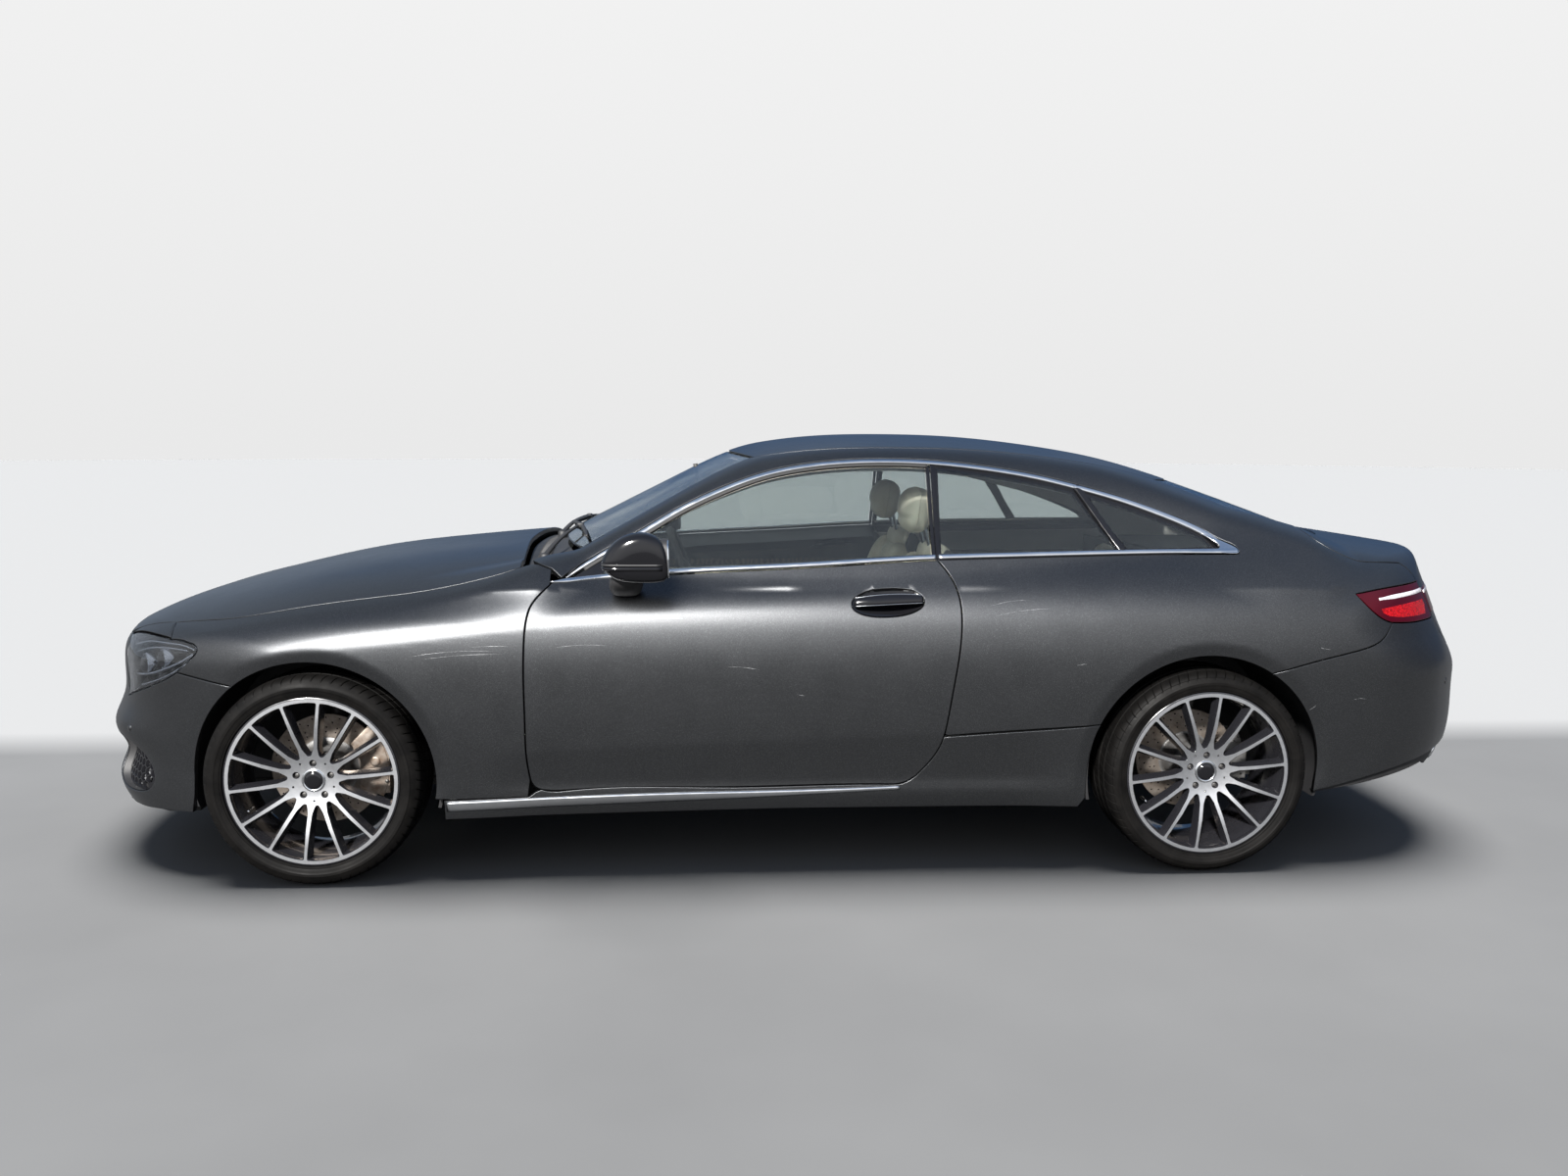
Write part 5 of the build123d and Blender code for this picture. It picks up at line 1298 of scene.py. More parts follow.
def make_tyre(name, xc, zc, side, track, width, radius, seed):
    w = width / 2
    pitch, sub = 66, 6
    off = [0.0, 0.10, 0.17, 0.24, 0.50, 0.76]
    th = np.array([(p + o) * 2 * math.pi / pitch for p in range(pitch) for o in off])
    lateral = np.array([1.0 if o == 0.17 else 0.0 for p in range(pitch) for o in off])
    # half section from bead to crown: r, out
    sect = [(0.2590, w - 0.0300), (0.2725, w - 0.0180), (0.2735, w - 0.0115), (0.2760, w - 0.0086), (0.2790, w - 0.0084), (0.2800, w - 0.0066), (0.2835, w - 0.0052), (0.2890, w - 0.0036), (0.2950, w - 0.0024),
            (0.2960, w - 0.0016), (0.3000, w - 0.0012), (0.3040, w - 0.0012), (0.3050, w - 0.0022), (0.3100, w - 0.0042), (0.3150, w - 0.0068), (0.3195, w - 0.0100), (radius - 0.0160, w - 0.0130), (radius - 0.0110, w - 0.0170), (radius - 0.0072, w - 0.0220),
            (radius - 0.0042, w - 0.0290), (radius - 0.0022, w - 0.0370), (radius - 0.0012, w - 0.0450), (radius - 0.0008, w - 0.0505)]
    flat = [(radius - 0.0008, 0.0), (radius - 0.0075, 0.0), (radius - 0.0075, 0.0), (radius - 0.0005, 0.0)]
    half_w = w - 0.0505
    crown = []
    # four circumferential grooves
    gpos = [half_w - 0.004, 0.026, -0.026, -(half_w - 0.004)]
    for gi, g in enumerate(gpos):
        gw = 0.0045
        crown += [(radius - 0.0004, g + gw), (radius - 0.0070, g + gw * 0.7), (radius - 0.0070, g - gw * 0.7), (radius - 0.0004, g - gw)]
        if gi < 3:
            nx = gpos[gi + 1]
            a, b2 = g - gw, nx + gw
            for q in (0.25, 0.5, 0.75):
                crown.append((radius, a + (b2 - a) * q))
    prof = sect[:-1] + crown + [(r, -o) for r, o in sect[:-1][::-1]]
    prof = np.array(prof)
    k = len(prof)
    # groove weight over the section: shoulders only, and short cuts in the ribs
    s = prof[:, 1]
    rr = prof[:, 0]
    shoulder = ((np.abs(s) > half_w + 0.002) & (rr > radius - 0.0195)).astype(float)
    rib = ((np.abs(s) < half_w - 0.008) & (rr > radius - 0.002)).astype(float)
    depth = shoulder * 0.0052 + rib * 0.0022
    depth = np.where((rr < radius - 0.0140) & (shoulder > 0), 0.0020, depth)
    sweep_a = -side * np.sign(s) * 0.0 + 1.1 * (np.abs(s) / w) ** 2 * 0.06 + 0.35 * s
    T_, P_ = len(th), k
    ang = th[:, None] + sweep_a[None, :] * np.where(np.abs(prof[:, 0]) > radius - 0.03, 1.0, 1.0)[None, :]
    r_ = rr[None, :] - depth[None, :] * lateral[:, None]
    v = np.stack([xc + r_ * np.cos(ang), np.broadcast_to(side * track + side * s[None, :], r_.shape), zc + r_ * np.sin(ang)], 2)
    # a little flat where it stands
    v[:, :, 2] = np.maximum(v[:, :, 2], 0.0)
    faces = []
    for i in range(T_):
        j = (i + 1) % T_
        for c in range(P_ - 1):
            faces.append((i * P_ + c, j * P_ + c, j * P_ + c + 1, i * P_ + c + 1))
    ob = make_mesh(name, v.reshape(-1, 3), faces, None, [TYRE])
    fix_normals(ob)
    sharp(ob, 32)
    return ob


def make_disc(name, xc, zc, side, r, inner, top_out, body_out):
    """inner is |y| of the disc's inboard face."""
    c = (xc, 0.0, zc)
    obs = []
    # drilled plate: outboard face with holes
    rings = []
    for ri, (rad, n, ph) in enumerate(((r - 0.012, 24, 0.0), (r - 0.028, 24, 0.13), (r - 0.045, 24, 0.26), (r - 0.060, 24, 0.02))):
        for a in np.linspace(0, 2 * math.pi, n, endpoint=False) + ph:
            rings.append(circle(rad * math.cos(a), rad * math.sin(a), 0.0028, 6))
    outl = circle(0, 0, r - 0.001, 120)
    innl = circle(0, 0, r - 0.078, 60)
    vv, tri = cdt_faces([outl] + rings + [innl])
    yo = inner + 0.0115
    v = np.stack([xc + vv[:, 0], np.full(len(vv), side * yo), zc + vv[:, 1]], 1)
    tri = [t if (np.cross(v[t[1]] - v[t[0]], v[t[2]] - v[t[0]])[1] * side) > 0 else t[::-1] for t in tri]
    obs.append(make_mesh(name + "_plate", v, tri, None, [DISC], None, False))
    prof = [(r - 0.001, yo), (r, yo - 0.001), (r, inner + 0.0085), (r - 0.005, inner + 0.008), (r - 0.005, inner + 0.004), (r, inner + 0.0035), (r, inner + 0.001), (r - 0.001, inner), (r - 0.078, inner)]
    obs.append(lathe(name + "_edge", prof, c, DISC, side, 110))
    # a black ring just inboard of the drilled plate: painted shade seen through the holes
    obs.append(lathe(name + "_holes", [(r - 0.002, yo - 0.004), (r - 0.078, yo - 0.004)], c, GLOSS, side, 60))
    hat = r - 0.078
    prof = [(hat, yo), (hat - 0.004, yo + 0.0005), (hat - 0.008, yo + 0.004), (0.080, yo + 0.010), (0.079, top_out - 0.004), (0.075, top_out), (0.030, top_out), (0.0, top_out)]
    obs.append(lathe(name + "_hat", prof, c, CAST, side, 60))
    return join_objects(name, obs)


def make_caliper(name, xc, zc, side, r_in, r_out, y0, y1, a0, a1, mat):
    """A block that wraps the disc's edge: y0..y1 are |y|."""
    obs = []
    n = 22
    for i, (ya, yb, ri, ro) in enumerate(((y1 - 0.022, y1, r_in, r_out), (y0, y0 + 0.024, r_in, r_out), (y0, y1 - 0.002, r_out - 0.014, r_out))):
        t = np.radians(np.linspace(a0, a1, n))
        bulge = 0.010 * np.sin((t - t[0]) / (t[-1] - t[0]) * math.pi)
        outer = np.stack([xc + (ro + 0 * bulge) * np.cos(t), zc + ro * np.sin(t)], 1)
        inner = np.stack([xc + (ri + 0.012 * np.cos((t - t.mean()) / (t[-1] - t[0]) * 2 * math.pi * 2) * 0.4) * np.cos(t), zc + (ri + 0.012 * np.cos((t - t.mean()) / (t[-1] - t[0]) * 4 * math.pi) * 0.4) * np.sin(t)], 1)
        lp = np.concatenate([outer, inner[::-1]])
        ys = sorted((side * ya, side * yb))
        obs.append(prism(name + "_b%d" % i, lp, "y", ys[0], ys[1], mat, 0.003, 2))
    # piston bosses and pad pin
    mid = math.radians(0.5 * (a0 + a1))
    for j, da in enumerate((-0.26, 0.0, 0.26)):
        rr = 0.5 * (r_in + r_out) + 0.004
        cc = (xc + rr * math.cos(mid + da), 0.0, zc + rr * math.sin(mid + da))
        obs.append(lathe(name + "_p%d" % j, [(0.0175, y1 - 0.004), (0.0165, y1 + 0.0015), (0.010, y1 + 0.0025), (0.0, y1 + 0.003)], cc, mat, side, 24))
    for da in (-0.36, 0.36):
        rr = r_out - 0.004
        cc = (xc + rr * math.cos(mid + da), 0.0, zc + rr * math.sin(mid + da))
        obs.append(lathe(name + "_q%d" % int(da * 100), [(0.0065, y0), (0.0065, y1 + 0.003), (0.004, y1 + 0.005), (0.0, y1 + 0.005)], cc, CAST, side, 6))
    return join_objects(name, obs)


WHEELS = {}
for s, nm in ((-1, "left"), (1, "right")):
    for pos, xc, track, radius, width, dr, dy in (("front", 0.0, 0.800, 0.340, 0.241, 0.180, 0.723), ("rear", WB, 0.795, 0.3365, 0.266, 0.170, 0.700)):
        base = pos + "_" + nm
        wheel_body = base + "_wheel"
        face = width / 2 - 0.014
        place(make_tyre(base + "_tyre_tread", xc, radius, s, track, width, radius, 1), wheel_body, "tyre_rubber", base + "_tyre")
        place(make_rim(base + "_rim_spokes", xc, radius, s, track, width), wheel_body, "rim_alloy", base + "_rim")
        place(make_disc(base + "_disc_drilled", xc, radius, s, dr, dy, track + face - 0.062, track), wheel_body, "brake_iron", base + "_disc")


# ------------------------------------------------------------------ offset forms and inner skins
def offset_form(f, d):
    return lambda x, a, z: f(x, a, z) + d


def shift2(pts, d, spacing=0.012):
    """A side-view line moved square to itself; positive is to the left of its direction."""
    q = smooth_line(pts, spacing)
    t = np.gradient(q, axis=0)
    t /= np.linalg.norm(t, axis=1, keepdims=True)
    return q + np.stack([-t[:, 1], t[:, 0]], 1) * d


def on_form(net, loop, form):
    o, d, lo, hi = net.rays(net.uv(loop))
    return cast(form, o, d, lo, hi)


def inner_skin(name, net, loops, d, mat, relief=None, spacing=0.02, form=None, shrink=0.012):
    """The inboard face of a panel, d inside the surface, with pressed relief."""
    base = form or body
    f = offset_form(base, d)
    flat = []
    for lp in loops:
        n, b = loop_frames(lp, base)
        inn = inside(net.uv(lp + b * 0.004), [net.uv(q) for q in loops])
        if inn.mean() < 0.5:
            lp = lp[::-1]
            n, b = loop_frames(lp, base)
        flat.append(net.uv(on_form(net, lp + b * shrink, f)))
    lo_c, hi_c = flat[0].min(0), flat[0].max(0)
    gu, gv = np.meshgrid(np.arange(lo_c[0] + 0.3 * spacing, hi_c[0], spacing), np.arange(lo_c[1] + 0.3 * spacing, hi_c[1], spacing))
    grid = np.stack([gu.ravel(), gv.ravel()], 1)
    grid = grid[inside(grid, flat)]
    vv, tri = cdt_faces(flat, grid)
    o, dd, lo, hi = net.rays(vv)
    p = cast(f, o, dd, lo, hi)
    n = gradient(base, p)
    if relief is not None:
        p = p + n * relief(p)[:, None]
    fn = np.cross(p[[t[1] for t in tri]] - p[[t[0] for t in tri]], p[[t[2] for t in tri]] - p[[t[0] for t in tri]])
    tri = [t if np.dot(fn[i], n[t[0]]) < 0 else t[::-1] for i, t in enumerate(tri)]
    return make_mesh(name, p, tri, None, [mat])


def band(name, a, b, mat, closed=True, rows=1):
    """A strip between two matching curves."""
    n = len(a)
    v = np.concatenate([a + (b - a) * (k / rows) for k in range(rows + 1)])
    faces = []
    for k in range(rows):
        for i in range(n if closed else n - 1):
            j = (i + 1) % n
            faces.append((k * n + i, k * n + j, (k + 1) * n + j, (k + 1) * n + i))
    return make_mesh(name, v, faces, None, [mat])


def drop(loop, net, d, form=None):
    """The loop pushed straight in along the surface's normal."""
    return loop - gradient(form or body, loop) * d


def ellipse(cx, cz, rx, rz, n=48, power=2.0):
    t = np.linspace(0, 2 * math.pi, n, endpoint=False)
    c, s_ = np.cos(t), np.sin(t)
    return np.stack([cx + rx * np.sign(c) * np.abs(c) ** (2 / power), cz + rz * np.sign(s_) * np.abs(s_) ** (2 / power)], 1)


# ------------------------------------------------------------------ windows
TOPL = smooth_line(TOP_TRIM + [(3.000, 1.0635)], 0.010)
def top_inner(d, x0, x1):
    q = shift2(TOP_TRIM, -d, 0.010)
    return q[(q[:, 0] > x0) & (q[:, 0] < x1)]


def belt_run(d, x0, x1, n=None):
    xs = np.arange(x0, x1, 0.012)
    return np.stack([xs, BELT_Z(xs) + d], 1)


def line2(a, b, spacing=0.012):
    return smooth_line([a, b], spacing)


def up_form(d):
    """The glasshouse d inside its surface, closed below so that rays from inside the car meet one wall only."""
    return lambda x, a, z: np.minimum(body_up(x, a, z) + d, np.maximum(a - 0.745, z - 0.95))


UP_IN = up_form(0.0035)


def side_glass(s):
    out = {}
    q = top_inner(0.024, 0.905, 1.966)
    out["door"] = [line2((1.966, q[-1][1]), (1.966, float(BELT_Z(1.966)) + 0.020)), belt_run(0.020, 0.90, 1.966)[::-1], line2((0.90, float(BELT_Z(0.90)) + 0.020), tuple(q[0])), q]
    q = top_inner(0.024, 1.998, 2.462)
    d0, d1 = (2.462, float(q[-1][1])), (2.594, float(BELT_Z(2.594)) + 0.020)
    out["main"] = [line2(d0, d1), belt_run(0.020, 1.998, 2.594)[::-1], line2((1.998, float(BELT_Z(1.998)) + 0.020), tuple(q[0])), q]
    q = top_inner(0.026, 2.500, 2.905)
    e0 = (2.500, float(q[0][1]))
    e1 = (2.628, float(BELT_Z(2.628)) + 0.022)
    xe = float(q[-1][0])
    out["corner"] = [q, line2(tuple(q[-1]), (2.925, float(BELT_Z(2.925)) + 0.022)), belt_run(0.022, 2.628, 2.925)[::-1], line2(e1, e0)]
    return {k: join2(*v) for k, v in out.items()}


def join2(*runs):
    out = []
    for r_ in runs:
        for p in r_:
            if not out or np.hypot(*(p - out[-1])) > 0.003:
                out.append(p)
    if np.hypot(*(out[0] - out[-1])) < 0.004:
        out.pop()
    return np.array(out)


def cast_up(q, s):
    return from_side(q, s, body_up)


for s, nm, net in SIDES:
    g = side_glass(s)
    for key, node_name, bod in (("door", nm + "_door_glass", nm + "_door"), ("main", None, "body"), ("corner", None, "body")):
        lp = cast_up(g[key], s)
        ob = panel(nm + "_" + key + "_pane", net, [lp], GLASS, form=UP_IN, gap=0.0008, lip=0.0008, depth=0.0042, thick=0.0042, spacing=0.02)
        if node_name:
            place(ob, bod, "tinted_glass", node_name)
        elif key == "main":
            place(ob, bod, "tinted_glass", "quarter_glass")
        else:
            place(ob, bod, "tinted_glass")
    # gloss black field round the panes
    lower = belt_run(0.004, 0.80, 2.985)
    outer = join2(shift2(TOP_TRIM, -0.004, 0.010), line2((2.975, 1.075), (2.985, 1.048)), lower[::-1])
    dg = g["door"]
    field_f = up_form(0.0055)
    rear_field = join2(top_inner(0.004, 1.985, 2.96), line2((2.962, 1.082), (2.985, 1.048)), belt_run(0.002, 1.985, 2.985)[::-1], line2((1.985, float(BELT_Z(1.985))), tuple(top_inner(0.004, 1.985, 2.96)[0])))
    ob = panel(nm + "_window_field", net, [cast_up(rear_field, s), cast_up(g["main"], s), cast_up(g["corner"], s)], GLOSS, form=field_f, gap=-0.003, lip=0.001, depth=0.012, spacing=0.02)
    place(ob, "body", "black_trim")
    # rubber along the roof rail above the door pane
    rail = cast_up(top_inner(0.019, 0.84, 1.982), s)
    place(sweep(nm + "_rail_seal", rail, lens_profile(0.012, 0.0015, 0.008), SEAL), "body", "black_trim")
    # the pane's own black front corner with the mirror foot
    sail = join2(np.array([(0.785, float(BELT_Z(0.785)) + 0.012)]), top_inner(0.020, 0.80, 0.915), line2((0.918, 1.052), (0.905, float(BELT_Z(0.905)) + 0.014)), belt_run(0.012, 0.80, 0.905)[::-1])
    ob = panel(nm + "_mirror_sail", net, [cast_up(sail, s)], GLOSS, form=up_form(0.002), gap=0.0, lip=0.0015, depth=0.008, spacing=0.012)
    place(ob, nm + "_door", "black_trim")
    # post covers
    for x0, x1, bod in ((1.9685, 1.981, nm + "_door"), (1.9835, 1.997, "body")):
        t = top_inner(0.016, 1.90, 2.1)
        zt = np.interp([x0, x1], t[:, 0], t[:, 1])
        pp = join2(line2((x0, zt[0]), (x0, float(BELT_Z(x0)) + 0.004)), line2((x1, float(BELT_Z(x1)) + 0.004), (x1, zt[1])))
        ob = panel(nm + "_post_" + bod.split("_")[-1], net, [cast_up(pp, s)], GLOSS, form=up_form(0.001), gap=0.0003, lip=0.0012, depth=0.008, spacing=0.012)
        place(ob, bod, "black_trim")
    # slanting divider between the fixed panes
    dv = cast_up(line2((2.477, 1.263), (2.612, 1.050)), s)
    place(sweep(nm + "_divider", dv, lens_profile(0.026, 0.004, 0.004), GLOSS), "body", "black_trim")
    dv = cast_up(line2((2.466, 1.262), (2.598, 1.052)), s)
    place(sweep(nm + "_divider_line", dv, lens_profile(0.0022, 0.0045, 0.004), GLOSS), "body", "black_trim")
    # bright strips
    top = cast_up(shift2(TOP_TRIM, -0.0085, 0.010), s)
    n = len(top)
    xs = top[:, 0]
    wsc = 1.0 + 0.30 * step(2.45, 2.98, xs) - 0.25 * (1 - step(0.78, 1.0, xs))
    place(sweep(nm + "_window_trim", top, lens_profile(0.0165, 0.0042, 0.006, 9), CHROME, scale=np.stack([wsc, np.ones(n)], 1)), "body", "steel")
    b_all = smooth_line(BELT + [(3.000, 1.0445)], 0.010)
    b_all = b_all + np.array([0, 0.0095])
    for x0, x1, bod, tag in ((0.738, 1.9815, nm + "_door", "door"), (1.9865, 3.01, "body", "quarter")):
        q = b_all[(b_all[:, 0] >= x0) & (b_all[:, 0] <= x1)]
        q = np.concatenate([q])
        c3 = from_side(q, s)
        xs = q[:, 0]
        wsc = 1.0 - 0.75 * (1 - step(0.738, 0.80, xs)) if tag == "door" else 1.0 + 0.25 * step(2.75, 2.99, xs)
        wsc = wsc * np.ones(len(xs))
        place(sweep(nm + "_belt_" + tag, c3, lens_profile(0.0165, 0.0046, 0.006, 9), CHROME, scale=np.stack([wsc, np.ones(len(xs))], 1)), bod, "steel")
    # sill strip
    sl = [(0.413, 0.2525), (0.70, 0.2590), (1.10, 0.2690), (1.482, 0.2785), (1.70, 0.2860), (1.86, 0.2920)]
    c3 = from_side(smooth_line(sl, 0.012), s)
    xs = c3[:, 0]
    wsc = np.stack([1.0 - 0.62 * step(0.9, 1.86, xs), np.ones(len(xs))], 1)
    place(sweep(nm + "_sill_strip", c3, lens_profile(0.034, 0.006, 0.008, 9), CHROME, scale=wsc), "body", "steel")

# windscreen and rear window with their black edges
screen_half = [T([(0.590, 0.0), (0.600, 0.20), (0.618, 0.42), (0.640, 0.60), (0.672, 0.716)], 1), T(SCREEN_SIDE[::-1], 1), T([(1.392, 0.500), (1.368, 0.42), (1.343, 0.30), (1.322, 0.14), (1.316, 0.0)], 1)]
SC_F = offset_form(body_up, 0.003)
def up_top(pts, s=1, f=None, spacing=0.014):
    q = smooth_line(pts, spacing) * np.array([1.0, s])
    return cast(f or body_up, np.stack([q[:, 0], q[:, 1], np.full(len(q), 0.95)], 1), np.tile([0.0, 0.0, 1.0], (len(q), 1)), 0.0, 0.7)
def mirror_loop(half):
    return join(*half, *[flip(h)[::-1] for h in half[::-1]])
HI = Top(0.96)
scr = mirror_loop([up_top([(0.640, 0.0), (0.655, 0.25), (0.700, 0.50), (0.742, 0.655), (0.762, 0.675)]), up_top([(0.762, 0.675), (0.80, 0.668), (1.00, 0.610), (1.20, 0.553), (1.388, 0.494)]), up_top([(1.388, 0.494), (1.366, 0.42), (1.341, 0.30), (1.320, 0.14), (1.315, 0.0)])])
place(panel("windscreen_pane", HI, [scr], SCREEN, form=SC_F, gap=0.002, lip=0.0008, depth=0.005, thick=0.005, spacing=0.02), "body", "tinted_glass", "windscreen")
frit_in = mirror_loop([up_top([(0.745, 0.0), (0.760, 0.25), (0.800, 0.50), (0.835, 0.625)]), up_top([(0.835, 0.625), (1.00, 0.580), (1.20, 0.523), (1.352, 0.474)]), up_top([(1.352, 0.474), (1.325, 0.30), (1.302, 0.14), (1.297, 0.0)])])
place(panel("windscreen_edge", HI, [scr, frit_in], GLOSS, form=offset_form(body_up, 0.0095), gap=0.003, lip=0.0004, depth=0.001, spacing=0.02), "body", "black_trim")
bck = mirror_loop([up_top(BACK_TOP[::-1]), up_top(BACK_SIDE[::-1]), up_top(BACK_FOOT[::-1])])
place(panel("rear_window_pane", HI, [bck], DARKGLASS, form=SC_F, gap=0.002, lip=0.0008, depth=0.005, thick=0.005, spacing=0.02), "body", "tinted_glass", "rear_window")
bin_ = mirror_loop([up_top([(2.975, 0.0), (2.945, 0.30), (2.850, 0.465)]), up_top([(2.850, 0.465), (3.00, 0.510), (3.15, 0.540), (3.235, 0.555)]), up_top([(3.235, 0.555), (3.385, 0.40), (3.448, 0.20), (3.460, 0.0)])])
place(panel("rear_window_edge", HI, [bck, bin_], GLOSS, form=offset_form(body_up, 0.0095), gap=0.003, lip=0.0004, depth=0.001, spacing=0.02), "body", "black_trim")


# ------------------------------------------------------------------ front lamps
def bowl(f, net_uv, outline, depth, power=2.5, net=None):
    """The form pressed in by depth inside an outline (a centre and two radii in the net's own plane)."""
    cx, cy, rx, ry = outline
    def g(x, a, z):
        u = (x - cx) / rx
        v = (z - cy) / ry
        q = np.clip(1 - (np.abs(u) ** power + np.abs(v) ** power), 0, 1)
        return f(x, a, z) + depth * np.sqrt(q)
    return g


for s, nm, net in SIDES:
    lamp = lamp_loop(s)
    place(panel(nm + "_lamp_lens", net, [lamp], LENS, gap=0.0022, lip=0.0015, depth=0.004, thick=0.003, spacing=0.014), "body", "lamp_lens", *(["headlights"] if nm == "left" else []))
    # housing well behind the lens
    d1 = drop(lamp, net, 0.004)
    well = on_form(net, lamp, offset_form(body, 0.070))
    cen = well.mean(0)
    well = cen + (well - cen) * 0.93
    place(band(nm + "_lamp_wall", lamp - gradient(body, lamp) * 0.004, well, BLACK, rows=2), "body", "black_trim")
    place(inner_skin(nm + "_lamp_back", net, [lamp], 0.066, GLOSS, spacing=0.02, shrink=0.004), "body", "black_trim")
    bits = []
    # two projector units looking forward and out
    for i, (px, pz, r0) in enumerate(((-0.588, 0.683, 0.031), (-0.505, 0.713, 0.029))):
        p0 = from_side(np.array([[px, pz]]), s)[0]
        n0 = gradient(body, p0[None])[0]
        d = np.array([-0.80, 0.56 * s, 0.02])
        d /= np.linalg.norm(d)
        c0 = p0 - n0 * 0.028
        e1 = np.cross(d, [0, 0, 1.0])
        e1 /= np.linalg.norm(e1)
        e2 = np.cross(e1, d)
        prof = [(r0 + 0.004, -0.020), (r0 + 0.0045, 0.004), (r0 + 0.0025, 0.007), (r0, 0.004), (r0 - 0.0008, 0.0)]
        ballp = [(r0 - 0.001, 0.0), (r0 * 0.92, 0.008), (r0 * 0.72, 0.015), (r0 * 0.42, 0.0195), (0.0, 0.0215)]
        for tag, pf, mt in (("ring", prof, REFLECT), ("ball", ballp, GLOSS)):
            t = np.linspace(0, 2 * math.pi, 32, endpoint=False)
            pr = np.array(pf)
            v = c0 + (np.cos(t)[:, None, None] * pr[None, :, :1] * e1 + np.sin(t)[:, None, None] * pr[None, :, :1] * e2 + pr[None, :, 1:] * d)
            k = len(pr)
            fc = [(a * k + b_, ((a + 1) % 32) * k + b_, ((a + 1) % 32) * k + b_ + 1, a * k + b_ + 1) for a in range(32) for b_ in range(k - 1)]
            o = make_mesh(nm + "_proj%d%s" % (i, tag), v.reshape(-1, 3), fc, None, [mt])
            fix_normals(o)
            bits.append(o)
    # running light blades under the upper edge and along the foot
    for tag, pts, w, dpt, mt in (("brow", [(-0.640, 0.738), (-0.560, 0.7610), (-0.470, 0.7660), (-0.395, 0.7610), (-0.368, 0.752)], 0.0060, 0.012, REFLECT),
                                 ("shelf", [(-0.645, 0.640), (-0.560, 0.655), (-0.480, 0.684), (-0.412, 0.716), (-0.378, 0.738)], 0.008, 0.018, REFLECT),
                                 ("shelf2", [(-0.600, 0.612), (-0.520, 0.640), (-0.450, 0.673), (-0.400, 0.703)], 0.006, 0.014, REFLECT),
                                 ("upper", [(-0.640, 0.716), (-0.560, 0.743), (-0.470, 0.752), (-0.40, 0.748)], 0.005, 0.020, REFLECT)):
        c3 = from_side(smooth_line(pts, 0.01), s)
        c3 = c3 - gradient(body, c3) * dpt
        bits.append(sweep(nm + "_lampbit_" + tag, c3, [(-w / 2, 0.0), (-w * 0.4, 0.0024), (w * 0.4, 0.0024), (w / 2, 0.0), (w / 2, -0.012), (-w / 2, -0.012)], mt))
    place(join_objects(nm + "_lamp_units", bits), "body", "lamp_lens")
    # painted brow over the lamp, under the bonnet's edge
    cover = join(T(LAMP_TOP[:-1] + [(-0.4692, 0.6982)], s), S([(-0.4605, 0.7800)] + [(x, z + 0.0042) for x, z in LAMP_EDGE[-2::-1]], s, 0.008))
    place(panel(nm + "_lamp_brow", net, [cover], PAINT, depth=DEPTH, spacing=0.012, gap=0.0006), "body", "body_paint")

# ------------------------------------------------------------------ tail lamps
def tail_loop(s):
    foot = [(3.735, 0.812), (3.66, 0.8135), (3.584, 0.816), (3.500, 0.8225)]
    return join(S(foot, s), S(TAIL_FRONT, s), S(TAIL_TOP, s), from_rear(poly([(s * 0.6585, 0.9375), (s * 0.655, 0.90), (s * 0.650, 0.835), (s * 0.652, 0.815)], 0.010)))


def lid_lamp(s):
    return join(from_rear(smooth_line([(s * 0.6485, 0.912), (s * 0.60, 0.9165), (s * 0.50, 0.9185), (s * 0.40, 0.917), (s * 0.345, 0.912)], 0.010)),
                from_rear(smooth_line([(s * 0.345, 0.912), (s * 0.331, 0.900), (s * 0.340, 0.880), (s * 0.375, 0.858)], 0.010)),
                from_rear(smooth_line([(s * 0.375, 0.858), (s * 0.45, 0.838), (s * 0.55, 0.829), (s * 0.6435, 0.826)], 0.010)),
                from_rear(poly([(s * 0.6435, 0.826), (s * 0.6485, 0.912)], 0.010)))


for s, nm, net in SIDES:
    tl = tail_loop(s)
    place(panel(nm + "_tail_lens", net, [tl], RED, gap=0.0022, lip=0.0022, depth=0.014, spacing=0.012), "body", "red_lens", *(["tail_lights"] if nm == "left" else []))
    up_ = S([(3.455, 0.8995), (3.55, 0.9050), (3.66, 0.9080), (3.712, 0.9088)], s)
    c3 = up_
    place(sweep(nm + "_tail_white", c3, [(-0.0078, -0.002), (-0.0066, 0.0012), (0.0, 0.0018), (0.0066, 0.0012), (0.0078, -0.002)], WHITELENS, scale=np.stack([0.55 + 0.45 * step(3.455, 3.53, c3[:, 0]), np.ones(len(c3))], 1)), "body", "red_lens")
    led = join2(np.array([(3.458, 0.8690), (3.54, 0.8760), (3.62, 0.8790), (3.695, 0.8795), (3.704, 0.860), (3.700, 0.832), (3.62, 0.8335), (3.54, 0.837), (3.49, 0.844), (3.464, 0.855)]))
    place(panel(nm + "_tail_led", net, [from_side(poly(list(map(tuple, led)) + [tuple(led[0])], 0.008)[:-1], s)], LED, gap=0.0, lip=0.001, depth=0.002, lift=0.0010, spacing=0.010), "body", "red_lens")
    ll = lid_lamp(s)
    place(panel(nm + "_lid_lens", LID, [ll], RED, gap=0.001, lip=0.0018, depth=0.010, spacing=0.012, lift=0.0016), "boot_lid", "red_lens", *(["boot_lamps"] if nm == "left" else []))
    c3 = from_rear(smooth_line([(s * 0.640, 0.8995), (s * 0.55, 0.903), (s * 0.45, 0.9035), (s * 0.37, 0.900)], 0.01))
    place(sweep(nm + "_lid_white", c3, [(-0.0055, -0.001), (-0.0045, 0.0030), (0.0045, 0.0030), (0.0055, -0.001)], WHITELENS), "boot_lid", "red_lens")

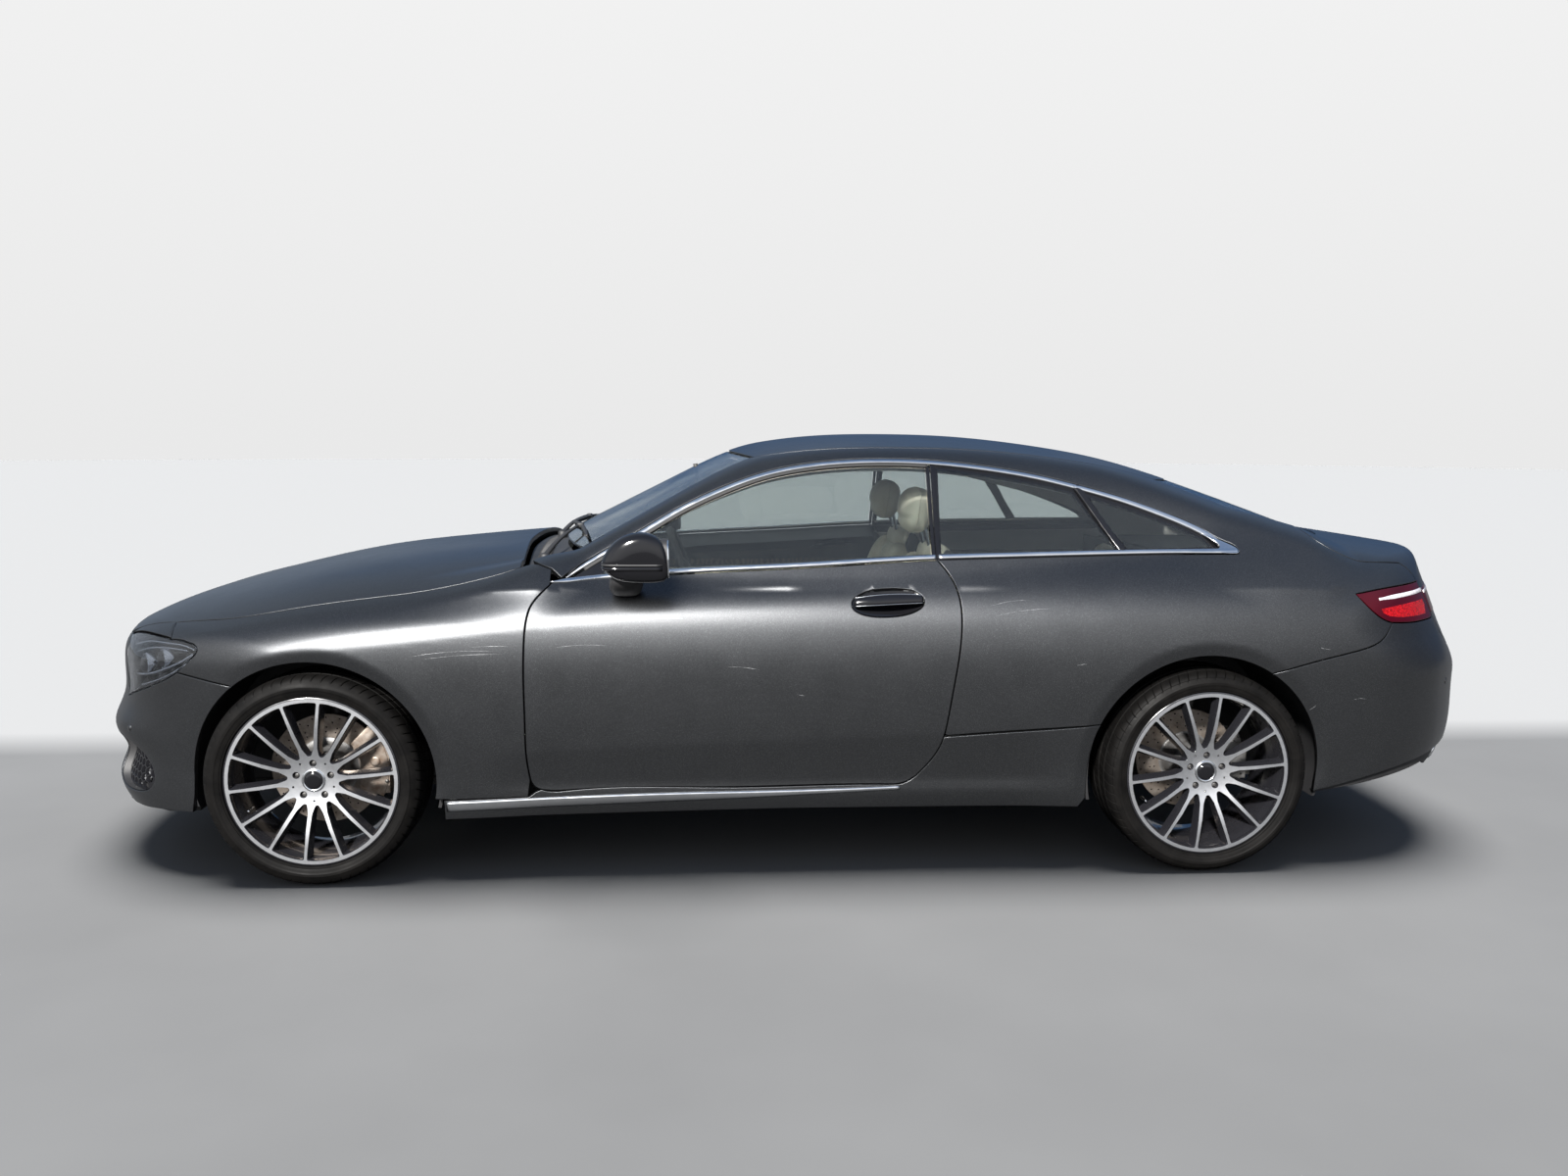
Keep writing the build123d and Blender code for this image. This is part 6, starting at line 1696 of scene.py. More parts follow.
# ------------------------------------------------------------------ nose openings: grille and intakes
def front_loop(pts, s=1, rad=0.02, spacing=0.012):
    """Closed outline (y, z) with rounded corners on the nose."""
    q = np.array(pts, float)
    for _ in range(3):
        a = 0.78 * q + 0.22 * np.roll(q, -1, 0)
        b = 0.22 * q + 0.78 * np.roll(q, -1, 0)
        q = np.stack([a, b], 1).reshape(-1, 2)
    q = np.concatenate([q, q[:1]])
    d = np.concatenate([[0], np.cumsum(np.hypot(*np.diff(q, axis=0).T))])
    t = np.arange(0, d[-1], spacing)
    q = np.stack([np.interp(t, d, q[:, 0]), np.interp(t, d, q[:, 1])], 1)
    q[:, 0] *= s
    return from_front(q)


GRILLE = [(-0.355, 0.684), (0.355, 0.684), (0.425, 0.630), (0.360, 0.462), (-0.360, 0.462), (-0.425, 0.630)]
LOWER = [(-0.440, 0.392), (0.440, 0.392), (0.480, 0.300), (0.435, 0.258), (-0.435, 0.258), (-0.480, 0.300)]
CORNER = [(0.545, 0.432), (0.700, 0.425), (0.768, 0.330), (0.745, 0.262), (0.575, 0.262), (0.535, 0.330)]


def honeycomb(name, loop_fn, pts, s, d, mat, cell=0.026, web=0.0045):
    """A moulded honeycomb d behind the surface."""
    f = offset_form(body, d)
    q = np.array(pts, float) * np.array([s, 1.0])
    outer = q.copy()
    for _ in range(2):
        a = 0.8 * outer + 0.2 * np.roll(outer, -1, 0)
        b = 0.2 * outer + 0.8 * np.roll(outer, -1, 0)
        outer = np.stack([a, b], 1).reshape(-1, 2)
    cen = outer.mean(0)
    outer = cen + (outer - cen) * 1.05
    test = cen + (outer - cen) * 0.93
    cells = []
    lo, hi = outer.min(0), outer.max(0)
    r = cell / math.sqrt(3)
    row = 0
    z = lo[1]
    while z < hi[1]:
        y = lo[0] + (0.5 * cell if row % 2 else 0)
        while y < hi[0]:
            h = np.array([(y + (r - web * 0.6) * math.sin(k * math.pi / 3), z + (r - web * 0.6) * math.cos(k * math.pi / 3)) for k in range(6)])
            if inside(h, [test]).all():
                cells.append(h)
            y += cell
        z += 1.5 * r
        row += 1
    vv, tri = cdt_faces([outer] + cells)
    n = len(vv)
    o = np.stack([np.full(n, 0.1), vv[:, 0], vv[:, 1]], 1)
    p = cast(f, o, np.tile([-1.0, 0.0, 0.0], (n, 1)), 0.0, 1.2)
    nn = gradient(body, p)
    verts = [p, p + np.array([0.010, 0, 0])]
    faces = [t for t in tri] + [[i + n for i in t[::-1]] for t in tri]
    base = len(outer)
    for c in cells:
        k = len(c)
        for i in range(k):
            j = (i + 1) % k
            faces.append((base + i, base + j, base + j + n, base + i + n))
        base += k
    ob = make_mesh(name, np.concatenate(verts), faces, None, [mat], None, False)
    fix_normals(ob)
    back = make_mesh(name + "_dark", p + np.array([0.030, 0, 0]), [t for t in cdt_faces([outer])[1]] if False else [t for t in tri], None, [BLACK])
    return join_objects(name, [ob, back])


bpy.data.objects.remove(front_bumper)
PIECES.pop("front_bumper_skin", None)
holes = [front_loop(GRILLE), front_loop(LOWER), front_loop(CORNER), front_loop(CORNER, -1)]
front_bumper = panel("front_bumper_skin", NOSE, [bumper_front()] + holes, PAINT, depth=DEPTH)
for i, (pts, s, d) in enumerate(((LOWER, 1, 0.030), (CORNER, 1, 0.024), (CORNER, -1, 0.024))):
    lp = front_loop(pts, s)
    ob = honeycomb("intake_mesh_%d" % i, front_loop, pts, s, d, GLOSS)
    place(ob, "body", "black_trim", *(["grille"] if i == 0 else []))
    bk = from_front(lp[:, 1:], offset_form(body, d + 0.004))
    place(band("intake_wall_%d" % i, lp - gradient(body, lp) * 0.004, bk, BLACK), "body", "black_trim")
lp = front_loop(GRILLE)
bk = from_front(lp[:, 1:], offset_form(body, 0.055))
place(band("grille_wall", lp - gradient(body, lp) * 0.004, bk, GLOSS), "body", "black_trim")
place(sweep("grille_frame", np.concatenate([lp, lp[:1]]), lens_profile(0.016, 0.005, 0.008, 9), CHROME, cap=False), "body", "steel")
# slats and a bare dark backing
bits = []
for k, z in enumerate((0.500, 0.538, 0.576, 0.614, 0.652)):
    yy = 0.400 - 0.0 * k
    lim = np.interp(z, [0.462, 0.630, 0.684], [0.352, 0.418, 0.350]) - 0.004
    c3 = from_front(np.stack([np.linspace(-lim, lim, 70), np.full(70, z)], 1), offset_form(body, 0.020))
    nrm = np.tile([-1.0, 0, 0], (70, 1))
    acr = np.tile([0, 0, 1.0], (70, 1))
    bits.append(sweep("slat%d" % k, c3, [(-0.0065, -0.004), (-0.006, 0.002), (0.0, 0.005), (0.006, 0.002), (0.0065, -0.004), (0.0, -0.020)], GLOSS if k != 2 else CHROME, n=nrm, b=acr))
yy, zz = np.meshgrid(np.linspace(-0.43, 0.43, 60), np.linspace(0.455, 0.69, 14))
pp = from_front(np.stack([yy.ravel(), zz.ravel()], 1), offset_form(body, 0.052))
fc = [(r_ * 60 + c, r_ * 60 + c + 1, (r_ + 1) * 60 + c + 1, (r_ + 1) * 60 + c) for r_ in range(13) for c in range(59)]
bits.append(make_mesh("grille_back", pp, fc, None, [BLACK]))
# upright ribs behind the slats
for k in range(-9, 10):
    y = k * 0.041
    zlo, zhi = 0.47, (0.675 if abs(y) < 0.33 else 0.655)
    c3 = from_front(np.stack([np.full(16, y), np.linspace(zlo, zhi, 16)], 1), offset_form(body, 0.040))
    bits.append(sweep("rib%d" % k, c3, [(-0.002, -0.006), (-0.002, 0.006), (0.002, 0.006), (0.002, -0.006)], BLACK, n=np.tile([-1.0, 0, 0], (16, 1)), b=np.tile([0, 1.0, 0], (16, 1))))
place(join_objects("grille_slats", bits), "body", "black_trim")
# number plate plinths: the loop below draws nothing
for tag, fn, y0, zc, hy, hz, mt in (("front_plate_plinth", from_front, 0.0, 0.426, 0.262, 0.026, BLACK),):
    pass

# ------------------------------------------------------------------ round parking sensors
for i, (sy, q) in enumerate(((-1, (-0.640, 0.470)), (1, (-0.640, 0.470)), (-1, (3.775, 0.600)), (1, (3.775, 0.600)))):
    p0 = from_side(np.array([q]), sy)[0]
    n0 = gradient(body, p0[None])[0]
    e1 = np.cross(n0, [0, 0, 1.0])
    e1 /= np.linalg.norm(e1)
    e2 = np.cross(n0, e1)
    t = np.linspace(0, 2 * math.pi, 28, endpoint=False)
    pr = np.array([(0.0125, -0.002), (0.0125, 0.0004), (0.0115, 0.0008), (0.0110, -0.0004), (0.0098, -0.0004), (0.0092, 0.0010), (0.0, 0.0016)])
    v = p0 + (np.cos(t)[:, None, None] * pr[None, :, :1] * e1 + np.sin(t)[:, None, None] * pr[None, :, :1] * e2 + pr[None, :, 1:] * n0)
    k = len(pr)
    fc = [(a * k + b_, ((a + 1) % 28) * k + b_, ((a + 1) % 28) * k + b_ + 1, a * k + b_ + 1) for a in range(28) for b_ in range(k - 1)]
    fm = [1 if b_ in (2, 3) else 0 for a in range(28) for b_ in range(k - 1)]
    o = make_mesh("sensor_%d" % i, v.reshape(-1, 3), fc, None, [PAINT, BLACK], fm)
    fix_normals(o)
    place(o, "body", "body_paint")

# ------------------------------------------------------------------ door handles
HX, HZ = 1.814, 0.8975
for s, nm, net in SIDES:
    el = ellipse(HX, HZ, 0.116, 0.0425, 64, 2.15)
    el[:, 1] += (el[:, 0] - HX) * 0.045
    ell = from_side(el, s)
    old = SK[nm, "door"]
    bpy.data.objects.remove(old)
    PIECES.pop(nm + "_door_skin", None)
    SK[nm, "door"] = panel(nm + "_door_skin", net, [door_loop(s), ell], PAINT, depth=DEPTH, spacing=0.013, gap=0.002)
    bf = bowl(offset_form(body, 0.002), None, (HX, HZ, 0.120, 0.0465), 0.024, 2.4)
    el2 = ellipse(HX, HZ, 0.1145, 0.0410, 64, 2.15)
    el2[:, 1] += (el2[:, 0] - HX) * 0.045
    place(panel(nm + "_handle_cup", net, [from_side(el2, s, bf)], GLOSS, form=bf, gap=-0.003, lip=0.0006, depth=0.002, spacing=0.008), nm + "_door", "body_paint")
    # grip bar with its bright edge
    xs = np.linspace(HX - 0.108, HX + 0.110, 40)
    u = (xs - HX) / 0.112
    c3 = from_side(np.stack([xs, HZ + 0.004 + (xs - HX) * 0.045], 1), s)
    lift = 0.004 + 0.012 * (1 - np.abs(u) ** 2.2)
    c3 = c3 + gradient(body, c3) * lift[:, None]
    wid = 0.0135 + 0.0045 * (1 - np.abs(u) ** 2)
    prof = [(-1.0, -0.2), (-0.96, 0.22), (-0.62, 0.50), (0.0, 0.62), (0.62, 0.50), (0.96, 0.22), (1.0, -0.2), (0.6, -0.55), (-0.6, -0.55)]
    place(sweep(nm + "_handle_bar", c3, np.array(prof) * np.array([1.0, 0.012]), GLOSS, scale=np.stack([wid, np.ones(40)], 1)), nm + "_door", "body_paint")
    for sg, ww in ((1, 0.0011), (-1, 0.0011)):
        n3 = gradient(body, c3)
        _, _, b3 = frame_on(c3)
        e3 = c3 + b3 * (sg * wid * 0.97)[:, None] + n3 * 0.0022
        place(sweep(nm + "_handle_edge%d" % (sg + 1), e3, [(-ww, -0.0016), (-ww * 0.6, 0.0012), (ww * 0.6, 0.0012), (ww, -0.0016)], CHROME), nm + "_door", "steel")


# ------------------------------------------------------------------ mirrors
def loft_xz(name, sections, mat, mats=None, pick=None, smooth=True, caps=True):
    """Closed side-view outlines (x, z) at steps of y."""
    k = len(sections[0][1])
    v = np.concatenate([np.stack([q[:, 0], np.full(k, y), q[:, 1]], 1) for y, q in sections])
    faces, fm = [], []
    for i in range(len(sections) - 1):
        for c in range(k):
            d = (c + 1) % k
            f = (i * k + c, i * k + d, (i + 1) * k + d, (i + 1) * k + c)
            faces.append(f)
            fm.append(pick(v[list(f)].mean(0)) if pick else 0)
    if caps:
        for i in (0, len(sections) - 1):
            q = v[i * k:(i + 1) * k]
            c = len(v)
            v = np.concatenate([v, q.mean(0)[None]])
            for a in range(k):
                faces.append((i * k + a, i * k + (a + 1) % k, c))
                fm.append(pick(q.mean(0)) if pick else 0)
    ob = make_mesh(name, v, faces, None, mats or [mat], fm, smooth)
    fix_normals(ob)
    return ob


def closed_smooth(pts, n=64, rounds=3):
    q = np.array(pts, float)
    for _ in range(rounds):
        a = 0.75 * q + 0.25 * np.roll(q, -1, 0)
        b = 0.25 * q + 0.75 * np.roll(q, -1, 0)
        q = np.stack([a, b], 1).reshape(-1, 2)
    q = np.concatenate([q, q[:1]])
    d = np.concatenate([[0], np.cumsum(np.hypot(*np.diff(q, axis=0).T))])
    t = np.linspace(0, d[-1], n, endpoint=False)
    return np.stack([np.interp(t, d, q[:, 0]), np.interp(t, d, q[:, 1])], 1)


MIR = closed_smooth([(0.912, 1.040), (0.932, 1.078), (0.962, 1.110), (1.000, 1.128), (1.045, 1.133), (1.090, 1.118), (1.112, 1.080), (1.119, 1.030), (1.117, 0.984), (1.080, 0.9765), (1.000, 0.977), (0.960, 0.984), (0.925, 1.008)], 72, 3)
mc = np.array([1.030, 1.046])
for s, nm, net in SIDES:
    secs = []
    for y, k, dx in ((0.898, 0.30, 0.0), (0.902, 0.62, 0.0), (0.912, 0.80, 0.0), (0.930, 0.92, 0.0), (0.955, 0.985, 0.0), (0.980, 1.0, 0.0), (1.000, 0.975, 0.002), (1.013, 0.90, 0.006), (1.020, 0.78, 0.010), (1.024, 0.58, 0.014), (1.0255, 0.30, 0.016)):
        q = mc + (MIR - mc) * np.array([1 - (1 - k) * 0.72, k])
        q[:, 0] += dx
        secs.append((s * y, q))
    shell = loft_xz(nm + "_mirror_shell", secs, GLOSS)
    # two beads round the shell at its waist
    low = []
    for y, k, dx in ((0.915, 0.79, 0.0), (0.935, 0.93, 0.0), (0.960, 1.0, 0.0), (0.985, 1.012, 0.0), (1.004, 0.985, 0.002), (1.016, 0.91, 0.006), (1.023, 0.79, 0.010), (1.0262, 0.60, 0.014)):
        q = mc + (MIR - mc) * np.array([1 - (1 - k) * 0.72, k])
        q[:, 0] += dx
        j0 = np.argmin(q[:, 0] + np.where(q[:, 1] < 1.05, 0, 9))
        low.append((s * y, q))
    bits = [shell]
    for zc, hz, pr, mt in ((1.0335, 0.0036, 1.014, BLACK), (1.022, 0.0060, 1.020, GLOSS)):
        ring = []
        y_out = [q for q in low]
        # a bead following the shell at a fixed height, from the rear edge round the nose
        path = []
        for y, q in low:
            pass
        xs_front = []
        for y, q in low:
            a = q[np.argsort(np.abs(q[:, 1] - zc))[:4]]
            xs_front.append((y, a[:, 0].min(), a[:, 0].max()))
        pts = [(xf, y, zc) for y, xf, xr in xs_front] + [(xr - 0.006, y, zc) for y, xf, xr in xs_front[::-1][:1]]
        pts = np.array(pts)
        c3 = np.stack([np.interp(np.linspace(0, 1, 60), np.linspace(0, 1, len(pts)), pts[:, i]) for i in range(3)], 1)
        for _ in range(3):
            c3[1:-1] = 0.25 * c3[:-2] + 0.5 * c3[1:-1] + 0.25 * c3[2:]
        c0 = np.array([1.03, s * 0.93, zc])
        nn = c3 - c0
        nn[:, 2] = 0
        nn /= np.linalg.norm(nn, axis=1, keepdims=True)
        bits.append(sweep(nm + "_mir_bead%d" % int(zc * 1000), c3, [(-hz, -0.004), (-hz * 0.8, 0.0010), (hz * 0.8, 0.0010), (hz, -0.004)], mt, n=nn, b=np.tile([0, 0, 1.0], (60, 1))))
    place(join_objects(nm + "_mirror_housing", bits), nm + "_door", "black_trim", nm + "_mirror")
    # glass in the rear face
    gl = closed_smooth([(0.925, 1.096), (0.950, 1.108), (0.995, 1.104), (1.012, 1.080), (1.014, 1.010), (1.000, 0.992), (0.940, 0.992), (0.922, 1.010)], 48, 3)
    gy, gz = gl[:, 0] * s, gl[:, 1]
    cen = np.array([gy.mean(), gz.mean()])
    for tag, mt, x0, k in (("bezel", BLACK, 1.1165, 1.055), ("glass", MIRRORGLASS, 1.1205, 1.0)):
        yy = cen[0] + (gy - cen[0]) * k
        zz = cen[1] + (gz - cen[1]) * k
        lean = (1.05 - zz) * 0.03
        v = np.concatenate([np.stack([x0 - 0.03 + 0 * yy, yy, zz], 1), np.stack([x0 + lean, yy, zz], 1), [[x0 + 0.0015, cen[0], cen[1]]]])
        n = len(yy)
        f = [(i, (i + 1) % n, (i + 1) % n + n, i + n) for i in range(n)] + [(i + n, (i + 1) % n + n, 2 * n) for i in range(n)]
        o = make_mesh(nm + "_mirror_" + tag, v, f, None, [mt])
        fix_normals(o)
        sharp(o, 30)
        place(o, nm + "_door", "black_trim")
    # foot on the door
    foot = closed_smooth([(0.934, 0.935), (0.934, 0.985), (0.960, 1.004), (1.030, 1.004), (1.040, 0.985), (1.030, 0.937), (0.985, 0.930)], 48, 2)
    fc = foot.mean(0)
    secs = []
    for y, k, dz in ((0.846, 0.94, -0.018), (0.880, 1.0, -0.010), (0.915, 1.02, 0.0), (0.940, 0.96, 0.010), (0.962, 0.84, 0.020), (0.975, 0.60, 0.026)):
        q = fc + (foot - fc) * k
        q[:, 1] += dz
        secs.append((s * y, q))
    place(loft_xz(nm + "_mirror_foot", secs, BLACK), nm + "_door", "black_trim")

# ------------------------------------------------------------------ cowl, wipers
FOOT_PTS = [(0.722, 0.0), (0.736, 0.25), (0.780, 0.50), (0.818, 0.630), (0.828, 0.655)]
for key in ("windscreen_pane", "windscreen_edge"):
    bpy.data.objects.remove(PIECES.pop(key))
scr = mirror_loop([up_top(FOOT_PTS), up_top([(0.828, 0.655), (1.00, 0.610), (1.20, 0.553), (1.388, 0.494)]), up_top([(1.388, 0.494), (1.366, 0.42), (1.341, 0.30), (1.320, 0.14), (1.315, 0.0)])])
place(panel("windscreen_pane", HI, [scr], SCREEN, form=SC_F, gap=0.002, lip=0.0008, depth=0.005, thick=0.005, spacing=0.02), "body", "tinted_glass", "windscreen")
frit_in = mirror_loop([up_top([(0.775, 0.0), (0.790, 0.25), (0.832, 0.50), (0.862, 0.612)]), up_top([(0.862, 0.612), (1.00, 0.580), (1.20, 0.523), (1.352, 0.474)]), up_top([(1.352, 0.474), (1.325, 0.30), (1.302, 0.14), (1.297, 0.0)])])
place(panel("windscreen_edge", HI, [scr, frit_in], GLOSS, form=offset_form(body_up, 0.0095), gap=0.003, lip=0.0004, depth=0.001, spacing=0.02), "body", "black_trim")
cowl_f = offset_form(body, 0.030)
cowl_loop = mirror_loop([up_top([(0.611, 0.0), (0.616, 0.20), (0.629, 0.40), (0.641, 0.58), (0.650, 0.735)], f=body), up_top([(0.650, 0.735), (0.70, 0.728), (0.745, 0.705), (0.800, 0.676), (0.826, 0.660)], f=body), up_top(FOOT_PTS[::-1], f=body)])
cowl = panel("cowl_cover", TOP, [cowl_loop], BLACK, form=cowl_f, gap=-0.002, lip=0.002, depth=0.03, spacing=0.016)
bits = [cowl]
for k in range(-26, 27):
    y = k * 0.024
    if abs(y) < 0.30 or abs(y) > 0.60 or True:
        xa = np.interp(abs(y), [0, 0.4, 0.63], [0.640, 0.655, 0.668])
        c3 = up_top([(xa, y), (xa + 0.045, y)], f=cowl_f, spacing=0.01)
        bits.append(sweep("cowl_rib%d" % k, c3 + np.array([0, 0, 0.002]), [(-0.0028, -0.004), (-0.0022, 0.003), (0.0022, 0.003), (0.0028, -0.004)], BLACK, n=np.tile([0, 0, 1.0], (len(c3), 1)), b=np.tile([0, 1.0, 0], (len(c3), 1))))
place(join_objects("cowl_panel_ribbed", bits), "body", "black_trim", "cowl_panel")
bits = []
for j, (tip, heel, piv) in enumerate((((0.842, -0.600), (0.742, -0.030), (0.690, -0.545)), ((0.736, 0.060), (0.806, 0.560), (0.684, 0.050)))):
    t = np.linspace(0, 1, 60)
    xy = np.stack([tip[0] + (heel[0] - tip[0]) * t + 0.004 * np.sin(t * math.pi), tip[1] + (heel[1] - tip[1]) * t], 1)
    c3 = up_top([tuple(p) for p in xy[::6]] + [tuple(xy[-1])], f=body_up)
    n3 = gradient(body_up, c3)
    tt = np.gradient(c3, axis=0)
    tt /= np.linalg.norm(tt, axis=1, keepdims=True)
    b3 = np.cross(n3, tt)
    base = c3 + n3 * 0.0035
    bits.append(sweep("blade_rubber%d" % j, base, [(-0.0022, -0.003), (-0.0012, 0.008), (0.0012, 0.008), (0.0022, -0.003)], SEAL, n=n3, b=b3))
    bits.append(sweep("blade_top%d" % j, base + n3 * 0.0065, [(-0.0085, 0.0), (-0.0080, 0.0022), (-0.002, 0.0075), (0.003, 0.0060), (0.0075, 0.0008), (0.0075, 0.0)], BLACK, n=n3, b=b3, scale=np.stack([0.55 + 0.45 * np.sin(np.linspace(0.15, 3.0, len(c3))), np.ones(len(c3))], 1)))
    mid = c3[int(len(c3) * 0.47)] + n3[int(len(c3) * 0.47)] * 0.018
    pz = float(cast(body, np.array([[piv[0], piv[1], 0.8]]), np.array([[0, 0, 1.0]]), 0.0, 0.6)[0][2]) - 0.012
    p0 = np.array([piv[0], piv[1], pz])
    arm = smooth_line([tuple(p0), tuple(p0 * 0.72 + mid * 0.28 + np.array([0, 0, 0.012])), tuple(p0 * 0.35 + mid * 0.65 + np.array([0, 0, 0.010])), tuple(mid)], 0.008)
    ta = np.gradient(arm, axis=0)
    ta /= np.linalg.norm(ta, axis=1, keepdims=True)
    up_ = np.tile([0.0, 0.0, 1.0], (len(arm), 1))
    up_ = up_ - ta * np.sum(up_ * ta, 1, keepdims=True)
    up_ /= np.linalg.norm(up_, axis=1, keepdims=True)
    bits.append(sweep("wiper_arm%d" % j, arm, [(-0.009, -0.003), (-0.0085, 0.003), (-0.005, 0.0055), (0.005, 0.0055), (0.0085, 0.003), (0.009, -0.003)], BLACK, n=up_, b=np.cross(up_, ta), scale=np.stack([np.linspace(1.15, 0.55, len(arm)), np.linspace(1.2, 0.8, len(arm))], 1)))
    ang = np.linspace(0, 2 * math.pi, 24, endpoint=False)
    pr = np.array([(0.018, -0.020), (0.018, 0.002), (0.015, 0.008), (0.008, 0.011), (0.0, 0.012)])
    v = p0 + np.stack([np.cos(ang)[:, None] * pr[None, :, 0], np.sin(ang)[:, None] * pr[None, :, 0], np.tile(pr[:, 1], (24, 1))], 2)
    fcs = [(a * 5 + b_, ((a + 1) % 24) * 5 + b_, ((a + 1) % 24) * 5 + b_ + 1, a * 5 + b_ + 1) for a in range(24) for b_ in range(4)]
    o = make_mesh("wiper_cap%d" % j, v.reshape(-1, 3), fcs, None, [BLACK])
    fix_normals(o)
    bits.append(o)
    bits.append(brick("wiper_clip%d" % j, mid[0] - 0.010, mid[0] + 0.010, mid[1] - 0.022, mid[1] + 0.022, mid[2] - 0.012, mid[2] + 0.004, BLACK, 0.003))
place(join_objects("wiper_pair", bits), "body", "black_trim", "wipers")

# ------------------------------------------------------------------ rear valance, exhaust tips
up_run = from_rear(poly([(0.0, 0.3785), (-0.30, 0.3785), (-0.60, 0.3775), (-0.66, 0.3745)], 0.012))
side_up = S([(3.80, 0.3715), (3.633, 0.3445), (3.473, 0.3135), (3.333, 0.2805), (3.262, 0.2625)], -1)
low_side = S([(3.262, 0.2590), (3.40, 0.2780), (3.58, 0.3040), (3.74, 0.3260)], -1)
low_rear = from_rear(poly([(-0.74, 0.318), (-0.66, 0.292), (-0.60, 0.276), (-0.50, 0.268), (-0.30, 0.263), (0.0, 0.261)], 0.012))
half = [up_run, side_up, low_side, low_rear]
vloop = join(*half, *[flip(h)[::-1] for h in half[::-1]])
VF = offset_form(body, 0.016)
vloop = on_form(TAIL, vloop, VF)
tip_holes = []
for s in (-1, 1):
    q = closed_smooth([(s * 0.395, 0.288), (s * 0.395, 0.346), (s * 0.596, 0.348), (s * 0.606, 0.306), (s * 0.575, 0.290)], 60, 3)
    tip_holes.append(from_rear(q, VF))
val = panel("rear_valance_skin", TAIL, [vloop] + tip_holes, BLACK, form=VF, gap=-0.004, lip=0.003, depth=0.02, spacing=0.018)
bits = [val]
for s in (-1, 1):
    h = tip_holes[0 if s < 0 else 1]
    cen = h.mean(0)
    n3 = gradient(VF, h)
    ring = np.concatenate([h, h[:1]])
    bits.append(sweep("tip_frame%d" % s, ring, [(-0.007, -0.006), (-0.0065, 0.003), (0.0, 0.0065), (0.0065, 0.003), (0.007, -0.006)], CHROME, cap=False))
    back = h.copy()
    back[:, 0] = back[:, 0] * 0 + 3.700
    back[:, 1:] = cen[1:] + (h[:, 1:] - cen[1:]) * 0.90
    bits.append(band("tip_wall%d" % s, h - n3 * 0.004, back, STEEL, rows=3))
    v = np.concatenate([back, back.mean(0)[None]])
    n = len(back)
    bits.append(make_mesh("tip_end%d" % s, v, [(i, (i + 1) % n, n) for i in range(n)], None, [BLACK]))
# fins of the diffuser
for k in (-2, -1, 0, 1, 2):
    y = k * 0.115
    c3 = from_rear(np.stack([np.full(14, y), np.linspace(0.270, 0.356, 14)], 1), VF)
    bits.append(sweep("fin%d" % k, c3, [(-0.004, -0.010), (-0.0025, 0.012), (0.0025, 0.012), (0.004, -0.010)], BLACK, n=np.tile([1.0, 0, 0], (14, 1)), b=np.tile([0, 1.0, 0], (14, 1)), scale=np.stack([np.ones(14), np.linspace(1.25, 0.15, 14)], 1)))
place(join_objects("rear_valance_diffuser", bits), "body", "black_trim", "rear_valance")

# ------------------------------------------------------------------ calipers
for s, nm in ((-1, "left"), (1, "right")):
    fc_ = make_caliper("front_%s_caliper" % nm, 0.0, 0.340, s, 0.116, 0.204, 0.664, 0.768, -26.0, 46.0, CALIPER)
    place(fc_, "front_%s_knuckle" % nm, "cast_metal")
    rc = make_caliper("rear_%s_caliper" % nm, WB, 0.3365, s, 0.112, 0.190, 0.652, 0.752, -22.0, 34.0, CALIPER_R)
    place(rc, "body", "cast_metal")

# ------------------------------------------------------------------ blank number plates
def rrect(y0, y1, z0, z1, r, n=7):
    """A rectangle with rounded corners."""
    out = []
    for cy, cz, a0 in ((y1 - r, z0 + r, -90), (y1 - r, z1 - r, 0), (y0 + r, z1 - r, 90), (y0 + r, z0 + r, 180)):
        for a in np.radians(np.linspace(a0, a0 + 90, n)):
            out.append((cy + r * math.cos(a), cz + r * math.sin(a)))
    return np.array(out)


PLATE, nt, bs = material("blank_plate", (0.62, 0.62, 0.60), rough=0.42, spec=0.4)
nt.links.new(ramp(nt, noise(nt, 12.0, 4.0), (0.3, (0.56, 0.56, 0.54)), (0.75, (0.68, 0.68, 0.66))), bs.inputs["Base Color"])
xr = float(from_rear(np.array([[0.0, 0.775]]))[0][0])
pl = prism("rear_plate", rrect(-0.260, 0.260, 0.722, 0.832, 0.008), "x", xr - 0.012, xr + 0.006, PLATE, 0.0012)
place(pl, "boot_lid", "cabin_trim")
xf = float(from_front(np.array([[0.0, 0.426]]))[0][0])
pl = prism("front_plate", rrect(-0.260, 0.260, 0.370, 0.480, 0.008), "x", xf - 0.004, xf + 0.010, PLATE, 0.0012)
place(pl, "body", "cabin_trim")
pl = prism("front_plate_base", rrect(-0.272, 0.272, 0.360, 0.490, 0.014), "x", xf + 0.002, xf + 0.030, BLACK, 0.003)
place(pl, "body", "black_trim")
# pointed bright ends behind the rear corner panes
for s, nm, net in SIDES:
    q = np.array([(2.880, 1.112), (2.915, 1.099), (2.950, 1.085), (2.975, 1.0735), (2.995, 1.0630), (3.004, 1.0535), (3.000, 1.0450), (2.975, 1.0440), (2.925, 1.0470), (2.9250, 1.0560), (2.940, 1.060), (2.945, 1.068), (2.930, 1.082)])
    lp = from_side(closed_smooth(q, 70, 2), s)
    place(panel(nm + "_trim_corner", net, [lp], CHROME, gap=0.0, lip=0.0020, depth=0.008, spacing=0.006, lift=0.0036), "body", "steel")

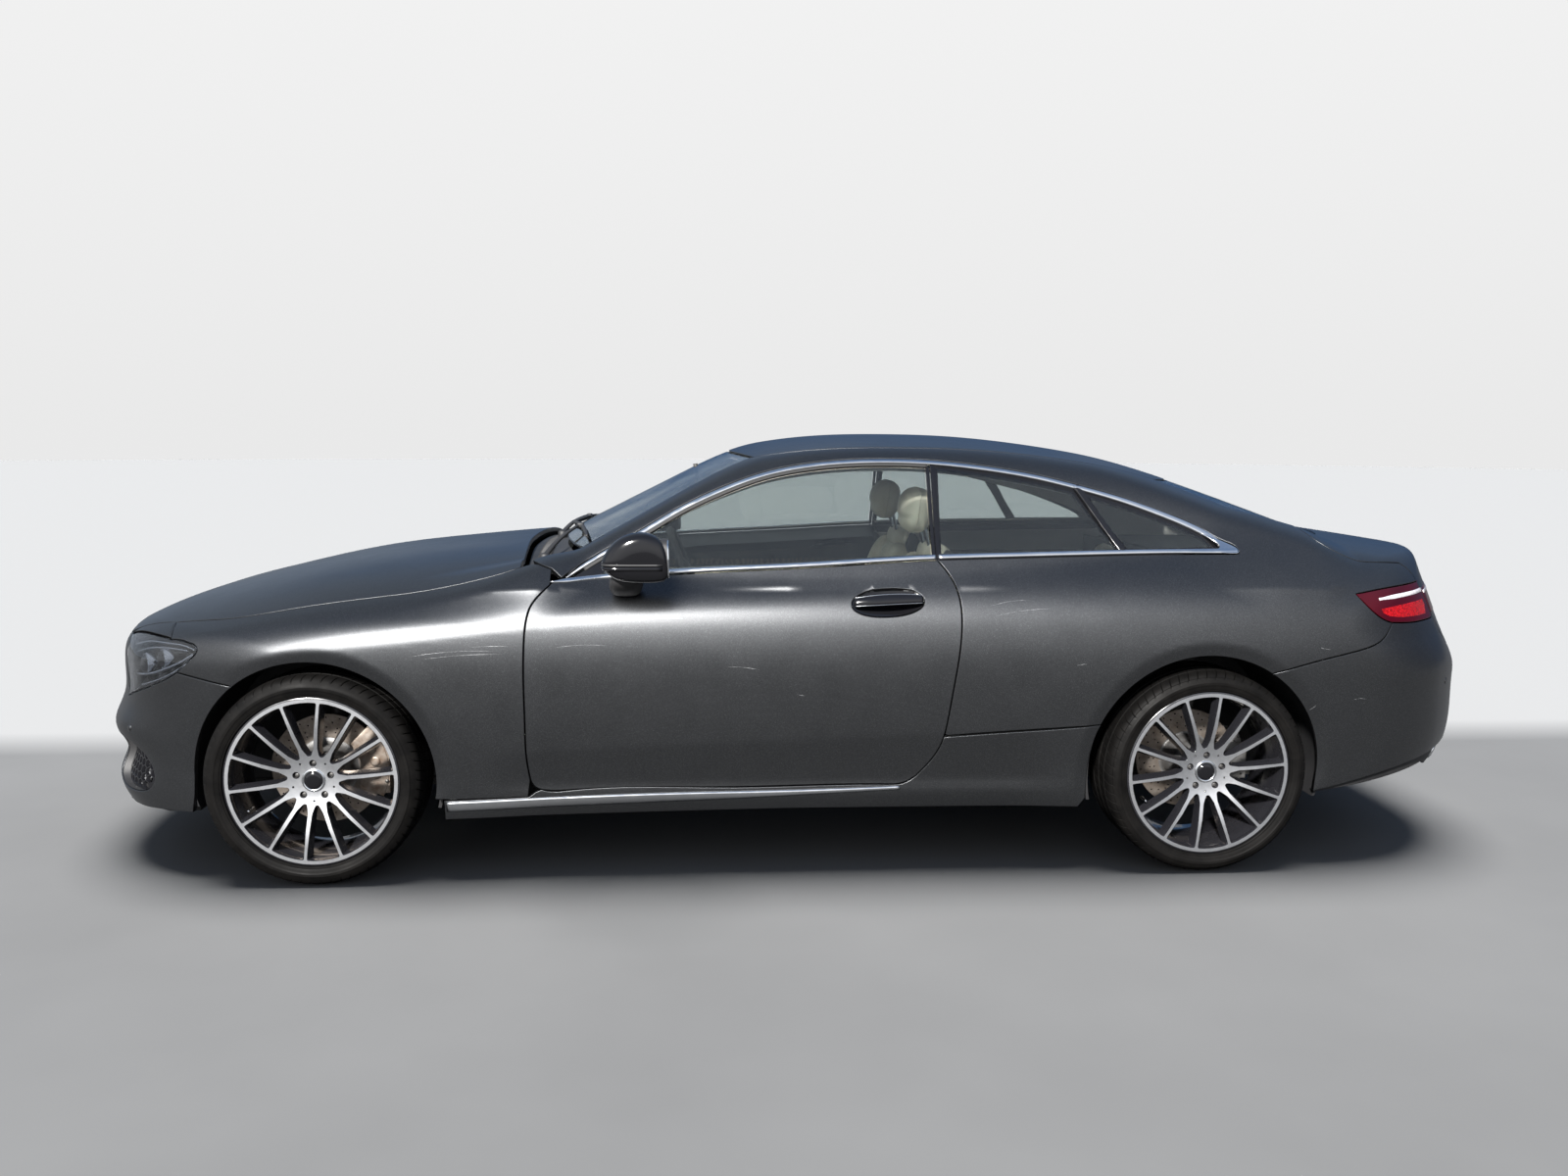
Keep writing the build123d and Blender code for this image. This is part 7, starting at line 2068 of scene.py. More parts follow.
# ------------------------------------------------------------------ exhaust: cross silencer, front pipe, middle box, hangers
def oval_box(name, c, half, across, n=44, beads=(), power=0.72):
    """A pressed oval box lying along one axis, with drawn-in ends and rolled seams."""
    L = half[across]
    st = [(-1.0, 0.0), (-1.0, 0.55), (-0.992, 0.80), (-0.965, 0.93), (-0.925, 0.99), (-0.90, 1.0)]
    for b_ in beads:
        st += [(b_ - 0.012, 1.0), (b_ - 0.006, 1.05), (b_ + 0.006, 1.05), (b_ + 0.012, 1.0)]
    st = st + [(-a_, k) for a_, k in st[:6]][::-1]
    st.sort(key=lambda q: (q[0], q[1] if q[0] < 0 else -q[1]))
    t = np.linspace(0, 2 * math.pi, n, endpoint=False)
    o = [i for i in (0, 1, 2) if i != across]
    v = []
    for u, k in st:
        p = np.zeros((n, 3))
        p[:, across] = u * L
        p[:, o[0]] = half[o[0]] * k * np.sign(np.cos(t)) * np.abs(np.cos(t)) ** power
        p[:, o[1]] = half[o[1]] * k * np.sign(np.sin(t)) * np.abs(np.sin(t)) ** power
        v.append(p + np.array(c))
    fc = [(a * n + i, a * n + (i + 1) % n, (a + 1) * n + (i + 1) % n, (a + 1) * n + i) for a in range(len(st) - 1) for i in range(n)]
    ob = make_mesh(name, np.concatenate(v), fc, None, [STEEL])
    fix_normals(ob)
    return ob


bits = [oval_box("silencer", (3.440, 0.0, 0.312), (0.150, 0.400, 0.037), 1, beads=(-0.80, -0.02, 0.80)),
        oval_box("middle_box", (1.90, 0.0, 0.284), (0.240, 0.085, 0.032), 0, beads=(-0.82, 0.82)),
        tube("front_pipe", [(0.700, 0.0, 0.284), (1.20, 0.006, 0.285), (1.70, 0.0, 0.284)], 0.027, STEEL, seg=18),
        tube("rear_pipe", [(2.10, 0.0, 0.284), (2.60, -0.008, 0.288), (3.00, 0.006, 0.296), (3.310, 0.0, 0.308)], 0.027, STEEL, seg=18)]
for s in (-1, 1):
    bits.append(tube("tail_pipe%d" % s, [(3.560, s * 0.33, 0.314), (3.600, s * 0.37, 0.317), (3.645, s * 0.44, 0.320), (3.705, s * 0.485, 0.320)], 0.024, STEEL, seg=16))
    bits.append(tube("hanger%d" % s, [(3.380, s * 0.20, 0.345), (3.360, s * 0.205, 0.356), (3.330, s * 0.215, 0.360)], 0.005, STEEL, seg=8))
for x in (0.78, 1.62, 2.18):
    bits.append(oval_box("clamp%.0f" % (x * 100), (x, 0.0, 0.2845), (0.014, 0.032, 0.032), 0, n=24, power=1.0))
place(join_objects("exhaust_line", bits), "body", "steel", "exhaust")


def cut_short(node, name, mat, cuts):
    """The same pressing ended by a few more planes (frame coordinates)."""
    src = bpy.data.objects[node]
    bm = bmesh.new()
    bm.from_mesh(src.data)
    bm.transform(src.matrix_world)
    for co, no in cuts:
        got = bmesh.ops.bisect_plane(bm, geom=bm.verts[:] + bm.edges[:] + bm.faces[:], plane_co=co, plane_no=no, clear_outer=True)
        rim = [g for g in got["geom_cut"] if isinstance(g, bmesh.types.BMEdge)]
        if rim:
            bmesh.ops.holes_fill(bm, edges=rim, sides=0)
    for f in bm.faces:
        f.material_index = 0
    me = bpy.data.meshes.new(name)
    bm.to_mesh(me)
    bm.free()
    me.materials.clear()
    me.materials.append(mat)
    ob = bpy.data.objects.new(name, me)
    scene.collection.objects.link(ob)
    PIECES[name] = ob
    return ob


place(cut_short("floor_pan", "floor_tray", UNDER, [((3.235 + AX, 0.0, 0.2), (1.0, 0.0, 0.0))]), "body", "underbody", "floor_pan")
# light grey strokes laid in the paint at listed places
MARKS = ((("body", "wing"), [[(0.318, 0.741), (0.40, 0.752), (0.48, 0.757), (0.585, 0.756)], [(0.36, 0.733), (0.47, 0.744), (0.60, 0.746)], [(0.50, 0.768), (0.56, 0.771), (0.63, 0.770)]]),
         (("door", "door"), [[(0.76, 0.765), (0.84, 0.772), (0.93, 0.770)], [(1.30, 0.700), (1.36, 0.697), (1.40, 0.690)], [(1.05, 0.850), (1.12, 0.853), (1.18, 0.851)], [(1.52, 0.610), (1.55, 0.604)]]),
         (("body", "quarter"), [[(2.145, 0.888), (2.21, 0.902), (2.27, 0.905)], [(2.16, 0.858), (2.24, 0.872), (2.335, 0.880)], [(2.42, 0.70), (2.45, 0.705)]]),
         (("body", "rear"), [[(3.225, 0.752), (3.245, 0.747), (3.262, 0.745)], [(3.352, 0.576), (3.375, 0.580), (3.398, 0.577)], [(3.205, 0.545), (3.222, 0.560)]]))
MARK, nt, bs = material("paint_mark", (0.42, 0.43, 0.44), rough=0.35, metal=0.3)
nt.links.new(ramp(nt, noise(nt, 90.0, 3.0), (0.35, (0.16, 0.165, 0.17)), (0.65, (0.50, 0.51, 0.52))), bs.inputs["Base Color"])
for (bod, tag), runs in MARKS:
    bits = []
    for i, pts in enumerate(runs):
        c3 = S(pts, -1, 0.006)
        t_ = np.linspace(0, 1, len(c3))
        w_ = np.clip(np.sin(math.pi * t_) * (0.75 + 0.5 * np.sin(9.0 * t_ + i)), 0.12, 1.2)
        bits.append(sweep("mark_%s%d" % (tag, i), c3, [(-0.0008, -0.0004), (0.0, 0.00025), (0.0008, -0.0004)], MARK, scale=np.stack([w_, np.ones(len(c3))], 1)))
    place(join_objects("paint_marks_" + tag, bits), "left_door" if bod == "door" else "body", "body_paint")


# ------------------------------------------------------------------ undersides, jambs and door cards
def resample(loop, n):
    q = np.concatenate([loop, loop[:1]])
    d = np.concatenate([[0], np.cumsum(np.linalg.norm(np.diff(q, axis=0), axis=1))])
    t = np.linspace(0, d[-1], n, endpoint=False)
    return np.stack([np.interp(t, d, q[:, i]) for i in range(3)], 1)


def inset(net, loop, w, form=None):
    """The loop moved w inward along the surface."""
    f = form or body
    n, b = loop_frames(loop, f)
    if inside(net.uv(loop + b * 0.004), [net.uv(loop)]).mean() < 0.5:
        loop = loop[::-1]
        n, b = loop_frames(loop, f)
    for _ in range(6):
        b = b + 0.5 * (np.roll(b, 1, 0) + np.roll(b, -1, 0))
        b /= np.linalg.norm(b, axis=1, keepdims=True)
    return on_form(net, loop + b * w, f)


def ribs(net, lines, w, h, f0):
    """Pressed stiffening: raised strips along plan or side lines, as a height field."""
    segs = [np.asarray(l, float) for l in lines]

    def g(p):
        uv = net.uv(p)
        out = np.zeros(len(p))
        for l in segs:
            a, b_ = l[:-1], l[1:]
            for i in range(len(a)):
                ab = b_[i] - a[i]
                t = np.clip(((uv - a[i]) @ ab) / (ab @ ab), 0, 1)
                d = np.hypot(*(uv - a[i] - t[:, None] * ab).T)
                out = np.maximum(out, h * (1 - step(w * 0.5, w, d)))
        return f0 - out
    return g


# bonnet
bl = resample(bonnet_loop(), 260)
bi = inset(TOP, bl, 0.016)
place(inner_skin("bonnet_inner", TOP, [bi], 0.034, BLACK, relief=lambda p: ribs(TOP, [[(-0.60, -0.25), (0.50, -0.62)], [(-0.60, 0.25), (0.50, 0.62)], [(-0.60, -0.25), (0.50, 0.0), (-0.60, 0.25)], [(0.50, -0.62), (0.50, 0.62)], [(-0.60, -0.30), (-0.60, 0.30)], [(0.0, -0.66), (0.0, 0.66)]], 0.065, 0.018, 0.010)(p), spacing=0.022, shrink=0.004), "bonnet", "body_paint")
place(band("bonnet_inner_edge", drop(inset(TOP, bl, 0.006), TOP, 0.012), drop(inset(TOP, bl, 0.020), TOP, 0.034), BLACK), "bonnet", "body_paint")
# boot lid
ll_ = resample(boot_loop(), 260)
place(inner_skin("boot_inner", LID, [inset(LID, ll_, 0.014)], 0.030, CABIN, relief=lambda p: ribs(LID, [[(-0.45, 0.80), (0.45, 0.80)], [(0.0, 0.3), (0.0, 1.1)]], 0.07, 0.012, 0.0)(p), spacing=0.02, shrink=0.004), "boot_lid", "body_paint")
place(band("boot_inner_edge", drop(inset(LID, ll_, 0.005), LID, 0.012), drop(inset(LID, ll_, 0.018), LID, 0.030), CABIN), "boot_lid", "body_paint")

DOORTRIM = LEATHER
for s, nm, net in SIDES:
    dl = resample(door_loop(s), 320)
    inner_loop = inset(net, dl, 0.013)
    thin = step(0.86, 0.99, inner_loop[:, 2])
    # the door's own edge faces, wide at the waist and narrowing to the belt
    deep = 0.105 - 0.035 * thin
    a = drop(inset(net, dl, 0.0045), net, 0.013)
    b = inner_loop - gradient(body, inner_loop) * deep[:, None]
    if inside(net.uv(inner_loop), [net.uv(dl)]).mean() > 0.5:
        lp0 = dl
    b_src = inset(net, dl, 0.013)
    a_src = inset(net, dl, 0.0045)
    place(band(nm + "_door_edge", drop(a_src, net, 0.013), b_src - gradient(body, b_src) * (0.105 - 0.035 * step(0.86, 0.99, b_src[:, 2]))[:, None], PAINT, rows=3), nm + "_door", "body_paint")

    def card(p):
        x, z = p[:, 0], p[:, 2]
        d = np.zeros(len(p))
        # armrest swelling, pocket at the foot, and a sunk pull
        arm = np.exp(-((z - 0.745) / 0.050) ** 2) * step(0.95, 1.15, x) * (1 - step(1.86, 1.98, x))
        d -= 0.042 * arm
        d -= 0.016 * np.exp(-((z - 0.43) / 0.10) ** 2) * step(0.74, 0.82, x) * (1 - step(1.45, 1.62, x))
        d += 0.020 * np.exp(-((z - 0.60) / 0.045) ** 2) * step(0.85, 1.0, x) * (1 - step(1.70, 1.85, x))
        return d * 0.9 + 0.035 * step(0.86, 0.99, z)
    ob = inner_skin(nm + "_door_card", net, [inset(net, dl, 0.016)], 0.105, CABIN, relief=card, spacing=0.016, shrink=0.002)
    me = ob.data
    me.materials.append(LEATHER)
    me.materials.append(WOOD)
    co = np.empty(len(me.vertices) * 3)
    me.vertices.foreach_get("co", co)
    co = co.reshape(-1, 3)
    for p in me.polygons:
        c = co[list(p.vertices)].mean(0)
        z = c[2]
        x = c[0] - AX
        if 0.655 < z < 0.835 and 0.90 < x < 1.96:
            p.material_index = 1
        elif 0.842 < z < 0.872 and 0.80 < x < 1.98:
            p.material_index = 2
    place(ob, nm + "_door", "body_paint")
    # pull handle and speaker
    def on_card(x, z, out):
        p = on_form(net, from_side(np.array([[x, z]]), s), offset_form(body, 0.105))
        n = gradient(body, p)
        return (p + n * card(p)[:, None] - n * out)[0], n[0]
    pts = [on_card(x, z, o)[0] for x, z, o in ((1.16, 0.80, 0.0), (1.20, 0.805, 0.030), (1.34, 0.812, 0.038), (1.46, 0.808, 0.028), (1.50, 0.800, 0.0))]
    place(tube(nm + "_pull", [tuple(p) for p in pts], 0.010, REFLECT, 12), nm + "_door", "body_paint")
    c, n = on_card(0.845, 0.42, 0.003)
    ang = np.linspace(0, 2 * math.pi, 40, endpoint=False)
    e1 = np.cross(n, [0, 0, 1.0]); e1 /= np.linalg.norm(e1)
    e2 = np.cross(n, e1)
    pr = np.array([(0.078, -0.006), (0.078, 0.006), (0.072, 0.009), (0.066, 0.006), (0.060, 0.003), (0.030, 0.001), (0.0, 0.0005)])
    v = c + (np.cos(ang)[:, None, None] * pr[None, :, :1] * e1 + np.sin(ang)[:, None, None] * pr[None, :, :1] * e2 - pr[None, :, 1:] * n)
    k = len(pr)
    fcs = [(a_ * k + b_, ((a_ + 1) % 40) * k + b_, ((a_ + 1) % 40) * k + b_ + 1, a_ * k + b_ + 1) for a_ in range(40) for b_ in range(k - 1)]
    o = make_mesh(nm + "_speaker", v.reshape(-1, 3), fcs, None, [REFLECT, BLACK], [0 if b_ < 3 else 1 for a_ in range(40) for b_ in range(k - 1)])
    fix_normals(o)
    place(o, nm + "_door", "body_paint")
    # jamb of the body round the door: quarter, sill and wing sides
    ol = resample(door_loop(s), 320)
    out_ = inset(net, ol, -0.0035)
    deep_ = inset(net, ol, 0.004)
    place(band(nm + "_jamb", drop(out_, net, 0.012), deep_ - gradient(body, deep_) * (0.150 - 0.06 * step(0.86, 0.99, deep_[:, 2]))[:, None], PAINT, rows=4), "body", "body_paint")
    sl_ = inset(net, ol, 0.018)
    rub = sl_ - gradient(body, sl_) * (0.125 - 0.05 * step(0.86, 0.99, sl_[:, 2]))[:, None]
    keep = rub[:, 2] < 0.94
    # tread plate on the sill
    place(brick(nm + "_sill_plate", 0.80, 1.86, *sorted((s * 0.735, s * 0.775)), 0.3195, 0.3235, REFLECT, 0.0012), "body", "cabin_trim")
    # inner side of the quarter and its posts
    ql = left_quarter(s)
    place(inner_skin(nm + "_quarter_inner", net, [ql], 0.040, CLOTH, spacing=0.03, shrink=0.010), "body", "body_paint")

# roof lining
place(inner_skin("headlining", TOP, [roof_loop], 0.030, CLOTH, spacing=0.03, shrink=0.0), "body", "body_paint")


# ------------------------------------------------------------------ cabin
def pad(name, half, power=(3.2, 3.2), n=20, crown=0.0, pinch=0.0, flutes=(), flute_w=0.010, flute_d=0.007, belly=0.0, seed=0, mat=None):
    """A stuffed closed form about the origin, its top towards +z: crowned, pulled in between its corners."""
    g = np.linspace(-1, 1, n + 1)
    verts, faces, index = [], [], {}
    def vid(p):
        key = tuple(np.round(p, 6))
        if key not in index:
            index[key] = len(verts)
            verts.append(p)
        return index[key]
    for ax in range(3):
        for sg in (-1, 1):
            u, v = [i for i in range(3) if i != ax]
            for i in range(n):
                for j in range(n):
                    q = []
                    for (a, b) in ((i, j), (i + 1, j), (i + 1, j + 1), (i, j + 1)):
                        p = np.zeros(3)
                        p[ax], p[u], p[v] = sg, g[a], g[b]
                        q.append(vid(p))
                    faces.append(q)
    p = np.array(verts)
    k = power[0]
    r = (np.abs(p[:, 0]) ** k + np.abs(p[:, 1]) ** k) ** (1 / k)
    r = np.where(r < 1e-6, 1e-6, r)
    m = np.maximum(np.abs(p[:, 0]), np.abs(p[:, 1]))
    xy = p[:, :2] * (m / r)[:, None]
    rr = (np.abs(xy[:, 0]) ** k + np.abs(xy[:, 1]) ** k) ** (1 / k)
    kz = power[1]
    tot = (rr ** kz + np.abs(p[:, 2]) ** kz) ** (1 / kz)
    mm = np.maximum(rr, np.abs(p[:, 2]))
    f = mm / np.maximum(tot, 1e-6)
    q = np.stack([xy[:, 0] * f, xy[:, 1] * f, p[:, 2] * f], 1)
    hx, hy, hz = half
    x, y, z = q[:, 0], q[:, 1], q[:, 2]
    ex = 1 - pinch * (1 - np.clip(np.abs(y), 0, 1) ** 2)
    ey = 1 - pinch * (1 - np.clip(np.abs(x), 0, 1) ** 2)
    X_, Y_ = x * hx * (ex if pinch else 1), y * hy * (ey if pinch else 1)
    Z_ = z * hz * (1 - crown + crown * (1 - x ** 2) * (1 - y ** 2) ** 0.5)
    top = np.clip(z * 2 - 0.4, 0, 1)
    for axis, pos in flutes:
        c = X_ if axis == "x" else Y_
        Z_ -= flute_d * np.exp(-((c - pos) / flute_w) ** 2) * top
    rng = np.random.default_rng(seed)
    for _ in range(5):
        cx, cy = rng.uniform(-0.8, 0.8, 2)
        w = rng.uniform(0.25, 0.5)
        Z_ += rng.uniform(-0.0022, 0.0022) * np.exp(-((x - cx) ** 2 + (y - cy) ** 2) / w ** 2) * top
    Z_ += belly * top * (1 - x ** 2) * (1 - y ** 2)
    return np.stack([X_, Y_, Z_], 1), faces


def put_pad(name, centre, pitch, half, mat=LEATHER, roll=0.0, **kw):
    """pitch turns the pad's top from up towards the front; roll leans it sideways."""
    v, f = pad(name, half, **kw)
    cr, sr = math.cos(roll), math.sin(roll)
    v = v @ np.array([[1, 0, 0], [0, cr, sr], [0, -sr, cr]])
    cp, sp = math.cos(pitch), math.sin(pitch)
    rot = np.array([[cp, 0, sp], [0, 1, 0], [-sp, 0, cp]])
    v = v @ rot.T + np.array(centre)
    ob = make_mesh(name, v, f, None, [mat])
    fix_normals(ob)
    return ob


def piping(name, half, centre, pitch, level, mat, roll=0.0, k=3.2, grow=1.002, r=0.0028, inset_=0.0):
    t = np.linspace(0, 2 * math.pi, 120, endpoint=False)
    c, s_ = np.cos(t), np.sin(t)
    hx, hy = half[0] - inset_, half[1] - inset_
    v = np.stack([hx * grow * np.sign(c) * np.abs(c) ** (2 / k), hy * grow * np.sign(s_) * np.abs(s_) ** (2 / k), np.full(120, level)], 1)
    cr, sr = math.cos(roll), math.sin(roll)
    v = v @ np.array([[1, 0, 0], [0, cr, sr], [0, -sr, cr]])
    cp, sp = math.cos(pitch), math.sin(pitch)
    v = v @ np.array([[cp, 0, sp], [0, 1, 0], [-sp, 0, cp]]).T + np.array(centre)
    v = np.concatenate([v, v[:1]])
    tg = np.gradient(v, axis=0)
    tg /= np.linalg.norm(tg, axis=1, keepdims=True)
    ref = np.array([sp, 0, cp])
    n = np.cross(tg, ref)
    n /= np.linalg.norm(n, axis=1, keepdims=True)
    b = np.cross(tg, n)
    a = np.linspace(0, 2 * math.pi, 6, endpoint=False)
    return sweep(name, v, np.stack([r * np.cos(a), r * np.sin(a)], 1), mat, n=n, b=b, cap=False)


def seat(tag, yc):
    """One front seat: x forward is minus; cushion, bolsters, back, head restraint, hard back."""
    out = []
    back = math.radians(-77.5)
    lean = math.radians(-4.0)
    parts = [
        ("cushion", (1.680, yc, 0.492), math.radians(7.5) * -1, (0.205, 0.150, 0.060), dict(crown=0.10, flutes=[("x", v) for v in (-0.11, -0.04, 0.03, 0.10)], belly=0.006), 0.0),
        ("thigh", (1.505, yc, 0.505), math.radians(-8), (0.050, 0.205, 0.048), dict(crown=0.12), 0.0),
        ("bolster_l", (1.700, yc - 0.180, 0.508), math.radians(-7.5), (0.215, 0.044, 0.072), dict(crown=0.18), 0.22),
        ("bolster_r", (1.700, yc + 0.180, 0.508), math.radians(-7.5), (0.215, 0.044, 0.072), dict(crown=0.18), -0.22),
    ]
    base_x, base_z = 1.912, 0.500
    up = np.array([math.cos(math.radians(77.5)), 0, math.sin(math.radians(77.5))])
    fw = np.array([-math.sin(math.radians(77.5)), 0, math.cos(math.radians(77.5))])

    def along(h, out_):
        p = np.array([base_x, 0, base_z]) + up * h + fw * out_
        return (p[0], p[2])
    for nm2, h, out_, yy, half, kw, roll in (
            ("lumbar", 0.150, -0.012, 0.0, (0.115, 0.148, 0.058), dict(crown=0.12, flutes=[("x", v) for v in (-0.06, 0.005, 0.07)], belly=0.005), 0.0),
            ("upper", 0.370, -0.018, 0.0, (0.128, 0.148, 0.056), dict(crown=0.14, flutes=[("x", v) for v in (-0.065, 0.0, 0.065)], belly=0.004), 0.0),
            ("wing_l", 0.270, -0.002, -0.183, (0.235, 0.042, 0.072), dict(crown=0.22), 0.26),
            ("wing_r", 0.270, -0.002, 0.183, (0.235, 0.042, 0.072), dict(crown=0.22), -0.26),
            ("shoulder", 0.520, -0.026, 0.0, (0.045, 0.185, 0.046), dict(crown=0.2), 0.0)):
        x, z = along(h, out_)
        parts.append((nm2, (x, yc + yy, z), math.radians(-90 + 12.5), half, kw, roll))
    hx, hz = 1.982, 1.163
    parts.append(("headrest", (hx, yc, hz), math.radians(-90 + 8), (0.080, 0.118, 0.056), dict(power=(3.0, 2.6), crown=0.10, belly=0.008, flutes=[("x", -0.03)]), 0.0))
    for i, (nm2, c, pitch, half, kw, roll) in enumerate(parts):
        ob = put_pad(tag + "_" + nm2, c, pitch, half, roll=roll, n=16 if max(half) < 0.2 else 22, seed=i + int(yc * 100) % 7, **kw)
        out.append(ob)
        k = kw.get("power", (3.2, 3.2))[0]
        out.append(piping(tag + "_pipe_" + nm2, half, c, pitch, half[2] * 0.12, LEATHER, roll=roll, k=k, grow=0.996, r=0.0026))
    # hard shell, rails, posts
    sh = closed_smooth([(1.955, 0.505), (2.010, 0.470), (2.050, 0.560), (2.101, 0.985), (2.085, 1.030), (2.060, 1.040), (2.038, 1.000), (1.980, 0.700)], 60, 3)
    out.append(prism(tag + "_shell", sh, "y", yc - 0.205, yc + 0.205, CABIN, 0.016, 3))
    bs = closed_smooth([(1.475, 0.400), (1.475, 0.468), (1.56, 0.475), (1.90, 0.448), (1.985, 0.470), (2.000, 0.400), (1.95, 0.375), (1.52, 0.375)], 50, 2)
    out.append(prism(tag + "_base", bs, "y", yc - 0.215, yc + 0.215, CABIN, 0.012, 2))
    for yy in (-0.19, 0.19):
        out.append(brick(tag + "_rail%d" % int(yy * 100), 1.50, 1.965, yc + yy - 0.016, yc + yy + 0.016, 0.335, 0.380, CAST, 0.004))
    for yy in (-0.055, 0.055):
        out.append(tube(tag + "_post%d" % int(yy * 1000), [(2.030, yc + yy, 1.020), (2.018, yc + yy, 1.060), (2.006, yc + yy, 1.110)], 0.0065, REFLECT, 10))
    for ob in out:
        place(ob, "body", "seat_leather")
    return out


all_ = seat("seat_left", -0.370)
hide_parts("front_seats")
seat("seat_right", 0.370)
# rear bench: two shaped places and a middle tray
first = True
for tag, yc in (("rear_left", -0.245), ("rear_right", 0.245)):
    for nm2, c, pitch, half, kw in (
            ("squab", (2.545, yc, 0.452), math.radians(-6), (0.185, 0.195, 0.055), dict(crown=0.12, flutes=[("x", v) for v in (-0.09, -0.02, 0.05, 0.12)], belly=0.006)),
            ("back", (2.800, yc, 0.700), math.radians(-72), (0.205, 0.190, 0.050), dict(crown=0.12, flutes=[("x", v) for v in (-0.10, -0.03, 0.04, 0.11)], belly=0.004)),
            ("head", (2.882, yc, 0.930), math.radians(-78), (0.052, 0.105, 0.034), dict(crown=0.14, power=(3.0, 2.6)))):
        ob = put_pad(tag + "_" + nm2, c, pitch, half, n=20, seed=3, **kw)
        place(ob, "body", "seat_leather", *(["rear_seat"] if first else []))
        first = False
        place(piping(tag + "_pipe_" + nm2, half, c, pitch, half[2] * 0.12, LEATHER, k=kw.get("power", (3.2, 3.2))[0], grow=0.996, r=0.0026), "body", "seat_leather")
rb = closed_smooth([(2.375, 0.335), (2.365, 0.410), (2.72, 0.400), (2.860, 0.500), (2.905, 0.900), (2.920, 0.900), (2.920, 0.400), (2.79, 0.40), (2.79, 0.335)], 60, 2)
for sy in (-1, 1):
    place(prism("rear_base_%s" % ("left" if sy < 0 else "right"), rb, "y", *sorted((sy * 0.145, sy * 0.455)), CABIN, 0.008, 2), "body", "cabin_trim")
place(brick("rear_tray", 2.42, 2.80, -0.048, 0.048, 0.425, 0.470, CABIN, 0.012, 3), "body", "cabin_trim")

# dashboard
DP = closed_smooth([(0.640, 0.640), (0.612, 0.880), (0.690, 0.940), (0.800, 0.962), (0.930, 0.958), (1.005, 0.932), (1.022, 0.895), (1.000, 0.850), (0.985, 0.800), (0.960, 0.735), (0.935, 0.660), (0.880, 0.600), (0.780, 0.575)], 96, 3)
ys = np.linspace(-0.690, 0.690, 71)
secs = []
for y in ys:
    q = DP.copy()
    hood = math.exp(-((y + 0.37) / 0.155) ** 4)
    q[:, 1] += 0.012 * hood * step(0.90, 0.99, q[:, 1]) * step(0.78, 0.90, q[:, 0])
    q[:, 0] += 0.012 * hood * step(0.86, 0.95, q[:, 1]) * step(0.86, 0.95, q[:, 0])
    mid = math.exp(-((y) / 0.16) ** 4)
    q[:, 0] += 0.014 * mid * step(0.60, 0.85, q[:, 0]) * (1 - step(0.86, 0.95, q[:, 1]))
    e = 1 - 0.03 * (abs(y) / 0.69) ** 6
    c = np.array([0.80, 0.78])
    q = c + (q - c) * e
    q[:, 0] -= 0.020 * (abs(y) / 0.69) ** 2.5
    secs.append((y, q))


def dash_pick(c):
    x, y, z = c
    if x > 0.90 and 0.815 < z < 0.868:
        return 1
    if x > 0.86 and z < 0.79:
        return 2
    return 0


dash = loft_xz("dash_body", secs, CABIN, mats=[CABIN, WOOD, CABIN], pick=dash_pick)
bits = [dash]
# vents, screens, buttons
for y in (-0.600, -0.115, -0.038, 0.038, 0.115, 0.600):
    if abs(y) > 0.5:
        pass
    bits.append(lathe("vent%d" % int(y * 1000), [(0.0, 0.0), (0.034, 0.0)], (0.98, y, 0.80), BLACK, 1, 8)) if False else None
bits = [b for b in bits if b]


def x_disc(name, c, prof, mats, seg_mat, seg=36):
    """Turned about a fore-and-aft line; profile of (r, rearward)."""
    t = np.linspace(0, 2 * math.pi, seg, endpoint=False)
    pr = np.array(prof)
    k = len(pr)
    v = np.stack([c[0] + np.tile(pr[:, 1], (seg, 1)), c[1] + np.outer(np.cos(t), pr[:, 0]), c[2] + np.outer(np.sin(t), pr[:, 0])], 2)
    fcs = [(a * k + b_, ((a + 1) % seg) * k + b_, ((a + 1) % seg) * k + b_ + 1, a * k + b_ + 1) for a in range(seg) for b_ in range(k - 1)]
    o = make_mesh(name, v.reshape(-1, 3), fcs, None, mats, [seg_mat[b_] for a in range(seg) for b_ in range(k - 1)])
    fix_normals(o)
    return o


for y, dx in ((-0.600, -0.012), (-0.117, 0.004), (-0.039, 0.006), (0.039, 0.006), (0.117, 0.004), (0.600, -0.012)):
    bits.append(x_disc("vent%d" % int(y * 1000), (0.990 + dx, y, 0.800), [(0.037, -0.03), (0.037, 0.006), (0.033, 0.010), (0.029, 0.006), (0.027, -0.006), (0.008, -0.002), (0.006, 0.004), (0.0, 0.005)], [REFLECT, BLACK], [0, 0, 0, 1, 1, 0, 0]))
    for a in range(6):
        th = a * math.pi / 3
        bits.append(brick("blade%d_%d" % (int(y * 1000), a), 0.984 + dx, 0.992 + dx, y + 0.017 * math.cos(th) - 0.0012, y + 0.017 * math.cos(th) + 0.0012, 0.800 + 0.017 * math.sin(th) - 0.010, 0.800 + 0.017 * math.sin(th) + 0.010, BLACK, 0.0005))
SCREENM, nt, bs = material("display_glass", (0.006, 0.007, 0.010), rough=0.08, coat=1.0)
nt.links.new(ramp(nt, noise(nt, 12.0, 3.0), (0.3, 0.05), (0.8, 0.12)), bs.inputs["Roughness"])
bits.append(prism("display_wide", rrect(-0.530, 0.136, 0.868, 0.958, 0.014), "x", 1.000, 1.013, SCREENM, 0.003))
bits.append(prism("display_frame", rrect(-0.537, 0.143, 0.861, 0.965, 0.018), "x", 0.985, 1.008, GLOSS, 0.003))
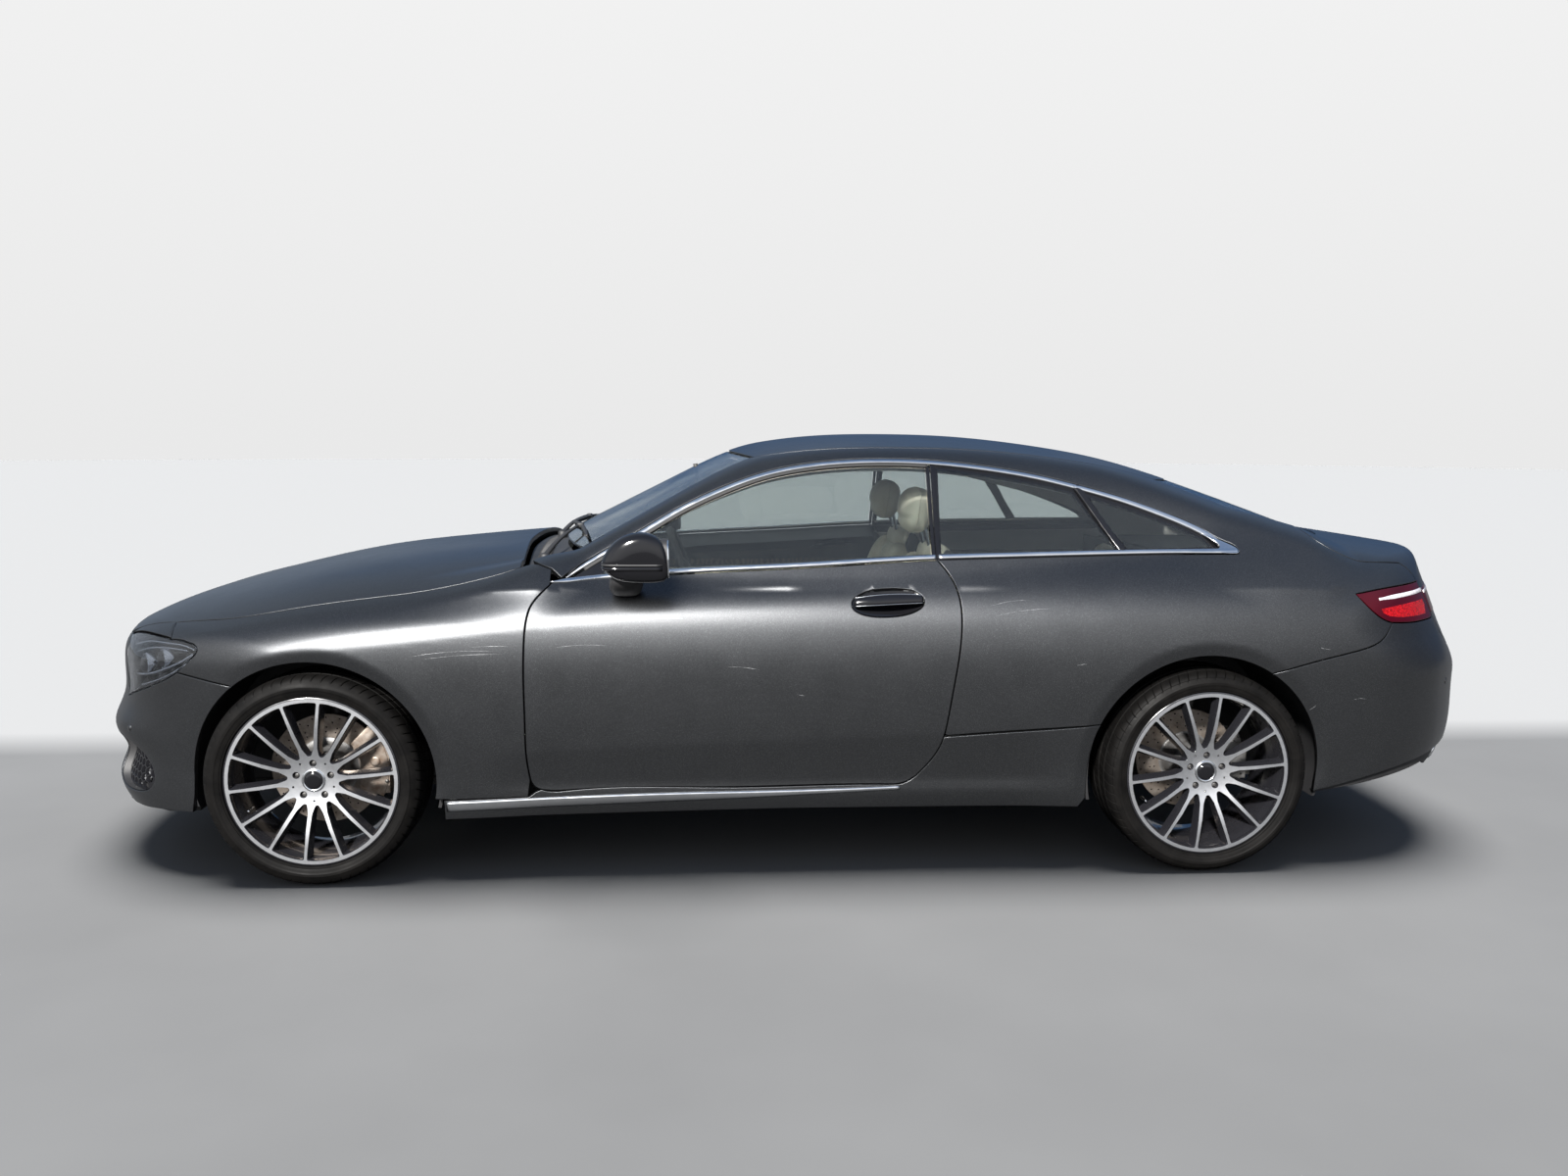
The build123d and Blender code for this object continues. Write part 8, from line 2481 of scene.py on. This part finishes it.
for k in range(9):
    bits.append(brick("key%d" % k, 1.003, 1.012, -0.085 + k * 0.0195, -0.069 + k * 0.0195, 0.742, 0.751, REFLECT, 0.0015))
place(join_objects("dash_assembly", bits), "body", "cabin_trim", "dashboard")

# steering wheel
sc = np.array([1.160, -0.370, 0.925])
ax_ = np.array([0.93, 0.0, 0.37])
ax_ /= np.linalg.norm(ax_)
e1 = np.array([0.0, 1.0, 0.0])
e2 = np.cross(ax_, e1)
e2 = e2 if e2[2] > 0 else -e2
sc = sc + ax_ * 0.012
t = np.linspace(0, 2 * math.pi, 96, endpoint=False)
ringc = sc + 0.1715 * (np.cos(t)[:, None] * e1 + np.sin(t)[:, None] * e2)
ringc[:, :] = ringc
flat = np.where(np.sin(t) < -0.86, (np.abs(np.sin(t)) - 0.86) * 0.10, 0.0)
ringc = ringc + flat[:, None] * e2 * 1.0
nn = ringc - sc
nn /= np.linalg.norm(nn, axis=1, keepdims=True)
a = np.linspace(0, 2 * math.pi, 14, endpoint=False)
prof = np.stack([0.0150 * np.cos(a), 0.0135 * np.sin(a)], 1)
bits = [sweep("wheel_rim", ringc, prof, CABIN, n=nn, b=np.tile(ax_, (96, 1)), closed=True)]
hub = []
for r_, h in ((0.0, 0.020), (0.030, 0.0195), (0.052, 0.015), (0.064, 0.004), (0.066, -0.010), (0.058, -0.022), (0.0, -0.024)):
    hub.append((r_, h))
pr = np.array(hub)
tt = np.linspace(0, 2 * math.pi, 40, endpoint=False)
v = sc + (np.cos(tt)[:, None, None] * pr[None, :, :1] * e1 * 1.12 + np.sin(tt)[:, None, None] * pr[None, :, :1] * e2 + pr[None, :, 1:] * ax_)
k = len(pr)
fcs = [(a_ * k + b_, ((a_ + 1) % 40) * k + b_, ((a_ + 1) % 40) * k + b_ + 1, a_ * k + b_ + 1) for a_ in range(40) for b_ in range(k - 1)]
o = make_mesh("wheel_hub", v.reshape(-1, 3), fcs, None, [CABIN])
fix_normals(o)
bits.append(o)
for ang_, w0, w1 in ((0.0, 0.030, 0.020), (math.pi, 0.030, 0.020), (-math.pi / 2 - 0.22, 0.014, 0.011), (-math.pi / 2 + 0.22, 0.014, 0.011)):
    d = math.cos(ang_) * e1 + math.sin(ang_) * e2
    q = np.cross(ax_, d)
    ts = np.linspace(0.048, 0.162, 12)
    c3 = sc + ts[:, None] * d - ax_ * 0.004
    w = np.interp(ts, [0.048, 0.162], [w0, w1])
    bits.append(sweep("wheel_spoke%d" % int(ang_ * 100), c3, [(-1.0, -0.006), (-0.9, 0.006), (0.9, 0.006), (1.0, -0.006)], REFLECT if abs(math.sin(ang_)) < 0.5 else CABIN, n=np.tile(ax_, (12, 1)), b=np.tile(q, (12, 1)), scale=np.stack([w, np.ones(12)], 1)))
    if abs(math.sin(ang_)) < 0.5:
        for j in range(3):
            pc = sc + (0.080 + j * 0.020) * d + ax_ * 0.004
            bits.append(brick("wheel_key%d_%d" % (int(ang_ * 100), j), pc[0] - 0.004, pc[0] + 0.004, pc[1] - 0.007, pc[1] + 0.007, pc[2] - 0.009, pc[2] + 0.009, GLOSS, 0.002))
col0, col1 = sc - ax_ * 0.020, sc - ax_ * 0.150
bits.append(tube("column", [tuple(col0), tuple(0.5 * (col0 + col1)), tuple(col1)], 0.036, CABIN, 20))
for sg in (-1, 1):
    p0 = sc - ax_ * 0.045 + e1 * sg * 0.03
    p1 = p0 + e1 * sg * 0.115 + e2 * 0.012
    bits.append(tube("stalk%d" % sg, [tuple(p0), tuple(0.5 * (p0 + p1)), tuple(p1)], 0.0075, GLOSS, 10))
place(join_objects("wheel_assembly", bits), "body", "cabin_trim", "steering_wheel")

# console with lid, selector pad and trim
cp = closed_smooth([(0.955, 0.430), (0.955, 0.600), (1.080, 0.636), (1.500, 0.640), (1.570, 0.694), (1.850, 0.698), (1.876, 0.640), (1.870, 0.430)], 90, 3)
bits = [prism("console_body", cp, "y", -0.104, 0.104, CABIN, 0.010, 3)]
bits.append(brick("console_wood", 1.06, 1.545, -0.088, 0.088, 0.628, 0.6435, WOOD, 0.005, 3))
bits.append(brick("console_bin", 1.10, 1.235, -0.060, 0.060, 0.640, 0.6465, GLOSS, 0.004, 2))
bits.append(brick("console_dial_base", 1.30, 1.47, -0.045, 0.045, 0.640, 0.652, BLACK, 0.008, 3))
bits.append(brick("console_touch", 1.325, 1.425, -0.036, 0.036, 0.650, 0.668, GLOSS, 0.012, 3))
place(join_objects("console_assembly", bits), "body", "cabin_trim", "centre_console")
ob = put_pad("console_lid", (1.715, 0.0, 0.704), 0.0, (0.140, 0.092, 0.022), n=16, crown=0.1, seed=5)
place(ob, "body", "seat_leather")

# carpets, pedals, shelf, inner mirror, boot lining
def mat_sheet(name, x0, x1, y0, y1, z, mat, hump=0.0):
    nx, ny = 30, 24
    xs, ys_ = np.meshgrid(np.linspace(x0, x1, nx), np.linspace(y0, y1, ny))
    zz = z + 0.004 * np.sin(xs * 11.0) * np.cos(ys_ * 9.0) + hump * step(0.80, 0.60, xs) * 0
    v = np.stack([xs.ravel(), ys_.ravel(), zz.ravel()], 1)
    f = [(r_ * nx + c, r_ * nx + c + 1, (r_ + 1) * nx + c + 1, (r_ + 1) * nx + c) for r_ in range(ny - 1) for c in range(nx - 1)]
    return make_mesh(name, v, f, None, [mat])


for sy, tg in ((-1, "left"), (1, "right")):
    place(mat_sheet("carpet_%s" % tg, 0.560, 2.360, *sorted((sy * 0.142, sy * 0.742)), 0.246, CARPET), "body", "cabin_trim")
    place(brick("foot_mat_%s" % tg, 0.83, 1.42, *sorted((sy * 0.165, sy * 0.590)), 0.252, 0.262, CARPET, 0.004, 2), "body", "cabin_trim")
    place(brick("rear_mat_%s" % tg, 2.02, 2.31, *sorted((sy * 0.165, sy * 0.590)), 0.252, 0.262, CARPET, 0.004, 2), "body", "cabin_trim")
    place(brick("cabin_wall_%s" % tg, 2.10, 2.90, *sorted((sy * 0.690, sy * 0.700)), 0.36, 0.92, CABIN, 0.003, 2), "body", "cabin_trim")
    place(brick("rear_arm_%s" % tg, 2.32, 2.80, *sorted((sy * 0.500, sy * 0.690)), 0.33, 0.640, CABIN, 0.030, 3), "body", "cabin_trim")
place(brick("tunnel_cover", 0.560, 2.360, -0.146, 0.146, 0.250, 0.427, CARPET, 0.030, 3), "body", "cabin_trim")
shelf = brick("parcel_shelf", 2.960, 3.370, -0.575, 0.575, 0.986, 0.996, CABIN, 0.004, 2)
place(shelf, "body", "cabin_trim")
bits = []
for j, (px, py, w) in enumerate(((0.800, -0.30, 0.030), (0.800, -0.42, 0.036))):
    bits.append(brick("pedal%d" % j, px - 0.010, px + 0.004, py - w, py + w, 0.37, 0.46 if j == 0 else 0.43, BLACK, 0.004))
    bits.append(tube("pedal_arm%d" % j, [(px - 0.01, py, 0.42), (px - 0.05, py, 0.55), (px - 0.09, py, 0.66)], 0.008, CAST, 8))
place(join_objects("pedals", bits), "body", "cabin_trim")
rm = closed_smooth([(-0.115, 1.205), (0.115, 1.205), (0.112, 1.262), (0.0, 1.268), (-0.112, 1.262)], 60, 3)
bits = [prism("inner_mirror_shell", rm, "x", 1.205, 1.232, CABIN, 0.008, 3)]
q = rm.copy()
cq = q.mean(0)
bits.append(prism("inner_mirror_glass", cq + (q - cq) * 0.93, "x", 1.228, 1.2345, MIRRORGLASS, 0.001))
bits.append(tube("inner_mirror_arm", [(1.215, 0.0, 1.240), (1.200, 0.0, 1.285), (1.195, 0.0, 1.315)], 0.009, CABIN, 10))
place(join_objects("inner_mirror", bits), "body", "cabin_trim")
# boot lining and engine cover
place(brick("boot_floor", 2.965, 3.690, -0.462, 0.462, 0.4155, 0.424, CARPET, 0.003), "body", "cabin_trim")
for sy in (-1, 1):
    place(brick("boot_side_%d" % (1 if sy > 0 else 0), 2.965, 3.690, *sorted((sy * 0.462, sy * 0.474)), 0.416, 0.880, CARPET, 0.003), "body", "cabin_trim")
place(brick("boot_end", 3.690, 3.702, -0.462, 0.462, 0.416, 0.680, CABIN, 0.004), "body", "cabin_trim")
ec = closed_smooth([(-0.30, 0.805), (-0.30, 0.828), (-0.24, 0.846), (0.20, 0.846), (0.27, 0.828), (0.27, 0.805)], 48, 2)
bits = [prism("engine_cover", ec, "y", -0.205, 0.205, BLACK, 0.008, 3)]
for k in (-2, -1, 0, 1, 2):
    bits.append(brick("cover_rib%d" % k, -0.24, 0.20, k * 0.075 - 0.010, k * 0.075 + 0.010, 0.842, 0.852, BLACK, 0.004, 2))
bits.append(tube("intake_pipe", [(-0.40, 0.28, 0.70), (-0.30, 0.33, 0.76), (-0.05, 0.34, 0.78), (0.20, 0.33, 0.76), (0.30, 0.26, 0.72)], 0.038, BLACK, 16))
bits.append(tube("hose", [(-0.45, -0.20, 0.66), (-0.36, -0.30, 0.70), (-0.10, -0.33, 0.72), (0.15, -0.32, 0.70)], 0.022, SEAL, 12))
bits.append(brick("battery_cover", 0.28, 0.50, 0.30, 0.52, 0.62, 0.780, BLACK, 0.012, 3))
bits.append(brick("fluid_tank", 0.30, 0.46, -0.52, -0.36, 0.62, 0.775, PLATE, 0.018, 3))
bits.append(lathe("fluid_cap", [(0.0, 0.0), (0.03, 0.0)], (0.38, -0.44, 0.78), BLACK, 1, 12)) if False else None
bits.append(brick("front_crossmember", -0.66, -0.58, -0.50, 0.50, 0.655, 0.690, BLACK, 0.010, 3))
bits.append(brick("radiator", -0.600, -0.560, -0.40, 0.40, 0.320, 0.650, CAST, 0.006, 2))
bits.append(brick("airbox", -0.42, -0.12, 0.34, 0.56, 0.55, 0.72, BLACK, 0.020, 3))
place(join_objects("engine_bay", [b for b in bits if b]), "body", "underbody")


# ------------------------------------------------------------------ what rides on what
place(bonnet, "bonnet", "body_paint", "bonnet")
place(roof, "body", "body_paint", "roof")
place(boot, "boot_lid", "body_paint", "boot_lid")
place(front_bumper, "body", "body_paint", "front_bumper")
place(rear_bumper, "body", "body_paint", "rear_bumper")
for s, nm, net in SIDES:
    place(SK[nm, "quarter"], "body", "body_paint", nm + "_body_side")
    place(SK[nm, "wing"], "body", "body_paint", nm + "_wing")
    place(SK[nm, "door"], nm + "_door", "body_paint", nm + "_door")
    place(SK[nm, "skirt"], "body", "body_paint", *(["side_skirts"] if nm == "left" else []))
for nd, mt in (("arch_liners", BLACK), ("bulkheads", UNDER), ("front_axle", CAST), ("rear_axle", CAST), ("engine_block", CAST),
               ("front_left_knuckle", CALIPER), ("front_right_knuckle", CALIPER)):
    ob = bpy.data.objects[nd]
    ob.data.materials.clear()
    ob.data.materials.append(mt)


# ------------------------------------------------------------------ lights, set last because they name what they light
painted = [ob for ob in scene.objects if ob.type == "MESH" and PAINT in list(ob.data.materials)]
far_light("sun", 12.0, 5.0, (0.33, 0.757, -0.565), (1.0, 0.975, 0.94), but=[floor] + painted)
far_light("glow", 7.6, 34.0, (0.254, 0.832, -0.492), (1.0, 0.99, 0.965), only=painted)
far_light("overhead", 11.4, 34.0, (0.0, -0.10, -1.0), (1.0, 1.0, 1.0), only=[floor])
